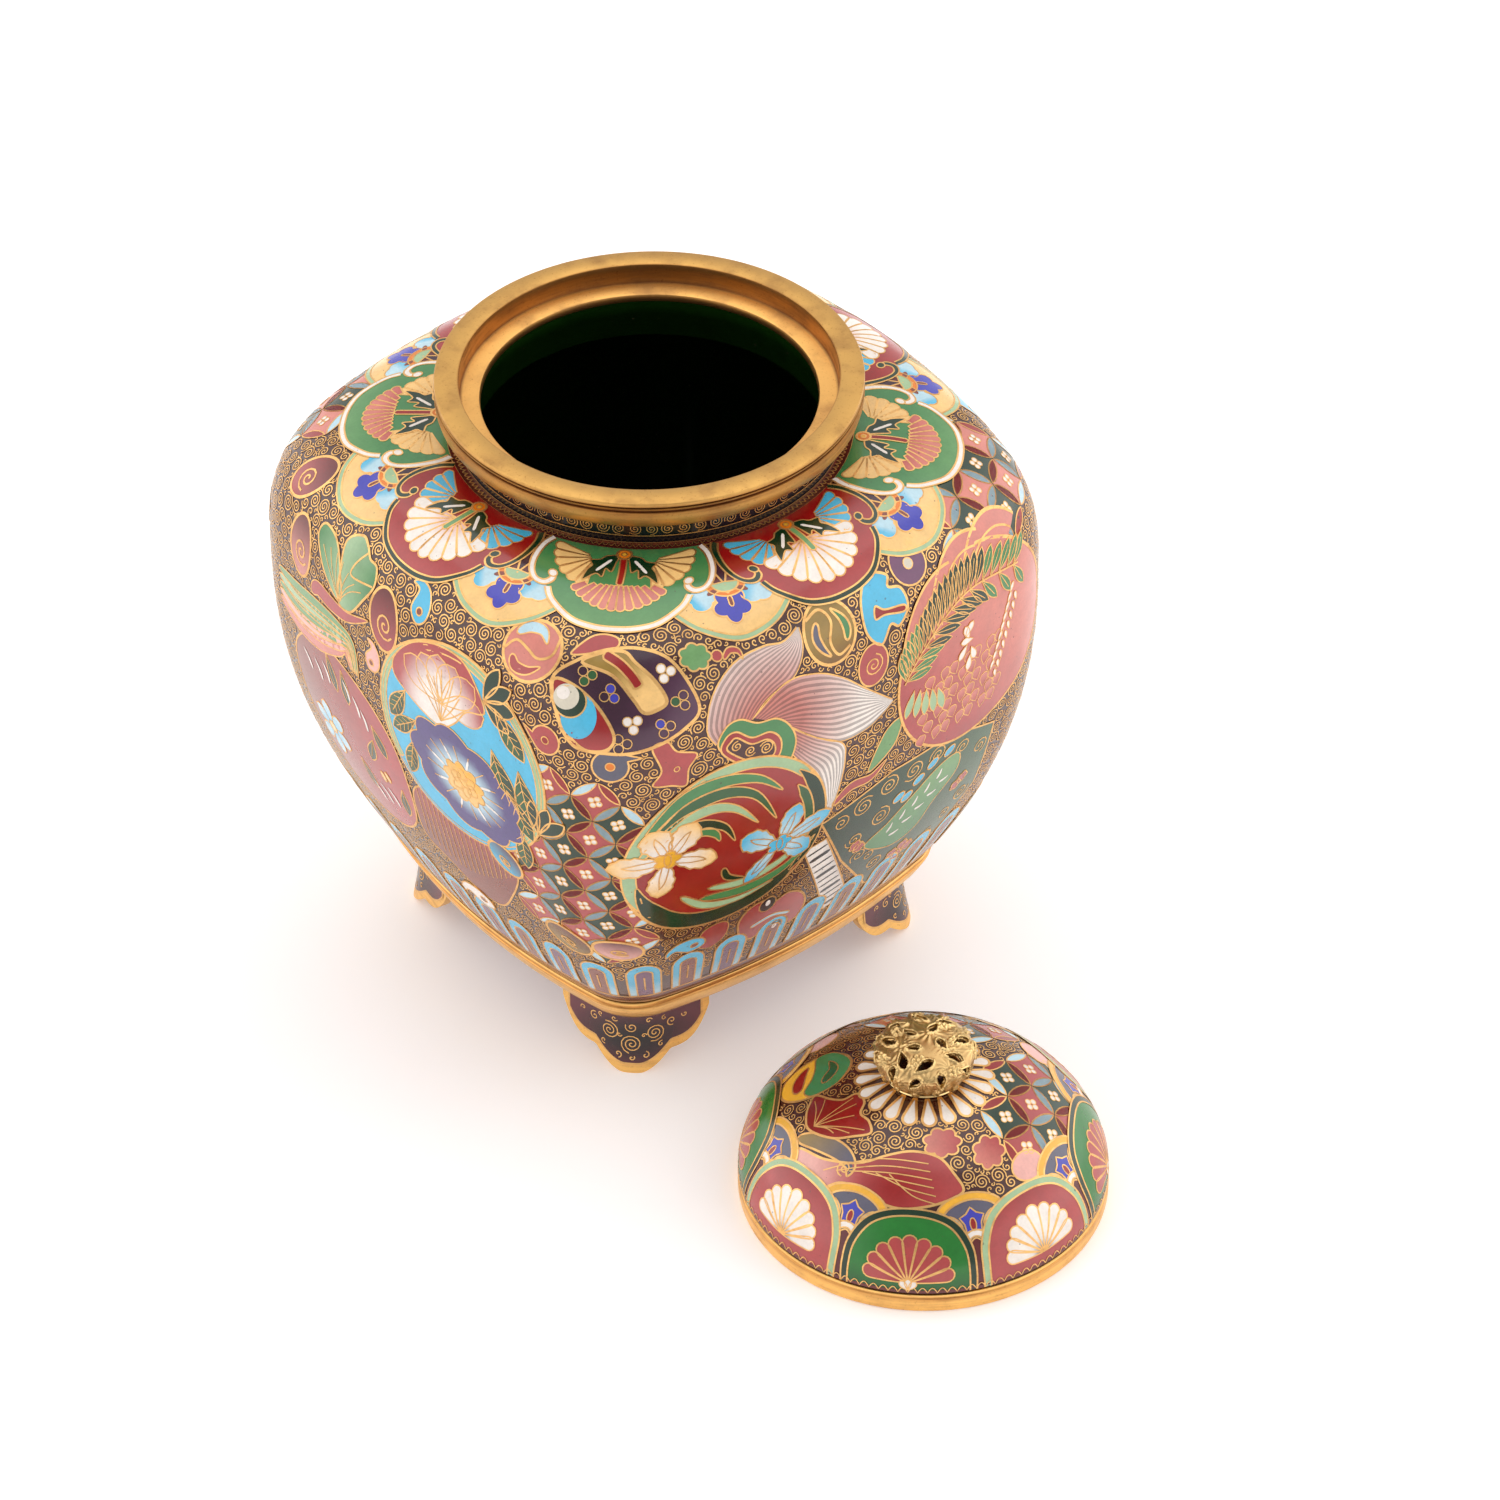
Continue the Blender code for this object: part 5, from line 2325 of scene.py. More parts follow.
class ShoulderRing(LappetRing):
    """The ring that hangs from the neck."""

    OUTLINE = mirrored(
        [
            (-9.5, -1.5), (-10.9, -3.3), (-11.8, -6.0), (-11.9, -8.3), (-11.0, -9.9), (-9.4, -10.4),
            (-8.6, -12.4), (-5.8, -14.8), (-2.9, -15.7), (0.0, -15.9)
        ]
    )
    SIDE = [
        (-9.7, -1.5), (-10.9, -3.3), (-11.8, -6.0), (-11.9, -8.2), (-11.2, -9.6), (-9.9, -9.9),
        (-8.9, -9.1), (-8.9, -8.1)
    ]
    ARCH = mirrored([(-9.3, -10.5), (-8.5, -12.4), (-5.8, -14.8), (-2.9, -15.7), (0.0, -15.9)])
    LEAF = [
        (0.7, -3.1), (0.9, -4.6), (1.3, -6.3), (2.1, -5.8), (2.4, -7.4), (3.3, -6.9), (4.9, -8.3),
        (4.5, -6.4), (3.9, -5.4), (4.3, -4.5), (3.0, -4.1), (2.2, -3.3)
    ]

    def large(self, around: float, green: bool) -> None:
        """Draw one large lappet: green on the corners, red on the sides.

        Args:
            around: The angle round the axis, in degrees.
            green: Whether it is a green one.
        """
        brush = Brush(self.cells, self.surface.fan(around), level=6.5)
        if green:
            border, side_hue, stem = Hue.WHITE, Hue.CREAM, Hue.RED
            field = Fade(Hue.GREEN, Hue.LEAF, (0, -1), -9, 9)
            folds = Fade(Hue.ROSE, Hue.PINK, (0, -1), -2, 4)
        else:
            border, side_hue, stem = Hue.DARK_GREEN, Hue.SKY, Hue.LEAF
            field = Fade(Hue.RED, Hue.ROSE, (0, -1), -6, 10)
            folds = Fade(Hue.PALE_PINK, Hue.WHITE, (0, -1), -1, 3)
        brush.fill(smooth(self.OUTLINE, False, 4), field)
        for side in (1, -1):
            border_path = [(side * x, y) for x, y in self.SIDE]
            border_band(brush.raised(), border_path, border)
            end = border_path[-1]
            brush.at(*end, up=2).cell(circle(0.62, 14), border, FINE)
            fan(brush.at(side * -3.5, -3.7, side * -58, up=1), 5.9, 0.8, 50, 6, side_hue)
            leaf = smooth([(side * x, y) for x, y in self.LEAF][::side], steps=4)
            brush.raised(3.2).cell(leaf, Hue.DARK_GREEN, FINE)
            brush.raised(4.2).fill(stroke([(side * 1.5, -4.0), (side * 3.3, -6.4)], 0.42), Hue.WHITE)
        border_band(brush.raised(), self.ARCH, border)
        if green:
            fan(brush.at(0, -5.5, up=2.2), 7.7, 3.3, 57, 12, folds)
        else:
            for k in range(10):
                petals = brush.at(0, -6.2, -72 + 16 * k, up=2.2)
                petals.cell(turned(drop_petal(7.5, 1.95), 180), folds, FINE)
        brush.raised(4.2).cell(stroke([(0, -3.4), (0.1, -6.0), (0, -8.7)], 0.85), stem, FINE)
        brush.at(0, -2.8, up=5.2).cell(circle(0.95, 16), Hue.ORANGE, 0.3)
        brush.at(0, -2.8, up=6.2).cell(circle(0.36, 10), Hue.YELLOW, THIN)

    def small(self, around: float) -> None:
        """Draw one small cream lappet between two large ones.

        Args:
            around: The angle round the axis, in degrees.
        """
        brush = Brush(self.cells, self.surface.fan(around), level=3.0)
        shape = mirrored(
            [(-6.0, -3.6), (-7.6, -8.0), (-7.9, -11.5), (-6.9, -13.6), (-4.5, -15.7), (0, -17.0)]
        )
        brush.fill(smooth(shape, False, 4), Hue.CREAM)
        arch = mirrored([(-8.4, -11.8), (-7.4, -13.8), (-4.7, -16.1), (0, -17.5)])
        border_band(brush.raised(0.7), arch, Hue.PALE_GREEN)
        top = brush.raised(1.0)
        top.fill(
            smooth(mirrored([(-3.4, -2.4), (-2.2, -6.0), (-1.2, -9.4), (0, -9.8)]), False, 4), Hue.MAROON
        )
        top.at(0, -9.6, 0, up=0.7).cell(petal(5.2, 1.7, 0.8), Hue.PURPLE)
        for side in (1, -1):
            wing = top.at(side * 3.6, -11.5, side * -24)
            wing.cell(lobed(2.0, 3, 0.16, 36, 0.8), Fade(Hue.SKY, Hue.PALE_BLUE, (1, 0), 1.2), FINE)
            top.at(side * 2.0, -10.6, side * 62, up=1.6).fill(ellipse(0.36, 0.85, 10), Hue.BROWN)
        top.at(0, -12.9, -90, up=0.8).cell(lobed(2.25, 5, 0.17, 50), Hue.BLUE, FINE)
        top.at(0, -12.4, up=1.5).cell(stroke([(0, 0.9), (0, -0.7)], 0.6, 4), Hue.BROWN, THIN)
        ring = np.concatenate([arc(2.7, 180, 360, 16), arc(1.85, 360, 180, 12)])
        top.at(0, -9.3, up=1.3).cell(ring * (1.0, 0.82), Hue.ORANGE, FINE)
        bowl = np.concatenate([arc(1.8, 180, 360, 12), [(0.0, 0.25)]])
        top.at(0, -9.3, up=1.6).cell(bowl * (1.0, 0.82), Hue.PALE_GREEN, FINE)


@dataclass
class NeckBand:
    """The fine wires and tiny scallops round the dark neck.

    Args:
        surface: The body's outer face.
        cells: Where a quarter of them is gathered.
        scallops: How many scallops a quarter has.
        coils: How many spirals go round under the collar.
        coil_level: How far down their middles are.
        coil_radius: Their radius.
    """

    surface: Surface
    cells: Cells
    scallops: int = 52
    coils: int = 76
    coil_level: float = -2.35
    coil_radius: float = 0.92

    def draw(self) -> None:
        """Draw a quarter of the wires."""
        brush = Brush(self.cells, self.surface.fan(FRONT_CORNER), level=2.0)
        for down, width in ((-1.25, THIN), (-0.1, FINE), (1.5, FINE)):
            brush.line(self.surface.quarter(down, 60), width)
        brush.line(self.surface.quarter(0.35, self.scallops * 6, 0.62, self.scallops), THIN)

    def spirals(self) -> list[tuple[Points, Points, float]]:
        """Return the row of spirals under the collar, as `Scrolls.pack` does.

        Returns:
            The places, directions and radii.
        """
        around = np.arange(self.coils) * 360 / self.coils
        down = np.full(self.coils, self.coil_level)
        spots, outs = self.surface.point(around, down), self.surface.normal(around, down)
        return [(spot, out, self.coil_radius) for spot, out in zip(spots, outs)]


def feather(points: Points, dark: float) -> Points:
    """Return a plume's colours, from pink at its root to white at its tips.

    Args:
        points: The motif's own points.
        dark: What the colours are multiplied by.

    Returns:
        One linear colour a point.
    """
    share = np.clip((np.hypot(points[:, 0] - 1.5, points[:, 1] + 0.5) - 5.0) / 9.5, 0, 1)
    return blend(Hue.PINK, Hue.WHITE, share) * dark * (0.86 + 0.14 * share[:, None])


class Motifs:
    """The main motifs of the body, each drawn by a brush at its own middle."""

    @staticmethod
    def tomoe_pink(b: Brush) -> None:
        """Pink roundel with a curling wire and two commas."""
        b.cell(circle(4.1), Hue.PINK, MAIN)
        b.raised().line(
            smooth([(-3.9, -0.2), (-2.4, 1.0), (-0.6, 0.1), (1.2, -1.0), (3.0, -0.2), (3.4, 2.1)], False),
            0.36
        )
        b.raised().cell(blade([(-2.6, 1.9), (-1.0, 3.0), (0.9, 2.7), (1.9, 1.1)], 1.5), Hue.PALE_BLUE, FINE)
        b.raised().cell(blade([(-2.6, -0.9), (-1.9, -2.3), (0.0, -2.7), (1.8, -2.0)], 1.3), Hue.ROSE, FINE)

    @staticmethod
    def lens(b: Brush) -> None:
        """Large purple lens with a pearl eye, a cream band and clusters of dots."""
        outline = [
            (-9.8, 2.7), (-6.5, 5.2), (-2.9, 6.5), (1.2, 6.8), (5.0, 5.6), (7.8, 2.3), (9.1, -0.9),
            (7.4, -3.2), (4.4, -5.3), (0.7, -6.6), (-2.7, -6.7), (-6.0, -6.0), (-8.8, -2.4)
        ]
        b.cell(smooth(outline), Fade(Hue.PURPLE, Hue.MAUVE, (1, -0.4), 1, 22), MAIN)
        band = [
            (-6.0, 4.9), (-2.1, 3.3), (0.6, 0.3), (1.9, -1.3), (3.4, -1.1), (4.9, 0.2), (3.3, 2.8),
            (0.8, 5.0), (-0.6, 6.3), (-3.2, 6.2)
        ]
        b.raised().cell(smooth(band), Fade(Hue.OLIVE, Hue.CREAM, (1, -1), 6, 7), MAIN)
        b.raised(2).cell(stroke([(-3.2, 6.0), (-1.2, 4.8), (0.4, 3.2), (1.3, 1.9)], 1.25), Hue.RED)
        eye = [
            (-9.7, 2.5), (-7.0, 2.0), (-3.9, -0.7), (-1.8, -4.2), (-2.3, -6.0), (-4.3, -6.5), (-7.0, -5.7),
            (-8.9, -2.4)
        ]
        b.raised().cell(smooth(eye), Fade(Hue.RED, Hue.ROSE, (0, -1), -4, 3), MAIN)
        b.at(-6.3, -2.0, up=2).fill(ellipse(2.3, 2.9), Hue.SKY)
        b.at(-7.4, -0.1, up=3).cell(circle(2.05), Hue.DARK_GREEN, FINE)
        b.at(-7.9, 0.5, up=4).fill(circle(1.65), Hue.PEARL)
        b.at(-8.3, 1.0, up=5).fill(circle(0.85, 16), Hue.WHITE)
        clusters = (
            (-5.4, 3.2, Hue.MOSS, 2), (-2.4, 0.9, Hue.BLUE, 2), (0.6, -2.8, Hue.WHITE, 3),
            (4.7, -3.2, Hue.BLUE, 1), (4.6, 3.8, Hue.WHITE, 3), (6.7, 0.3, Hue.MOSS, 1),
            (-0.8, -5.4, Hue.MOSS, 0)
        )
        for x, y, hue, filled in clusters:
            dots(b.at(x, y, 25 * x, up=2), hue, 0.62, filled)

    @staticmethod
    def red_half(b: Brush) -> None:
        """Small red cap on the edge of the lens."""
        b.cell(
            smooth(
                [(-2.9, -1.5), (-1.9, -0.1), (-0.4, 1.2), (1.3, 1.6), (2.9, 1.1), (2.7, -0.2), (-0.6, -1.3)]
            ),
            Hue.ROSE
        )

    @staticmethod
    def green_blob(b: Brush) -> None:
        """Green patch with a wavy edge, a pink dot and a pink comma."""
        b.cell(lobed(2.0, 7, 0.1, 42, 0.86), Hue.LEAF)
        b.at(2.9, 0.0).cell(circle(0.75, 14), Hue.ROSE, FINE)
        b.cell(blade([(3.8, -0.5), (4.6, 0.6), (5.8, 0.5), (6.4, -0.5)], 0.8), Hue.ROSE, FINE)

    @staticmethod
    def puzzle(b: Brush) -> None:
        """Red patch like a piece of a jigsaw."""
        points = [
            (-1.6, 2.9), (0.4, 3.5), (1.7, 1.7), (4.5, 0.4), (3.3, -1.6), (2.9, -4.2), (0.8, -3.6),
            (-1.7, -3.0), (-0.5, -0.8)
        ]
        b.cell(smooth(points), Hue.ROSE)
        b.at(1.6, -1.1, up=1).line(circle(0.4, 10), THIN, True)

    @staticmethod
    def olive_tomoe(b: Brush) -> None:
        """Olive roundel with a curling wire and two commas."""
        b.cell(ellipse(3.9, 4.4), Fade(Hue.OLIVE, Hue.MAROON, (0, -1), -1, 6), MAIN)
        b.raised().line(
            smooth([(-2.6, 3.0), (-0.2, 3.4), (0.7, 1.4), (-0.5, -1.2), (0.2, -3.4), (2.2, -3.0)], False),
            0.38
        )
        b.raised().cell(blade([(-1.4, 2.1), (-2.2, 0.4), (-1.9, -1.4), (-1.0, -3.0)], 1.1), Hue.GREY, 0.3)
        b.raised().cell(blade([(2.0, -2.2), (2.5, -0.6), (2.3, 1.0), (1.4, 2.7)], 1.1), Hue.GREEN, 0.3)

    @staticmethod
    def bone_cloud(b: Brush) -> None:
        """Light-blue cloud with a red bone on it."""
        points = [
            (-0.5, 5.2), (2.2, 4.0), (1.6, 2.6), (3.4, 1.6), (3.6, -1.2), (1.6, -3.0), (0.2, -2.2),
            (-1.8, -4.2)
        ]
        b.cell(smooth(points + [(-3.8, -1.5), (-3.2, 2.6)]), Hue.SKY, 0.36)
        b.at(0.6, -0.4, -18, up=1).cell(
            smooth([(-2.4, 0.9), (-0.8, 0.3), (2.4, 0.5), (2.4, -0.4), (-0.8, -0.4), (-2.4, -0.8)]), Hue.RED
        )

    @staticmethod
    def ring_disc(b: Brush) -> None:
        """Grey-brown disc with a pale ring."""
        curl_disc(b, 2.9, Hue.MAUVE, 60.0, Hue.PEARL)
        b.at(2.5, 1.9, up=1).line(spiral(1.0, 1.7), FINE)

    @staticmethod
    def red_disc(b: Brush) -> None:
        """Red oval with a spiral wire."""
        b.cell(ellipse(2.5, 3.2), Hue.ROSE)
        b.raised().line(spiral(1.7, 2.2), FINE)

    @staticmethod
    def plume(b: Brush) -> None:
        """Three feathered lobes, white at the tips and mauve where they meet, over a green arch."""
        lobes = (
            ([(-6.6, 0.2), (-7.8, 3.0), (-6.4, 7.4), (-2.6, 10.3), (2.0, 11.0), (5.0, 10.7), (7.5, 11.6)],
             [(-1.2, 2.2), (1.0, 4.2), (3.4, 5.3), (5.4, 5.9), (6.9, 7.6), (7.7, 9.6), (7.8, 11.5)], 22),
            ([(-1.0, 2.4), (4.0, 5.6), (8.7, 5.2), (12.7, 3.0), (16.8, -0.8), (21.3, -4.9)],
             [(3.6, -0.4), (8.4, -4.8), (12.7, -7.6), (16.9, -7.7), (19.7, -6.5), (21.5, -5.3)], 24),
            ([(3.8, -0.8), (8.6, -5.0), (12.9, -8.0), (13.5, -10.8), (13.0, -15.0), (11.8, -19.8)],
             [(4.8, -6.0), (6.4, -8.6), (8.2, -11.8), (9.4, -15.0), (10.2, -17.2), (11.5, -19.6)], 17),
        )
        for left, right, count in lobes:
            first, second = smooth(left, False, 8), smooth(right, False, 8)
            share = np.linspace(0, 1, 30)[:, None]
            first = np.array([first[int(t * (len(first) - 1))] for t in share[:, 0]])
            second = np.array([second[int(t * (len(second) - 1))] for t in share[:, 0]])
            for k in range(count):
                inner = first + (second - first) * k / count
                outer = first + (second - first) * (k + 1) / count
                b.fill(np.concatenate([outer, inner[::-1]]), partial(feather, dark=(1.0, 0.52)[k % 2]))
            b.raised().line(first, 0.22)
            b.raised().line(second, THIN)
        arch = [
            (-6.2, -0.6), (-5.2, 2.3), (-3.0, 2.9), (-0.4, 1.4), (2.5, 0.9), (4.6, -1.3), (5.4, -4.2),
            (4.2, -7.2), (2.0, -7.0), (-2.0, -4.8)
        ]
        b.raised(2).cell(smooth(arch), Hue.GREEN)
        cloud = [
            (-5.8, -1.4), (-5.2, 0.8), (-3.6, 1.2), (-1.3, -0.6), (1.4, -0.8), (3.0, -2.6), (2.9, -5.0),
            (1.2, -6.4), (-2.4, -4.8)
        ]
        b.raised(3).cell(smooth(cloud), Fade(Hue.ROSE, Hue.RED, (0, 1), 6, 8))
        inner = [
            (-4.9, -1.4), (-4.4, 0.0), (-3.5, 0.2), (-1.4, -1.6), (0.9, -1.8), (2.1, -3.2), (1.8, -4.8),
            (-0.8, -4.9)
        ]
        b.raised(4).cell(smooth(inner), Hue.GROUND)
        for x, y, radius, hand in ((-3.6, -1.1, 0.85, -1), (-1.6, -2.6, 0.9, 1), (0.8, -3.1, 1.15, 1)):
            b.at(x, y, up=5).line(spiral(radius, radius * 2.1, hand), FINE)

    @staticmethod
    def iris(
        b: Brush, petals: Sequence[tuple[float, float, float]], inner: Hue, outer: Hue, heart: Hue
    ) -> None:
        """Draw an iris.

        Args:
            b: The brush at its heart.
            petals: The direction in degrees, length and width of each petal.
            inner: The enamel at the heart.
            outer: The enamel at the tips.
            heart: The heart's own enamel.
        """
        for turn, length, width in petals:
            place = b.at(0, 0, turn - 90)
            edge = petal(length, width, 1.0, 14)
            wave = 1 + 0.09 * np.sin(np.arange(len(edge)) * 2.1)
            edge = edge * np.stack([wave, np.ones(len(edge))], 1)
            place.cell(edge, Fade(inner, outer, (0, 1 / length), -0.35, 1 / 1.7), EVEN)
            place.raised().line(
                smooth([(-0.5, length * 0.2), (-0.42, length * 0.6), (0.1, length * 0.78)], False), 0.17
            )
            place.raised().line(
                smooth([(0.5, length * 0.2), (0.5, length * 0.5), (0.1, length * 0.78)], False), 0.17
            )
        b.raised(2).cell(lobed(1.7, 5, 0.2, 30, 0.8), heart, FINE)
        b.raised(3).line(ellipse(0.5, 1.1, 12), THIN, True)

    @staticmethod
    def oval(b: Brush) -> None:
        """Red roundel with swirling green blades and two irises."""
        disc = b.at(-0.8, -0.7)
        disc.cell(circle(14.9, 60), Fade(Hue.RED, Hue.ROSE, (0, 1), -4, 16), MAIN)
        rings = (
            (14.1, 100, 218, 1.7, Hue.PALE_GREEN),
            (14.1, 18, 128, 1.6, Hue.PALE_GREEN),
            (13.3, 190, 332, 2.9, Hue.DARK_GREEN),
            (13.9, -46, 40, 1.9, Hue.DARK_GREEN),
            (12.2, -24, 32, 1.4, Hue.MOSS),
        )
        share = np.linspace(0, 1, 26)
        taper = np.clip(5 * np.minimum(share, 1 - share) + 0.12, 0, 1)
        for order, (radius, start, end, width, hue) in enumerate(rings):
            crescent = band_outline(arc(radius, start, end, 26), width * taper)
            disc.raised(1.3 + 0.7 * order).cell(crescent, hue, FINE)
        blades = (
            ([(-13.0, 6.0), (-8, 11.0), (-2, 11.9), (3.5, 10.0), (7.2, 6.2)], 1.9, Hue.GREEN),
            ([(-13.4, 4.2), (-8, 8.9), (-2, 9.9), (3, 7.4), (6.2, 1.5)], 1.9, Hue.MOSS),
            ([(-13.8, 2.4), (-9, 6.9), (-4, 8.0), (0, 6.4), (3.4, 2.2)], 1.7, Hue.PALE_GREEN),
            ([(-13.6, 0.6), (-10, 4.9), (-5.5, 5.9), (-1.8, 4.0), (-0.1, 0.6)], 1.7, Hue.DARK_GREEN),
            ([(-7.4, 4.4), (-4.6, 4.4), (-3.0, 3.2), (-2.4, 1.7)], 1.3, Hue.GREEN),
            ([(-7.9, -6.8), (-4, -10.6), (1, -12.0), (6.4, -11.2)], 1.3, Hue.PALE_GREEN),
            ([(-3.9, -7.1), (2, -8.6), (8, -7.2), (12.0, -3.5)], 1.4, Hue.PALE_GREEN),
            ([(-5, -8.8), (2, -10.4), (8, -9.4), (12.6, -5.5)], 1.7, Hue.GREEN),
            ([(-1.7, -4.1), (-0.9, -6.3), (1.8, -7.9)], 1.0, Hue.DARK_GREEN),
        )
        for points, width, hue in blades:
            b.raised(5.0).cell(blade(points, width), hue, FINE)
        white = ((186, 7.4, 3.6), (112, 6.0, 4.4), (50, 6.6, 4.4), (-22, 7.8, 3.4), (-100, 7.0, 3.6))
        Motifs.iris(b.at(-10.0, 1.6, up=6.2), white, Hue.WHITE, Hue.CREAM, Hue.YELLOW)
        blue = ((146, 7.2, 3.8), (64, 6.8, 3.4), (12, 8.4, 3.0), (-38, 6.2, 3.6), (-134, 7.4, 2.4))
        Motifs.iris(b.at(6.8, -3.8, up=6.2), blue, Hue.PALE_BLUE, Hue.SKY, Hue.SKY)

    @staticmethod
    def peony(b: Brush) -> None:
        """Sky-blue roundel with a pink peony and a violet flower."""
        disc = b.at(-0.6, -1.2)
        disc.cell(circle(15.6, 60), Hue.SKY, 0.3)
        rim = arc(15.0, 0, 360, 64)
        disc.raised().cell(band_outline(arc(14.9, -40, 215, 46), np.full(46, 1.2)), Hue.PALE_GREEN, FINE)
        disc.raised().line(rim, THIN)
        bloom = [
            (-12.6, 7.6), (-9.4, 11.4), (-5.0, 13.4), (-0.2, 13.6), (3.0, 11.4), (4.9, 8.0), (1.6, 6.4),
            (-0.6, 3.4), (-3.4, 1.2), (-6.6, 1.6), (-9.8, 2.8), (-12.8, 4.6)
        ]
        b.raised(2).cell(smooth(bloom), Glow(Hue.WHITE, Hue.ROSE, (-3.4, 3.2), (1.0, 1.0), 4.2, 4.2), EVEN)
        for turn in (12, 42, 70, 98, 126, 154):
            tip = b.at(-3.2, 5.4, turn - 90, up=2.4)
            fold = petal(7.4 if 60 < turn < 130 else 8.6, 4.6, 1.0, 12) - (0, 0.4)
            tip.cell(fold, Fade(Hue.WHITE, Hue.ROSE, (0, 1), -3.2, 4.4), 0.18)
        for turn in (118, 104, 90, 72, 54, 38, 140):
            reach = 7.6 if turn in (90, 72) else 6.0
            tip = turned(np.array([[reach, 0.0]]), turn)[0] + (-3.2, 3.0)
            b.raised(3).line(
                smooth([(-3.4, 2.2), tuple((tip + (-3.4, 2.2)) / 2 + (0.3, 0)), tuple(tip)], False), 0.2
            )
        flower = b.at(0.4, -6.4, -24, up=4)
        violet = Glow(Hue.PALE_BLUE, Hue.VIOLET, (0.0, 0.0), (10.4, 7.2), 0.38, 0.34)
        flower.cell(lobed(10.4, 9, 0.06, 72, 0.7), violet, FINE)
        for k in range(16):
            turn = 22.5 * k + 7
            c, s = math.cos(math.radians(turn)), math.sin(math.radians(turn))
            flower.raised().line(np.array([(3.9 * c, 3.0 * s), (7.6 * c, 5.2 * s)]), 0.15)
            if k % 2 == 0:
                ray = stroke([(3.7 * c, 2.8 * s), (6.4 * c, 4.6 * s)], 0.4, 4)
                flower.raised(2).fill(ray, Hue.WHITE)
        flower.raised(3).cell(lobed(3.5, 9, 0.14, 60, 0.8), Fade(Hue.CREAM, Hue.YELLOW, (0, 1), 1.6, 4), FINE)
        for k in range(6):
            x, y = 1.6 * math.cos(k * 1.05), 1.2 * math.sin(k * 1.05)
            flower.at(x, y, 60 * k, up=4).line(lobed(0.85, 3, 0.2, 15), THIN, True)
        for x, y, spin, size in (
            (6.6, 9.6, -140, 8.0), (6.0, 2.6, -160, 9.6), (10.6, 1.4, -168, 9.0), (8.4, -3.0, -150, 8.0),
            (-10.6, 3.0, 150, 7.0), (-8.6, -1.0, 128, 6.6), (-9.6, -5.0, 168, 6.6), (10.2, -9.0, -178, 7.0),
        ):
            leaf = b.at(x, y, spin, up=2.4)
            leaf.cell(petal(size, size * 0.4, 0.5), Fade(Hue.DARK_GREEN, Hue.MOSS, (1, 0), 0.8), FINE)
            leaf.raised().line(np.array([(0, 0.4), (0, size * 0.85)]), THIN)
            for k in range(1, 5):
                for side in (1, -1):
                    leaf.raised().line(
                        np.array([(0, size * k / 6), (side * size * 0.14, size * (k / 6 + 0.13))]), 0.13
                    )
        for spin in (-18, -52, -88, -122):
            b.at(4.6, 9.8, spin, up=3).cell(petal(5.4, 2.2, 0.7), Hue.DARK_GREEN, EVEN)
        for spin in (150, 180, 208):
            b.at(13.4, -8.0, spin - 200, up=3).cell(petal(5.6, 2.0, 0.7), Hue.DARK_GREEN, EVEN)

    @staticmethod
    def fern_roundel(b: Brush) -> None:
        """Pink roundel with gold arcs, a fern and white drops."""
        b.at(2.6, -2.0).cell(circle(15.0, 60), Fade(Hue.ROSE, Hue.PINK, (1, 1), 14, 20), MAIN)
        for row in range(6):
            for k in range(7):
                scale = b.at(-7.5 + 2.3 * k + 1.15 * (row % 2), -13.6 + 1.9 * row, 14 * (-1) ** k, up=1)
                scale.cell(petal(2.3, 1.9, 1.0, 8), Fade(Hue.ROSE, Hue.PINK, (0, 1), 0, 2), 0.13)
        lobes = ((7.6, 7.0, 7.8, 40, 186), (2.2, 6.4, 8.4, 66, 196), (-2.0, 3.4, 9.6, 84, 196))
        for order, (x, y, radius, start, end) in enumerate(lobes):
            lobe = b.at(x, y, up=1 + 0.8 * order)
            lobe.fill(arc(radius, start, end, 30), Hue.PINK)
            lobe.line(arc(radius, start, end, 30), BOLD)
            lobe.line(arc(radius - 1.8, start + 6, end - 8, 26), 0.26)
        spine = smooth([(-11.4, -0.6), (-8.4, 3.0), (-3.4, 6.6), (2.4, 8.0), (11.4, 6.6)], False, 6)
        for k in range(1, 24):
            x, y = spine[k]
            hue = Hue.GREEN if k < 7 or k > 18 else Hue.DARK_GREEN
            size = 5.6 - 0.09 * abs(k - 11)
            lean = math.degrees(math.atan2(*(spine[k] - spine[k - 1])[::-1])) - 90
            for side in (1, -1)[: 1 + k % 2]:
                leaf = b.at(x, y, lean + side * 52, up=3.4 + 0.05 * k)
                leaf.cell(petal(size, 1.45, 0.5, 9), hue, 0.15)
                leaf.raised(0.5).line(np.array([(0, 0.5), (0, size * 0.8)]), 0.12)
        b.raised(5.2).line(spine, 0.26)
        for k in range(5):
            b.at(
                -9.6 + 1.1 * k, -2.4 - 0.5 * k, 160 + 9 * k, up=3.4
            ).cell(petal(4.4, 1.4, 0.6, 9), Hue.PALE_GREEN, THIN)
        for x, y, turn in (
            (0, 0, 20), (0.8, -0.4, 80), (-0.4, -0.8, 140), (0.4, -1.6, 200), (-0.8, 0.6, -40),
            (0.2, -2.8, 170)
        ):
            b.at(x + 0.8, y + 0.4, turn, up=5.6).cell(petal(2.5, 1.1, 0.9, 8), Hue.WHITE, 0.14)
        for k in range(9):
            away = b.at(5.4 + 0.5 * k, -8.0 + 1.35 * k, -28, up=4)
            away.cell(petal(1.7, 0.6, 0.8, 8), Hue.WHITE, 0.13)
            away.at(2.1, -1.0, 40).cell(petal(1.6, 0.6, 0.8, 8), Hue.WHITE, 0.13)

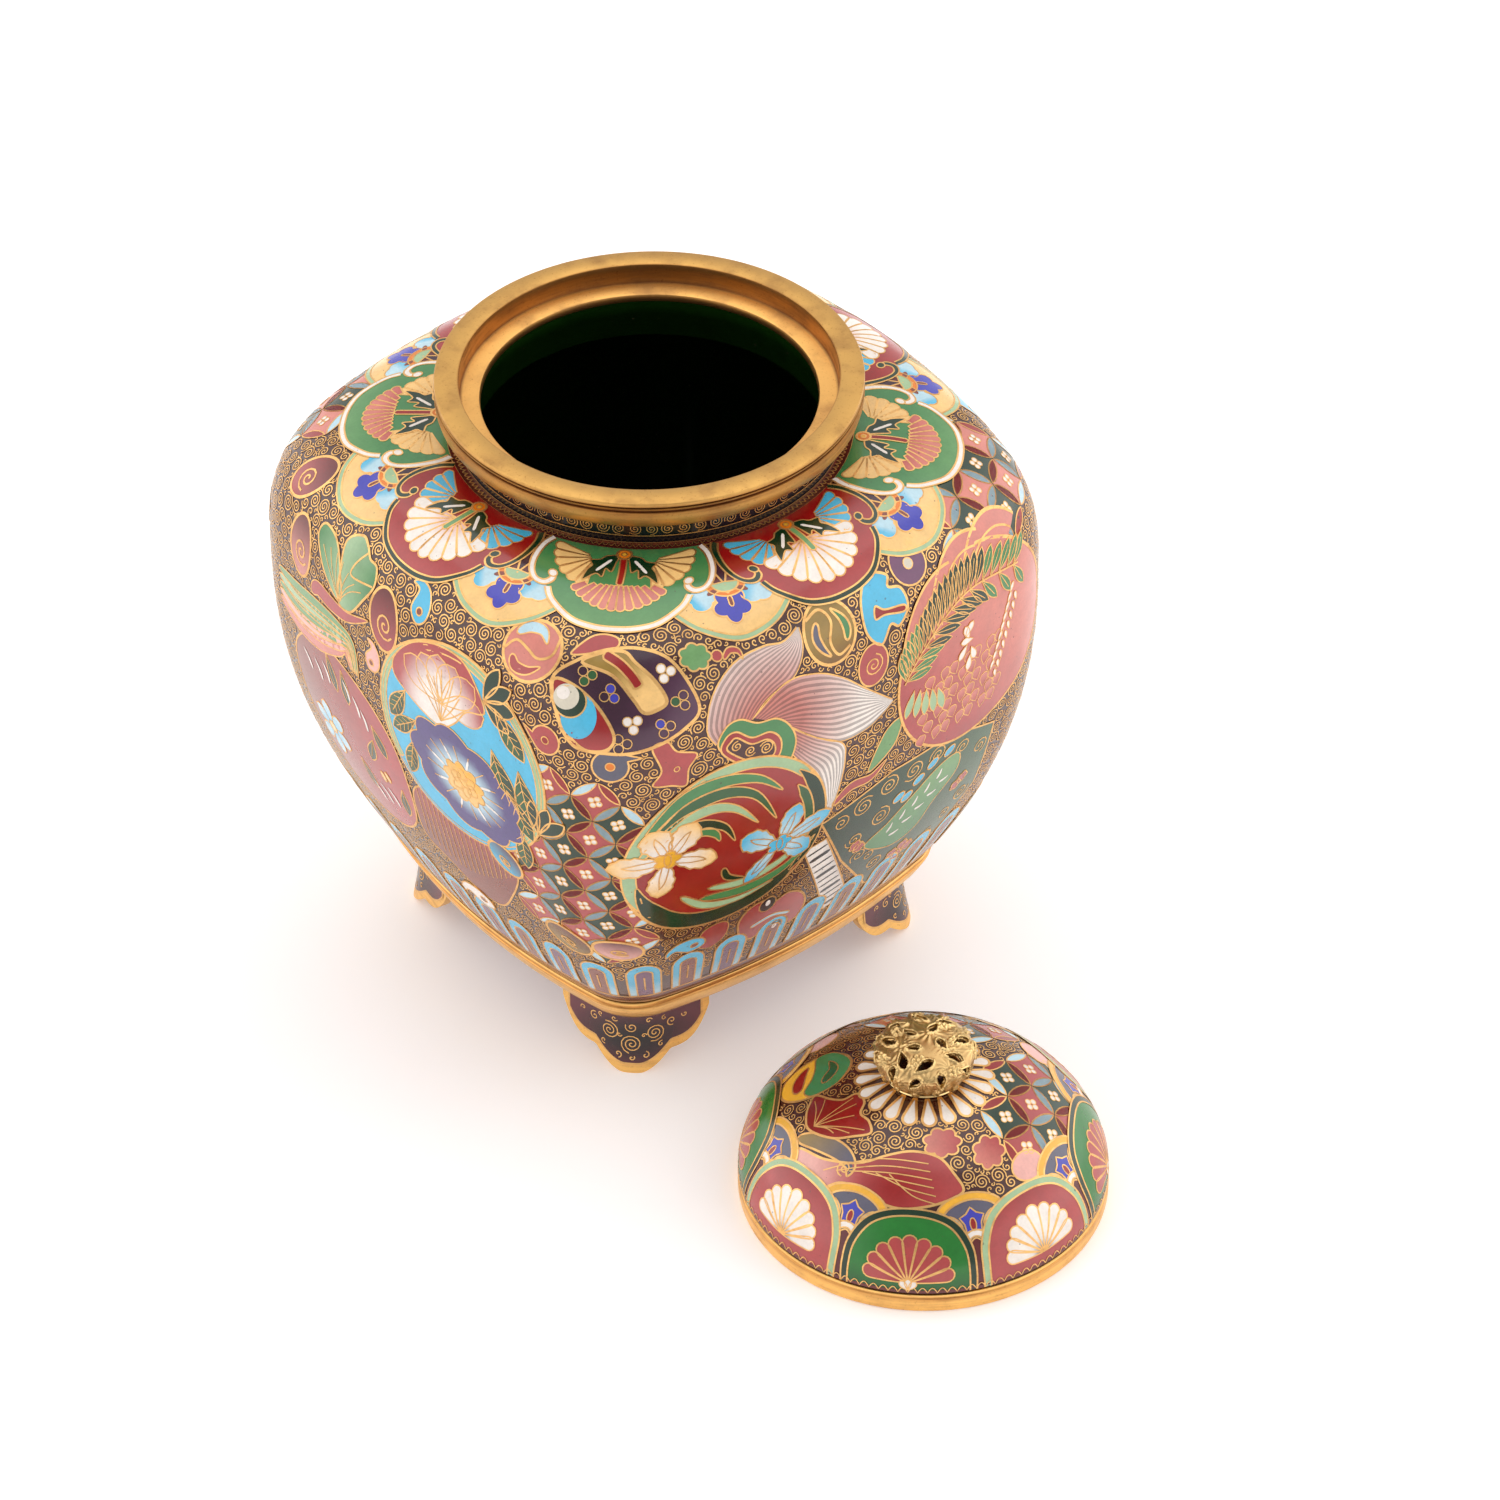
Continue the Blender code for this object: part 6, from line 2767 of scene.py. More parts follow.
    @staticmethod
    def field_roundel(b: Brush) -> None:
        """Brown-pink roundel with a light-blue flower, dark leaves and white strokes."""
        outline = [
            (-12.5, 4.6), (-7.4, 10.0), (-1.0, 11.2), (4.7, 10.0), (9.9, 7.1), (13.5, 2.6), (14.7, -4.2),
            (13.4, -10.6), (9.0, -14.8), (2.3, -16.0), (-3.9, -14.4), (-9.4, -9.8), (-12.6, -3.4)
        ]
        b.cell(smooth(outline), Fade(Hue.BROWN, Hue.ROSE, (1, 0), 12, 22), 0.36)
        for x, y, turn, size in (
            (-2.2, 10.1, -160, 6.0), (1.7, 9.5, -170, 5.6), (8.1, 3.9, -150, 5.2), (7.6, 0.9, 160, 5.0),
            (12.3, -5.3, 175, 5.4), (2.0, -6.0, -150, 5.0)
        ):
            leaf = b.at(x, y, turn, up=1)
            leaf.cell(petal(size, 2.0, 0.6, 10), Hue.DARK_GREEN, FINE)
            leaf.raised().line(np.array([(0, 0.5), (0, size * 0.8)]), 0.13)
        for k in range(6):
            b.at(-5.4, -5.6, 60 * k + 12, up=2).cell(
                petal(4.6, 2.6, 1.0, 10), Fade(Hue.SKY, Hue.PALE_BLUE, (0, 1), 0, 4), FINE
            )
        b.at(-5.4, -5.6, up=3).cell(circle(1.0, 14), Hue.CREAM, FINE)
        for x, y, turn in (
            (-8.4, 5.0, 40), (-5.2, 5.2, 30), (-2.8, 6.2, 26), (2.6, 6.4, 24), (4.8, 5.0, 22),
            (6.4, 3.6, 20), (5.0, -10.4, 38), (7.0, -9.6, 36), (9.0, -9.0, 34)
        ):
            b.at(x, y, turn, up=3).fill(blade([(0, -1.7), (0.3, 0.0), (0, 1.7)], 0.5, 4), Hue.WHITE)
        for x, y in ((8.0, -5.6), (9.2, -5.0)):
            b.at(x, y, 30, up=3).cell(ellipse(0.5, 0.9, 10), Hue.CREAM, 0.14)

    @staticmethod
    def rayed_cloud(b: Brush) -> None:
        """Brown cloud with fine upright wires in it."""
        outline = [
            (-5.6, 5.0), (-2.0, 6.4), (1.4, 5.6), (5.0, 7.6), (9.4, 7.6), (12.6, 4.6), (12.0, -1.0),
            (9.6, -6.4), (6.0, -11.6), (1.6, -12.0), (-3.0, -9.0), (-7.4, -6.6), (-8.0, -1.6), (-7.6, 2.6)
        ]
        b.cell(smooth(outline), Fade(Hue.BROWN, Hue.ROSE, (0, 1), 4, 12), 0.3)
        for k in range(18):
            x = -6.6 + 1.0 * k
            low, high = -7.6 + 0.12 * abs(k - 6) ** 1.6, 4.4 + 1.6 * math.sin(k * 0.7)
            b.raised().line(smooth([(x, low), (x + 0.2, (low + high) / 2), (x - 0.1, high)], False), 0.12)

    @staticmethod
    def pennant(b: Brush) -> None:
        """Dark-green pennant with gold curls and a pale leaf with white strokes."""
        shape = [
            (-14.6, 3.6), (-3.0, 7.4), (8.0, 7.6), (18.0, 3.4), (17.6, -9.0), (10.7, -18.4), (-0.7, -18.4),
            (-9.0, -7.0)
        ]
        outline = along(np.array(shape), 2.0, True)
        b.cell(outline, Fade(Hue.DARK_GREEN, Hue.MOSS, (1, 0), 8, 30), BOLD)
        for x, y, radius, hand in (
            (-11.0, 1.9, 1.5, 1), (-7.4, 3.2, 1.9, -1), (-3.2, 4.8, 1.9, 1), (1.4, 5.0, 1.9, -1),
            (6.0, 5.2, 1.7, 1), (-7.6, -3.4, 1.6, -1), (-3.6, -1.0, 1.9, 1), (-5.6, -8.0, 1.5, 1),
            (-1.4, -12.6, 1.7, -1), (15.6, 0.4, 1.6, -1), (11.4, 3.2, 1.6, 1), (14.6, -8.6, 1.7, 1),
            (9.8, -15.0, 1.8, -1), (1.4, -16.2, 1.4, 1), (12.2, -11.8, 1.3, 1), (-3.4, -9.6, 1.2, 1),
            (5.4, -16.6, 1.3, 1)
        ):
            b.at(x, y, 20 * x, up=1).line(spiral(radius, radius * 1.3, hand), 0.2)
        leaf = [
            (-5.0, -6.6), (-1.6, -3.8), (2.2, -0.6), (6.6, 2.4), (10.6, 2.6), (11.2, -1.2), (7.6, -5.4),
            (5.4, -9.4), (1.0, -10.4)
        ]
        b.raised(2).cell(smooth(leaf), Fade(Hue.GREEN, Hue.LEAF, (0, 1), 9, 10), 0.2)
        for k in range(5):
            for side in (1, -1):
                x, y = -0.2 + 2.0 * k - 0.65 * side, -6.2 + 1.45 * k + 0.9 * side
                b.at(x, y, -54 + 32 * side, up=3).fill(
                    blade([(0, -0.8), (0.15, 0.1), (0, 1.1)], 0.45, 4), Hue.WHITE
                )
        for x, y in ((-0.6, 1.0), (1.0, 0.2), (2.8, 2.4), (5.2, 4.0), (8.4, 4.4)):
            b.at(x, y, 30, up=3).cell(ellipse(1.1, 0.75, 12), Hue.SKY, FINE)
        for x, y in (
            (-6.2, -5.8), (-7.0, -5.0), (4.2, -12.6), (2.4, -13.4), (5.6, -13.8), (3.8, -14.8),
            (12.2, -5.2), (13.4, -4.4)
        ):
            b.at(x, y, up=3).cell(lobed(0.95, 5, 0.14, 20), Hue.ROSE, FINE)

    @staticmethod
    def hatched(b: Brush) -> None:
        """White strip crossed by dark strokes."""
        shape = np.array([(-4.8, 8.6), (2.7, -10.8), (6.5, -9.6), (-1.1, 9.2)])
        b.cell(along(shape, 1.5, True), Fade(Hue.WHITE, Hue.GREY, (1, 0.4), -1, 6), EVEN)
        run, across = np.array([7.5, -19.2]) / 20.6, np.array([3.7, 0.9])
        for k in range(11):
            start = np.array([-4.6, 8.0]) + run * (1.1 + 1.75 * k)
            width = 0.8 if k % 3 == 1 else 0.36
            b.raised().fill(
                stroke([tuple(start + across * 0.06), tuple(start + across * 0.94)], width, 5), Hue.NAVY
            )

    @staticmethod
    def spool(b: Brush) -> None:
        """Brown-red spool with dark eyes."""
        points = [
            (-4.8, -1.4), (-5.0, 1.6), (-3.6, 3.9), (-1.4, 4.2), (0.2, 2.6), (2.4, 3.4), (4.8, 1.6),
            (5.9, -1.8), (5.2, -5.4), (3.0, -6.2), (1.4, -4.6), (-0.2, -3.2), (-1.6, -5.4), (-3.8, -4.4)
        ]
        b.cell(smooth(points), Fade(Hue.RED, Hue.ROSE, (1, 0), 5, 9), BOLD)
        b.raised().cell(stroke([(-2.8, -1.8), (0.4, -1.0), (3.4, -2.6)], 0.7), Hue.PALE_BLUE, FINE)
        for x, y in ((-0.8, 2.9), (1.4, -5.0)):
            b.at(x, y, up=1).cell(ellipse(1.3, 1.7, 18), Hue.BLACK, FINE)
            b.at(x, y + 0.3, up=2).fill(ellipse(0.4, 0.7, 10), Hue.WHITE)
        wing = [
            (-11.2, 0.6), (-10.4, 3.0), (-8.2, 3.6), (-6.8, 2.4), (-7.0, -0.8), (-8.8, -2.6), (-10.6, -1.6)
        ]
        b.cell(smooth(wing), Hue.RED, FINE)

    @staticmethod
    def green_flower(b: Brush) -> None:
        """Green lily with folded petals and a trailing scroll."""
        for k in range(5):
            drop = 1.5 * k
            path = [
                (-17.4, -12.6 - drop * 0.8), (-11.7, -12.2 - drop), (-5.7, -11.2 - drop),
                (-0.4, -10.6 - drop * 0.7), (3.6 - 0.3 * drop, -11.0 - drop * 0.4),
                (5.0 - 0.3 * drop, -15.6)
            ]
            hue = (Hue.LEAF, Hue.PALE_GREEN, Hue.LEAF, Hue.PALE_PINK, Hue.PINK)[k]
            b.cell(blade(path, 2.1), hue, FINE)
        left = [
            (-0.1, -6.4), (-3.4, -4.6), (-5.6, -2.4), (-7.1, -0.3), (-6.6, 1.4), (-4.6, 1.6), (-2.6, 0.9),
            (-0.8, -1.0), (0.9, -4.7)
        ]
        right = [
            (0.2, -6.4), (-0.3, -1.6), (-1.1, 2.4), (1.0, 4.4), (3.0, 3.9), (4.4, 3.0), (6.2, 2.8),
            (7.1, 0.4), (5.6, -2.8), (3.2, -6.2)
        ]
        b.raised().cell(smooth(left), Fade(Hue.GREEN, Hue.PALE_GREEN, (1, 0), 7, 8), BOLD)
        b.raised().cell(smooth(right), Fade(Hue.PALE_GREEN, Hue.GREEN, (1, 0), 1, 8), BOLD)
        fold = smooth([(3.6, 3.4), (2.2, 0.6), (2.4, -1.0), (6.8, 0.2)], False)
        b.raised(2).line(fold, 0.28)
        for k in range(7):
            top = (-5.2 + 1.7 * k, -1.0 + 0.9 * math.sin(k * 0.8))
            b.raised(2).line(smooth([(0.4, -6.2), ((top[0] + 0.2) / 2, -3.4), top], False), 0.14)
        b.raised(2).cell(
            blade([(-6.7, -9.6), (-5.2, -8.0), (-1.6, -8.0), (2.6, -7.4), (7.4, -4.8)], 2.3), Hue.ROSE, FINE
        )


@dataclass(frozen=True)
class Setting:
    """Where a motif sits on an enamelled surface.

    Args:
        draw: The function that draws it.
        around: The angle round the axis, in degrees.
        down: The distance down the surface.
        reach: How much room it takes.
        spin: How far it is turned, in degrees.
        level: The layer it starts on.
        more: What the function takes besides the brush.
    """

    draw: Callable[..., None]
    around: float
    down: float
    reach: float = 4.0
    spin: float = 0.0
    level: float = 1.0
    more: tuple = ()


def body_settings() -> list[Setting]:
    """Return the body's motifs that the photo shows, from the lowest layer up.

    Returns:
        The settings.
    """
    patch = smooth(
        [(-9.5, 6.0), (0.0, 9.5), (7.5, 3.0), (7.5, -14.0), (0.0, -25.0), (-9.5, -19.0), (-12.0, -6.0)]
    )
    side = smooth([(-9.0, 9.0), (9.0, 9.0), (11.0, -6.0), (-9.0, -9.5)])
    leaf = smooth([(-1.2, -4.2), (-1.4, 2.0), (0.8, 4.2), (1.6, 0.0)])
    wave = blade([(-4.4, -1.6), (-1.4, 0.4), (2.0, 0.2), (4.6, 2.0)], 1.5)
    rows = [
        (Shippo(4.7, 38).draw, -137.5, 47.1, 13.0, 0, 0.0, (patch,)),
        (Shippo(5.2, 12, True).draw, -52.2, 19.0, 11.0, 0, 0.0, (side,)),
        (Shippo(5.2, -20, True).draw, 124.0, 22.0, 10.0, 0, 0.0, (side * 0.8,)),
        (Motifs.rayed_cloud, -166.5, 55.1, 10.0),
        (Motifs.field_roundel, 163.0, 50.0, 14.0),
        (Motifs.pennant, -78.9, 55.6, 16.0),
        (Motifs.hatched, -95.0, 63.8, 7.0, 0, 3.0),
        (Motifs.fern_roundel, -67.2, 34.5, 14.5, 0, 4.0),
        (Motifs.plume, -110.9, 30.8, 13.0, 0, 1.0),
        (Motifs.green_flower, 165.7, 21.5, 8.0, 0, 2.0),
        (Motifs.peony, -161.4, 36.9, 15.5, 0, 5.0),
        (Motifs.oval, -115.4, 49.5, 15.5, 0, 6.0),
        (Motifs.red_half, -137.7, 18.2, 3.0),
        (Motifs.lens, -131.7, 25.5, 9.5, 0, 2.0),
        (Motifs.tomoe_pink, -148.3, 19.9, 4.3),
        (Motifs.green_blob, -121.0, 19.6, 4.0),
        (Motifs.puzzle, -126.5, 34.4, 4.0),
        (curl_disc, -134.3, 34.6, 3.0, 0, 1.0, (2.4, Hue.GREY, 20.0)),
        (curl_disc, -144.1, 31.7, 3.0, 0, 1.0, (2.1, Hue.ROSE, 165.0, Hue.RED)),
        (Motifs.olive_tomoe, -95.7, 19.7, 4.6, 8),
        (Motifs.bone_cloud, -83.6, 20.5, 5.0),
        (Motifs.ring_disc, -75.2, 17.2, 3.4),
        (Motifs.red_disc, -88.0, 27.1, 3.2),
        (Motifs.spool, -106.5, 68.0, 6.0, 0, 3.0),
        (drop_comma, -123.0, 71.5, 3.0, 60, 6.0, (Hue.SKY,)),
        (drop_comma, -172.9, 18.8, 3.0, 0, 1.0, (Hue.SKY,)),
        (drop_comma, 176.1, 31.9, 2.8, -30, 1.0, (Hue.PALE_PINK, 0.9)),
        (snail, 146.6, 20.4, 4.6, -24, 1.0, (2.9, 4.4, Hue.ROSE)),
        (snail, 152.7, 28.0, 4.8, 6, 1.0, (2.9, 4.6, Hue.PINK)),
        (snail, 179.0, 24.2, 4.8, 8, 1.0, (3.0, 4.6, Hue.ROSE)),
        (snail, -153.6, 55.4, 3.4, -38, 8.0, (3.2, 2.3, Hue.SKY)),
        (snail, -134.6, 70.5, 3.4, -12, 9.0, (3.4, 2.4, Hue.PALE_PINK)),
        (snail, -143.1, 69.8, 3.6, -20, 8.0, (3.6, 2.6, Hue.OLIVE)),
        (drop_comma, -165.4, 69.0, 3.4, 70, 8.0, (Hue.WHITE, 1.1)),
        (Brush.cell, -84.9, 42.0, 4.0, -26, 1.0, (leaf, Hue.LEAF)),
        (Brush.cell, -90.5, 46.6, 4.0, 0, 1.0, (wave, Hue.ROSE)),
    ]
    return [Setting(*row) for row in rows]


@dataclass
class Scatter:
    """Sets motifs on a surface, with copies of them on the sides that the photo hides.

    Args:
        surface: The surface.
        cells: Where the motifs' cells are gathered.
        settings: The motifs, from the lowest layer up.
        room: The least room between a copy and another motif.
        hidden: The angles between which the photo hides the surface, in degrees.
    """

    surface: Surface
    cells: Cells
    settings: list[Setting]
    room: float = 0.4
    hidden: tuple[float, float] = (-32.0, 138.0)

    TURNS = (90, 180, 270, 130, 220, 150, 240, 110, 200, 60, 165, 75, 255, 120, 235)

    def spots(self) -> list[Setting]:
        """Return the photo's own motifs and the copies that find room.

        Returns:
            The settings.
        """
        taken = [(s, self.surface.point(np.array([s.around]), np.array([s.down]))[0]) for s in self.settings]
        for setting in sorted(self.settings, key=lambda one: -one.reach):
            copies = 0
            for turn in self.TURNS:
                around = (setting.around + turn + 180) % 360 - 180
                if copies == 2 or not self.hidden[0] < around < self.hidden[1]:
                    continue
                moved = replace(setting, around=around, spin=setting.spin + turn % 17 - 8)
                place = self.surface.point(np.array([around]), np.array([moved.down]))[0]
                needed = [moved.reach + kept.reach + self.room for kept, _ in taken]
                if all(np.linalg.norm(place - other) > need for need, (_, other) in zip(needed, taken)):
                    taken.append((moved, place))
                    copies += 1
        return [setting for setting, _ in taken]

    def draw(self) -> None:
        """Draw every motif."""
        for setting in self.spots():
            drape = self.surface.spot(setting.around, setting.down, setting.spin)
            setting.draw(Brush(self.cells, drape, setting.level), *setting.more)


@dataclass
class LowerBorder:
    """The row of light-blue arches above the gilt band."""

    surface: Surface
    cells: Cells
    bottom: float
    pitch: float = 6.0
    foot: float = 3.4
    rise: float = 13.5

    def draw(self) -> None:
        """Draw a quarter of the arches and of the wires under them."""
        girth = Girth(self.surface, self.bottom + 0.2)
        quarter = girth.perimeter / 4
        count = 2 * round(quarter / self.pitch / 2)
        pitch = quarter / count
        for k in range(count):
            brush = Brush(self.cells, girth, level=4.0, middle=((k + 0.5) * pitch, self.foot))
            wide, rise = 0.37 * pitch, 0.6 * self.rise
            arch = np.concatenate(
                [[(-wide, 0.0), (wide, 0.0)], arc(wide, 0, 180, 14) * (1.0, 1.5) + (0, rise)]
            )
            brush.cell(along(arch, 1.5, True), Fade(Hue.PALE_BLUE, Hue.SKY, (0, 1), 0, 5), EVEN)
            core = np.concatenate(
                [[(-wide / 2, 0.0), (wide / 2, 0.0)], arc(wide / 2, 0, 180, 10) * (1, 1.3) + (0, rise)]
            )
            brush.raised().cell(along(core, 1.5, True), (Hue.BROWN, Hue.MAUVE)[k % 2], FINE)
            brush.at(0, rise * 0.3, up=2).line(np.array([(0.0, 0.0), (0.0, rise * 0.6)]), FINE)
        run = np.linspace(0, quarter, 75)
        for height, width in ((self.foot - 0.3, 0.28), (0.6, 0.24)):
            self.cells.wire(girth, np.stack([run, np.full(75, height)], 1), width, 5.0)


@dataclass
class Scrolls:
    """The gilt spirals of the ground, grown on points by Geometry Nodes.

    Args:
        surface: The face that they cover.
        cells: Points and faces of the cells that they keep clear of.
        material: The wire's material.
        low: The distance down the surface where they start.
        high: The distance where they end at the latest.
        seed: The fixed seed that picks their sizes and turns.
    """

    surface: Surface
    cells: list[tuple[Points, Points]]
    material: bpy.types.Material
    low: float
    high: float
    seed: int = 7
    pitch: float = 0.43
    wire: float = 0.155
    spacing: float = 0.25
    margin: float = 4.2

    SIZES = (1.5, 1.26, 1.04, 0.8, 0.6, 0.44, 0.32)
    GAP = 0.1
    LAP = 0.18

    def candidates(self) -> tuple[Points, Points]:
        """Return a close grid of points on the face and their outward directions.

        Returns:
            The points and the directions.
        """
        around, down = [], []
        for level in np.arange(self.low, self.high, self.spacing):
            ring = self.surface.point(np.arange(0, 360, 4.0), np.full(90, level))
            run = float(np.sum(np.linalg.norm(np.roll(ring, -1, 0) - ring, axis=1)))
            count = max(6, int(run / self.spacing))
            turns = np.arange(count) * 360 / count + (level * 71) % 7 - 180
            around.append(turns)
            down.append(np.full(count, level))
        around, down = np.concatenate(around), np.concatenate(down)
        limit = np.array(
            [
                self.surface.down[-1, int((a + 180) / 360 * self.surface.steps) % self.surface.steps]
                for a in around
            ]
        )
        keep = down < limit - self.margin
        return self.surface.point(around[keep], down[keep]), self.surface.normal(around[keep], down[keep])

    def pack(self) -> list[tuple[Points, Points, float]]:
        """Return a middle, a direction and a radius for each spiral.

        Returns:
            The spirals, largest first.
        """
        spots, outs = self.candidates()
        starts = np.cumsum([0] + [len(points) for points, _ in self.cells])
        cell_spots = np.concatenate([points for points, _ in self.cells])
        cell_faces = np.concatenate([faces + start for (_, faces), start in zip(self.cells, starts)])
        tree = BVHTree.FromPolygons(cell_spots.tolist(), cell_faces.tolist())
        found = [tree.find_nearest(Vector(spot), 2.0)[3] for spot in spots]
        room = np.array([9.0 if away is None else away for away in found])
        near = KDTree(len(spots))
        for i, spot in enumerate(spots):
            near.insert(spot, i)
        near.balance()
        dice = np.random.default_rng(self.seed)
        placed = []
        for stage, limit in enumerate(self.SIZES[2:]):
            for i in np.nonzero(room >= limit + self.GAP)[0]:
                wish = self.SIZES[int(dice.integers(0, 3))] if stage == 0 else limit
                if room[i] < wish + self.GAP:
                    continue
                radius = min(wish * float(dice.uniform(0.98, 1.1)), room[i])
                placed.append((spots[i], outs[i], radius))
                for _, j, away in near.find_range(Vector(spots[i]), radius + 1.8):
                    room[j] = min(room[j], away - radius + self.LAP)
        return placed

    def tree(self) -> Growth:
        """Return the tree that sets a spiral wire on every point.

        Returns:
            The tree.
        """
        growth = Growth("scrolls")
        growth.size("Turns", "Float")
        growth.size("Wire", "Float")
        growth.size("Steps", "Int")
        share = growth.node("GeometryNodeMeshGrid", {"Vertices X": growth.given("Steps"), "Vertices Y": 2})
        place = growth.node("GeometryNodeInputPosition").outputs[0]
        parts = growth.node("ShaderNodeSeparateXYZ", {0: place})
        along_wire = growth.math("ADD", parts.outputs[0], 0.5)
        along_wire = growth.math("MULTIPLY_ADD", along_wire, 0.94, 0.06)
        aside = growth.math("MULTIPLY", parts.outputs[1], growth.given("Wire"))
        reach = growth.math("SUBTRACT", along_wire, aside)
        turn = growth.math(
            "MULTIPLY", growth.math("MULTIPLY", along_wire, growth.given("Turns")), 2 * math.pi
        )
        x = growth.math("MULTIPLY", reach, growth.math("COSINE", turn))
        y = growth.math("MULTIPLY", reach, growth.math("SINE", turn))
        coil = growth.node("ShaderNodeCombineXYZ", {0: x, 1: y, 2: 0.0}).outputs[0]
        wire = growth.node(
            "GeometryNodeSetPosition", {"Geometry": share.outputs[0], "Position": coil}
        ).outputs[0]
        out = growth.node(
            "GeometryNodeInputNamedAttribute", {"Name": "out"}, data_type="FLOAT_VECTOR"
        ).outputs[0]
        size = growth.node("GeometryNodeInputNamedAttribute", {"Name": "size"}, data_type="FLOAT").outputs[0]
        spin = growth.node("GeometryNodeInputNamedAttribute", {"Name": "spin"}, data_type="FLOAT").outputs[0]
        lean = growth.node("FunctionNodeAlignRotationToVector", {"Vector": out}, axis="Z").outputs[0]
        roll = growth.node(
            "FunctionNodeAxisAngleToRotation", {"Axis": (0.0, 0.0, 1.0), "Angle": spin}
        ).outputs[0]
        turned_in = growth.node(
            "FunctionNodeRotateRotation", {"Rotation": lean, "Rotate By": roll}, rotation_space="LOCAL"
        ).outputs[0]
        points = growth.node("GeometryNodeMeshToPoints", {"Mesh": growth.given("Geometry")}).outputs[0]
        placed = growth.node(
            "GeometryNodeInstanceOnPoints",
            {"Points": points, "Instance": wire, "Rotation": turned_in, "Scale": size},
        ).outputs[0]
        growth.close(growth.node("GeometryNodeSetShadeSmooth", {"Geometry": placed}).outputs[0])
        return growth

    def build(self, name: str, placed: Sequence[tuple[Points, Points, float]]) -> bpy.types.Object:
        """Grow spirals and join them into one piece.

        Args:
            name: The piece's name.
            placed: The spirals, as `pack` returns them.

        Returns:
            The finished piece.
        """
        growth = self.tree()
        dice = np.random.default_rng(self.seed + 1)
        hands = dice.integers(0, 2, len(placed)) * 2 - 1
        groups: dict[tuple[int, int], list[int]] = {}
        for i, (_, _, radius) in enumerate(placed):
            key = (int(np.argmin([abs(radius - size) for size in self.SIZES])), int(hands[i]))
            groups.setdefault(key, []).append(i)
        parts = []
        for (size, hand), chosen in sorted(groups.items()):
            picked = [placed[i] for i in chosen]
            parts.append(self.group(growth, f"{name}_{size}_{hand}", picked, self.SIZES[size], hand, dice))
        return join_pieces(name, parts)

    def group(
        self,
        growth: Growth,
        name: str,
        placed: Sequence[tuple[Points, Points, float]],
        size: float,
        hand: int,
        dice: np.random.Generator,
    ) -> bpy.types.Object:
        """Grow the spirals of one size and hand.

        Args:
            growth: The tree.
            name: The piece's name.
            placed: The spirals.
            size: Their usual radius.
            hand: Which way they turn.
            dice: The seeded source of their turns.

        Returns:
            The piece.
        """
        mesh = bpy.data.meshes.new(name)
        axis = np.array(self.surface.axis)
        spots = [(spot + axis + out * 0.045) * MM for spot, out, _ in placed]
        mesh.from_pydata([tuple(s) for s in spots], [], [])
        rows = (
            ("out", "FLOAT_VECTOR", "vector", np.ravel([out for _, out, _ in placed])),
            ("size", "FLOAT", "value", [radius * MM for _, _, radius in placed]),
            ("spin", "FLOAT", "value", dice.uniform(0, 6.28, len(placed))),
        )
        for label, kind, part, values in rows:
            mesh.attributes.new(label, kind, "POINT").data.foreach_set(part, values)
        turns = float(max(1.0, size / self.pitch) * hand)
        steps = int(max(11, 12.5 * abs(turns)))
        piece = growth.run(
            name, mesh, Material=self.material, Turns=turns, Wire=float(self.wire / size), Steps=steps
        )
        if hand < 0:
            piece.data.flip_normals()
        return piece


def join_pieces(name: str, parts: Sequence[bpy.types.Object]) -> bpy.types.Object:
    """Join pieces that share a material into one.

    Args:
        name: The new piece's name.
        parts: The pieces, which are used up.

    Returns:
        The piece.
    """
    whole = bmesh.new()
    for part in parts:
        whole.from_mesh(part.data)
    mesh = bpy.data.meshes.new(name)
    whole.to_mesh(mesh)
    whole.free()
    mesh.materials.append(parts[0].data.materials[0])
    piece = bpy.data.objects.new(name, mesh)
    bpy.context.scene.collection.objects.link(piece)
    for part in parts:
        bpy.data.objects.remove(part)
    return piece


class Ring(Growth):
    """Sets copies of a piece evenly round an upright axis."""

    def __init__(self) -> None:
        """Write the tree."""
        super().__init__("ring")
        self.size("Copies", "Int")
        self.size("Axis", "Vector")
        copies = self.given("Copies")
        line = self.node(
            "GeometryNodeMeshLine",
            {"Count": copies, "Start Location": self.given("Axis"), "Offset": (0.0, 0.0, 0.0)},
        ).outputs[0]
        points = self.node("GeometryNodeMeshToPoints", {"Mesh": line}).outputs[0]
        index = self.node("GeometryNodeInputIndex").outputs[0]
        turn = self.math("MULTIPLY", self.math("DIVIDE", index, copies), 2 * math.pi)
        spin = self.node(
            "FunctionNodeAxisAngleToRotation", {"Axis": (0.0, 0.0, 1.0), "Angle": turn}
        ).outputs[0]
        self.close(
            self.node(
                "GeometryNodeInstanceOnPoints",
                {"Points": points, "Instance": self.given("Geometry"), "Rotation": spin},
            ).outputs[0]
        )

    def repeat(self, piece: bpy.types.Object, count: int, axis: Vector) -> bpy.types.Object:
        """Return copies of a piece that was drawn round the origin, in its place.

        Args:
            piece: The piece; it is used up.
            count: How many copies go round.
            axis: The foot of the axis, in millimetres.

        Returns:
            The copies as one piece.
        """
        name, mesh = piece.name, piece.data
        bpy.data.objects.remove(piece)
        place = tuple(part * MM for part in axis)
        return self.run(name, mesh, Material=mesh.materials[0], Copies=count, Axis=place)


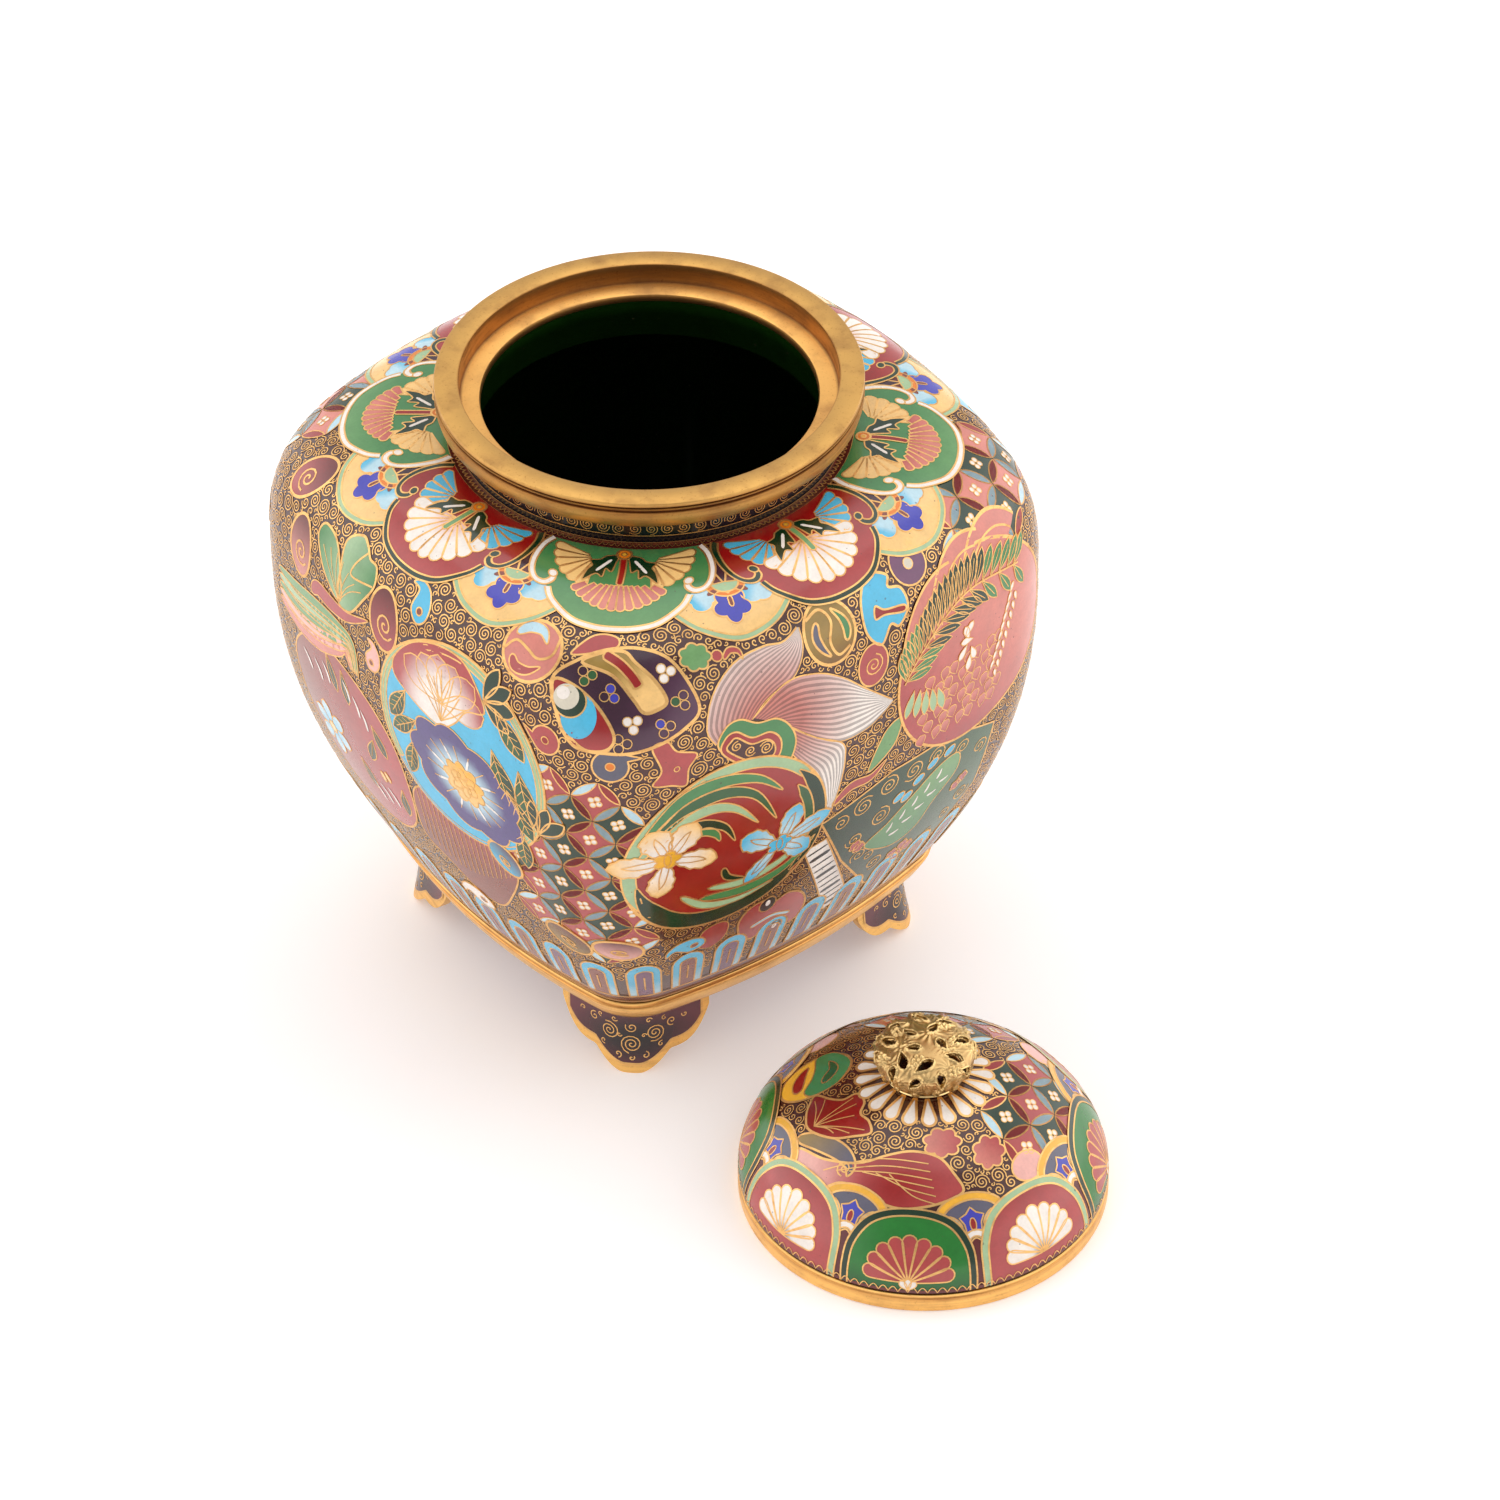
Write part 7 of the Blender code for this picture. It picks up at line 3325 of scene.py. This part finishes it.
class LidRing(LappetRing):
    """The ring that stands on the lid's rim."""

    ARCH = [(-8.7, -32.6), (-8.6, -29.6), (-7.9, -26.4), (-5.9, -23.4), (-3.2, -21.8), (0.0, -21.3)]
    SMALL = [(-5.2, -26.6), (-4.9, -23.4), (-3.3, -20.8), (0.0, -19.7)]
    SCALLOPS = 30

    def large(self, around: float, green: bool) -> None:
        """Draw one large lappet: green on the corners, red on the sides.

        Args:
            around: The angle round the axis, in degrees.
            green: Whether it is a green one.
        """
        brush = Brush(self.cells, self.surface.fan(around), level=6.4)
        if green:
            border, field = Hue.DARK_GREEN, Fade(Hue.DARK_GREEN, Hue.LID_GREEN, (0, 1), 33.5, 4)
            folds, foot, step = Fade(Hue.RED, Hue.ROSE, (0, 1), -0.4, 3), -30.75, 19.5
            length, waning, width = 6.5, 0.004, 2.0
        else:
            border, field = Hue.PALE_GREEN, Fade(Hue.RED, Hue.ROSE, (0, -1), -21, 4)
            folds, foot, step = Fade(Hue.GREY, Hue.WHITE, (0, 1), -0.6, 1.4), -30.4, 19
            length, waning, width = 6.7, 0.012, 1.95
        arch = mirrored(self.ARCH)
        brush.fill(smooth(arch, False, 5), field)
        border_band(brush.raised(), arch, border, 0.95)
        for k in range(-4, 5):
            leaf = drop_petal(length - waning * abs(step * k), width)
            brush.at(0, foot, step * k, up=2.2).cell(leaf, folds, FINE)
        for k in (-1, 0, 1) if green else ():
            brush.at(0.0, -31.9, -38 * k, up=3.6).cell(petal(1.7, 0.9, 1.0, 8), Hue.WHITE, 0.14)

    def small(self, around: float) -> None:
        """Draw one small gold-bordered lappet between two large ones.

        Args:
            around: The angle round the axis, in degrees.
        """
        brush = Brush(self.cells, self.surface.fan(around), level=3.4)
        shape = mirrored([(-4.6, -32.4), (-4.9, -27.0), *self.SMALL[1:]])
        brush.fill(smooth(shape, False, 5), Hue.GREY)
        border_band(brush.raised(0.7), mirrored(self.SMALL), Hue.YELLOW, 0.95)
        top = brush.raised(1.0)
        drop = [
            (-1.0, -33.0), (-1.0, -29.0), (-1.2, -26.6), (0.0, -25.2), (1.2, -26.6), (1.0, -29.0),
            (1.0, -33.0)
        ]
        top.cell(smooth(drop, False, 5), Hue.MAROON, FINE)
        for side in (1, -1):
            top.at(side * 2.4, -23.0, side * -42).cell(ellipse(0.62, 1.25, 14), Hue.PALE_BLUE, FINE)
            top.at(side * 2.5, -25.4, side * 20).cell(ellipse(0.5, 0.8, 12), Hue.PALE_BLUE, FINE)
        star = np.array(
            [turned(np.array([[0.0, 1.75 if k % 2 == 0 else 1.2]]), 36.0 * k)[0] for k in range(10)]
        )
        top.at(0, -22.9, up=0.7).cell(star, Hue.BLUE, FINE)
        top.at(0, -23.4, up=1).cell(ellipse(0.42, 0.85, 12), Hue.RED, THIN)
        bow = np.concatenate([arc(1.75, 0, 180, 14), arc(0.95, 180, 0, 10)])
        top.at(0, -25.9, up=1).cell(bow, Hue.WHITE, FINE)

    def foot(self) -> None:
        """Draw a quarter of the maroon band and its scallops above the rim."""
        brush = Brush(self.cells, self.surface.fan(FRONT_CORNER), level=7.4)
        for swing, down, width in ((0.0, 32.75, FINE), (-0.8, 32.3, 0.14)):
            brush.raised().line(self.surface.quarter(down, self.SCALLOPS * 8, swing, self.SCALLOPS), width)
        edge = np.linspace(-19.6, 19.6, 50)
        band = np.concatenate(
            [np.stack([edge, np.full(50, -33.0)], 1), np.stack([edge[::-1], np.full(50, -31.9)], 1)]
        )
        brush.fill(band, Hue.NECK_RED)

    def draw(self) -> None:
        """Draw a quarter of the ring and of its foot."""
        super().draw()
        self.foot()


class LidMotifs:
    """The free motifs of the lid, each drawn by a brush at its own middle."""

    @staticmethod
    def two_commas(b: Brush) -> None:
        """Oval of a green and a yellow comma."""
        whole = b.at(0, 0, 18)
        whole.cell(ellipse(4.1, 5.4), Hue.YELLOW, 0.36)
        green = smooth(
            [
                (-4.0, 0.6), (-3.6, 3.2), (0.0, 5.3), (3.4, 3.2), (4.0, -0.4), (2.6, -1.8), (0.6, -0.4),
                (-1.4, 0.2)
            ]
        )
        whole.raised().cell(green, Hue.GREEN, FINE)
        whole.raised(2).cell(blade([(2.4, 1.0), (0.4, 2.8), (-1.8, 2.4)], 1.4), Hue.MOSS, FINE)
        whole.raised(2).cell(blade([(2.0, -2.8), (-0.6, -2.2), (-2.6, -0.8)], 1.8), Hue.RED, FINE)

    @staticmethod
    def red_leaf(b: Brush) -> None:
        """Deep-red lobed leaf with gold veins from its foot."""
        points = [
            (-5.6, -1.8), (-6.2, -0.4), (-4.0, 0.7), (-2.4, 2.0), (-1.9, 3.9), (0.0, 4.0), (1.3, 2.6),
            (3.0, 2.8), (4.7, 2.0), (3.6, 0.0), (1.6, -2.4), (-2.0, -4.0), (-4.2, -3.2)
        ]
        b.cell(smooth(points), Fade(Hue.RED, Hue.MAROON, (-1, 0), 2, 12), BOLD)
        for tip in (
            (-5.4, -1.0), (-4.4, 0.2), (-1.6, 3.2), (-0.4, 3.0), (1.0, 1.8), (3.8, 1.6), (2.8, -0.2),
            (1.2, -1.8)
        ):
            b.raised().line(
                smooth([(-1.9, -3.2), (tip[0] * 0.55 - 0.8, tip[1] * 0.5 - 1.2), tip], False), 0.15
            )

    @staticmethod
    def plume(b: Brush) -> None:
        """Long plume that swells from pale pink to rose."""
        upper = [
            (-13.4, 1.6), (-9.2, 0.5), (-4.4, 0.7), (-0.7, 2.6), (2.3, 3.8), (5.7, 3.8), (8.1, 2.2),
            (9.8, 0.4)
        ]
        lower = [
            (8.3, -1.4), (6.0, -2.9), (3.0, -4.0), (0.3, -4.0), (-2.8, -2.7), (-6.2, -2.3), (-9.4, -3.4),
            (-13.4, -0.8)
        ]

        def flush(points: Points) -> Points:
            """Return the colours at the plume's points.

            Args:
                points: The plume's own points.

            Returns:
                One linear colour a point.
            """
            pale = Fade(Hue.PALE_PINK, Hue.ROSE, (1, 0), 11, 8)(points)
            deep = Glow(Hue.RED, Hue.ROSE, (1, -1), (6, 6), 0.2, 1)(points)
            share = np.clip((points[:, :1] + 8) / 6, 0, 1)
            return pale * (1 - share) + deep * share

        b.cell(smooth(upper + lower), flush, BOLD)
        for k in range(6):
            start, end = (-9.0 + 1.8 * k, -1.0 + 0.2 * k), (4.6 + 0.5 * k, 2.6 - 1.0 * k)
            middle = ((start[0] + end[0]) / 2, (start[1] + end[1]) / 2 + 0.9 - 0.35 * k)
            b.raised().line(smooth([start, middle, end], False), THIN)

    @staticmethod
    def grey_wave(b: Brush) -> None:
        """Grey wave that ends in a curl."""
        b.cell(
            blade([(-6.6, -1.6), (-3.4, -0.4), (0.4, 0.2), (2.8, -0.4), (3.4, -1.8)], 2.4),
            Fade(Hue.OLIVE, Hue.GREY, (1, 0), 6, 8), 0.3
        )
        b.at(2.4, -1.2, up=1).line(spiral(1.1, 1.8), FINE)

    @staticmethod
    def pink_star(b: Brush) -> None:
        """Pink patch with small points."""
        b.cell(lobed(2.35, 7, 0.12, 42, 0.84), Fade(Hue.PINK, Hue.ROSE, (1, 0), 2, 4), 0.26)


def lid_settings() -> list[Setting]:
    """Return the lid's motifs that the photo shows, from the lowest layer up.

    Returns:
        The settings.
    """
    patch = smooth(
        [(-5.4, 5.6), (-1.0, 5.8), (8.0, 3.2), (11.0, -2.5), (1.0, -7.5), (-8.0, -5.0), (-7.0, 1.0)]
    )
    rows = [
        (Shippo(5.0, -36).draw, -50.2, 15.0, 8.6, 0, 0.0, (patch,)),
        (LidMotifs.two_commas, 128.0, 15.6, 5.4),
        (LidMotifs.plume, -147.0, 16.7, 8.6),
        (LidMotifs.grey_wave, -176.4, 16.7, 3.4),
        (LidMotifs.red_leaf, 169.9, 13.3, 4.6, 0, 2.0),
        (LidMotifs.pink_star, -118.6, 11.9, 2.6),
        (LidMotifs.pink_star, -94.2, 15.0, 2.6, 30),
        (Brush.cell, -81.1, 19.2, 2.6, 0, 2.7, (ellipse(2.6, 1.9, 24), Hue.PALE_PINK)),
    ]
    return [Setting(*row) for row in rows]


def foot_panel(foot: BracketFoot, cells: Cells) -> None:
    """Draw a foot's aubergine panel with its spirals.

    Args:
        foot: The foot.
        cells: Where the panel is gathered.
    """
    edge = 1.25
    runs = np.linspace(-foot.reach + edge, foot.reach - edge, 70)
    low = [(run, foot.edge(run) + edge * 1.15) for run in runs]
    high = [(run, foot.height - edge * 0.8) for run in runs[::-1]]
    outline = np.array([*low, *high])
    brush = Brush(cells, foot, level=1.0)
    glow = Glow(Hue.BLACK, Hue.AUBERGINE, (0.0, 5.4), (9.5, 4.4), 0.0, 1 / 0.9, 2.0)
    brush.cell(outline, glow, 0.3)
    spots = (
        (-3.2, 6.3, 1.45, 1), (3.2, 6.3, 1.45, -1), (0.0, 4.6, 1.55, 1), (0.0, 7.4, 0.9, -1),
        (-5.7, 7.5, 0.8, -1), (5.7, 7.5, 0.8, 1), (-1.9, 2.8, 0.6, -1), (1.9, 2.8, 0.6, 1),
        (-2.4, 8.5, 0.5, 1), (2.4, 8.5, 0.5, -1), (-4.6, 8.4, 0.45, 1), (4.6, 8.4, 0.45, -1),
        (-7.7, 7.9, 0.5, 1), (7.7, 7.9, 0.5, -1), (-4.1, 4.2, 0.5, 1), (4.1, 4.2, 0.5, -1),
        (0.0, 2.4, 0.45, 1), (-1.7, 6.0, 0.4, 1), (1.7, 6.0, 0.4, -1)
    )
    for x, y, radius, hand in spots:
        brush.at(x, y, 25 * x, up=1).line(spiral(radius, max(1.1, radius * 1.75), hand), THIN)


@dataclass
class Studio:
    """The pale floor, the soft lights and the camera.

    Args:
        jar: The foot of the jar's axis, in millimetres.
    """

    jar: Vector
    lens: float = 144.0
    place: tuple[float, float, float] = (12.8, -642.5, 558.6)
    heading: float = math.radians(-38.64)
    pitch: float = 0.6901
    roll: float = -0.0104

    def camera(self) -> None:
        """Set the camera where the photo was taken from."""
        spin = Matrix.Rotation(self.heading, 3, "Z")
        forward = Vector((0.0, math.cos(self.pitch), -math.sin(self.pitch)))
        right = Vector((1.0, 0.0, 0.0))
        up = right.cross(forward)
        level = math.cos(self.roll) * right + math.sin(self.roll) * up
        upright = -math.sin(self.roll) * right + math.cos(self.roll) * up
        turn = Matrix((level, upright, -forward)).transposed()
        lens = bpy.data.cameras.new("camera")
        lens.lens = self.lens
        lens.sensor_width = 36.0
        lens.clip_start = 0.05
        lens.clip_end = 20.0
        camera = bpy.data.objects.new("camera", lens)
        bpy.context.scene.collection.objects.link(camera)
        place = spin @ (Vector(self.place) * MM) + self.jar * MM
        camera.matrix_world = Matrix.Translation(place) @ (spin @ turn).to_4x4()
        bpy.context.scene.camera = camera

    def light(self, name: str, place: tuple[float, float, float], size: float, power: float) -> None:
        """Hang a square soft light that faces the jar.

        Args:
            name: Its name.
            place: Where it hangs, in metres, in the camera's own heading.
            size: The length of its side, in metres.
            power: Its power, in watts.
        """
        panel = bpy.data.lights.new(name, "AREA")
        panel.size = size
        panel.energy = power
        lamp = bpy.data.objects.new(name, panel)
        bpy.context.scene.collection.objects.link(lamp)
        spot = Matrix.Rotation(self.heading, 3, "Z") @ Vector(place)
        lamp.location = spot
        lamp.rotation_mode = "QUATERNION"
        lamp.rotation_quaternion = (Vector((0, 0, 0.04)) - spot).to_track_quat("-Z", "Y")

    def build(self, palette: Palette) -> None:
        """Lay the floor, hang the lights and set the camera.

        Args:
            palette: The materials.
        """
        floor = make_piece(
            "floor", np.array([(-4, -4, 0), (4, -4, 0), (4, 4, 0), (-4, 4, 0)]) * 1.0, [(0, 1, 2, 3)],
            palette.floor
        )
        world = bpy.data.worlds.new("studio")
        world.use_nodes = True
        graph = Graph(world.node_tree)
        world.node_tree.nodes.clear()
        way = graph.node("ShaderNodeTexCoord").outputs["Generated"]
        led = graph.node(
            "ShaderNodeMapping", {"Vector": way, "Rotation": (0.0, 0.0, -self.heading)}
        ).outputs[0]
        parts = graph.node("ShaderNodeSeparateXYZ", {0: led})
        sides = graph.ramp(graph.math("ABSOLUTE", parts.outputs[0]), [(0.3, 0.0), (0.95, 1.3)])
        beyond = graph.ramp(graph.math("MULTIPLY_ADD", parts.outputs[1], 0.5, 0.5), [(0.35, 0.0), (0.8, 0.3)])
        strength = graph.math("ADD", graph.math("ADD", sides, beyond), 0.5)
        back = graph.node("ShaderNodeBackground", {"Color": (1.0, 0.985, 0.975, 1.0), "Strength": strength})
        graph.node("ShaderNodeOutputWorld", {0: back.outputs[0]})
        bpy.context.scene.world = world
        self.light("ceiling", (0.0, 0.35, 1.3), 1.5, 7.0)
        bpy.context.scene.view_settings.view_transform = "Standard"
        self.camera()


def attach(piece: bpy.types.Object, slot: str, *nodes: str) -> None:
    """Hand a finished piece to the frame, and report it.

    Args:
        piece: The piece.
        slot: The record's material slot that it stands for; not used.
        nodes: The CAD nodes that it takes the place of.
    """
    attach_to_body(piece, BODY)
    if nodes:
        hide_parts(*nodes)
    piece.data.calc_loop_triangles()
    LOG.info(
        "%s: %d triangles, for %s", piece.name, len(piece.data.loop_triangles),
        ", ".join(nodes) or "dressing"
    )


def dress_body(body: JarBody, palette: Palette, ring: Ring) -> None:
    """Lay the enamel cells, the wires and the scroll ground on the jar's body.

    Args:
        body: The jar's body.
        palette: The materials.
        ring: The tree that sets copies round an axis.
    """
    surface = body.surface()
    around = Cells(Vector((0.0, 0.0, 0.0)))
    neck = NeckBand(surface, around)
    neck.draw()
    ShoulderRing(surface, around).draw()
    LowerBorder(surface, around, body.bottom).draw()
    free = Cells(body.axis)
    Scatter(surface, free, body_settings()).draw()
    attach(ring.repeat(around.enamel("jar_ring_cells", palette.enamel), 4, body.axis), "enamel")
    attach(ring.repeat(around.wires("jar_ring_wires", palette.wire), 4, body.axis), "gilt")
    attach(free.enamel("jar_cells", palette.enamel), "enamel")
    attach(free.wires("jar_wires", palette.wire), "gilt")
    scrolls = Scrolls(surface, around.copies(4) + free.copies(1), palette.wire, 1.8, 80.0)
    placed = scrolls.pack()
    facing = np.array([math.cos(math.radians(-128.0)), math.sin(math.radians(-128.0)), 0.0])
    front = [one for one in placed if one[0] @ facing > 0]
    back = [one for one in placed if one[0] @ facing <= 0]
    attach(scrolls.build("jar_scrolls_front", front), "gilt")
    attach(scrolls.build("jar_scrolls_back", back + neck.spirals()), "gilt")


def dress_lid(lid: Lid, palette: Palette, ring: Ring) -> None:
    """Lay the enamel cells, the wires, the flower and the scroll ground on the lid.

    Args:
        lid: The lid.
        palette: The materials.
        ring: The tree that sets copies round an axis.
    """
    surface = lid.surface()
    around = Cells(Vector((0.0, 0.0, 0.0)))
    LidRing(surface, around).draw()
    bloom = Cells(Vector((0.0, 0.0, 0.0)))
    brush = Brush(bloom, surface.fan(-90.0), level=3.0, middle=(0.0, -4.6), spin=180.0)
    brush.cell(drop_petal(4.8, 1.85, 11), Fade(Hue.GREY, Hue.WHITE, (0, 1)), 0.36)
    free = Cells(lid.axis)
    Scatter(surface, free, lid_settings()).draw()
    attach(ring.repeat(around.enamel("lid_ring_cells", palette.enamel), 4, lid.axis), "enamel")
    attach(ring.repeat(around.wires("lid_ring_wires", palette.wire), 4, lid.axis), "gilt")
    obstacles = around.copies(4) + bloom.copies(20) + free.copies(1)
    attach(ring.repeat(bloom.enamel("lid_flower", palette.enamel), 20, lid.axis), "enamel")
    attach(ring.repeat(bloom.wires("lid_flower_wires", palette.wire), 20, lid.axis), "gilt")
    attach(free.enamel("lid_cells", palette.enamel), "enamel")
    attach(free.wires("lid_wires", palette.wire), "gilt")
    scrolls = Scrolls(surface, obstacles, palette.wire, 8.6, 32.0)
    attach(scrolls.build("lid_scrolls", scrolls.pack()), "gilt")


def main() -> None:
    """Build the looks in order."""
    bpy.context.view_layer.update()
    palette = Palette()
    lathe = Lathe()
    ring = Ring()

    jar_axis = axis_of("jar_body")
    body = JarBody(jar_axis, *span("jar_body"))
    attach(body.build(lathe, palette), "enamel", "jar_body")
    dress_body(body, palette, ring)

    collar = Collar(jar_axis, *span("collar_ring"))
    attach(collar.build(lathe, palette), "gilt", "collar_ring")
    band = BaseBand(jar_axis, *span("base_band"))
    attach(band.build(lathe, palette), "gilt", "base_band")

    corners = {
        "foot_front_left": -135.0, "foot_front_right": -45.0, "foot_back_right": 45.0,
        "foot_back_left": 135.0
    }
    for node, turn in corners.items():
        foot = BracketFoot(jar_axis, turn, span(node)[2])
        attach(foot.build(palette), "foot_enamel", node)
        cells = Cells(jar_axis)
        foot_panel(foot, cells)
        attach(cells.enamel(f"{node}_panel", palette.enamel), "foot_enamel")
        attach(cells.wires(f"{node}_wires", palette.wire), "gilt")

    lid_axis = axis_of("lid_rim")
    lid = Lid(lid_axis, span("lid_rim")[0])
    dome, rim = lid.build(lathe, palette)
    attach(dome, "enamel", "lid_dome")
    attach(rim, "gilt", "lid_rim")
    dress_lid(lid, palette, ring)

    knob = Knob(lid_axis, *span("lid_knob"))
    attach(knob.build(palette), "gilt", "lid_knob")
    attach(knob.flange(lathe, palette), "gilt", "lid_knob")

    Studio(jar_axis).build(palette)


if __name__ == "__main__":
    logging.basicConfig(level=logging.INFO, format="%(name)s: %(message)s")
    main()
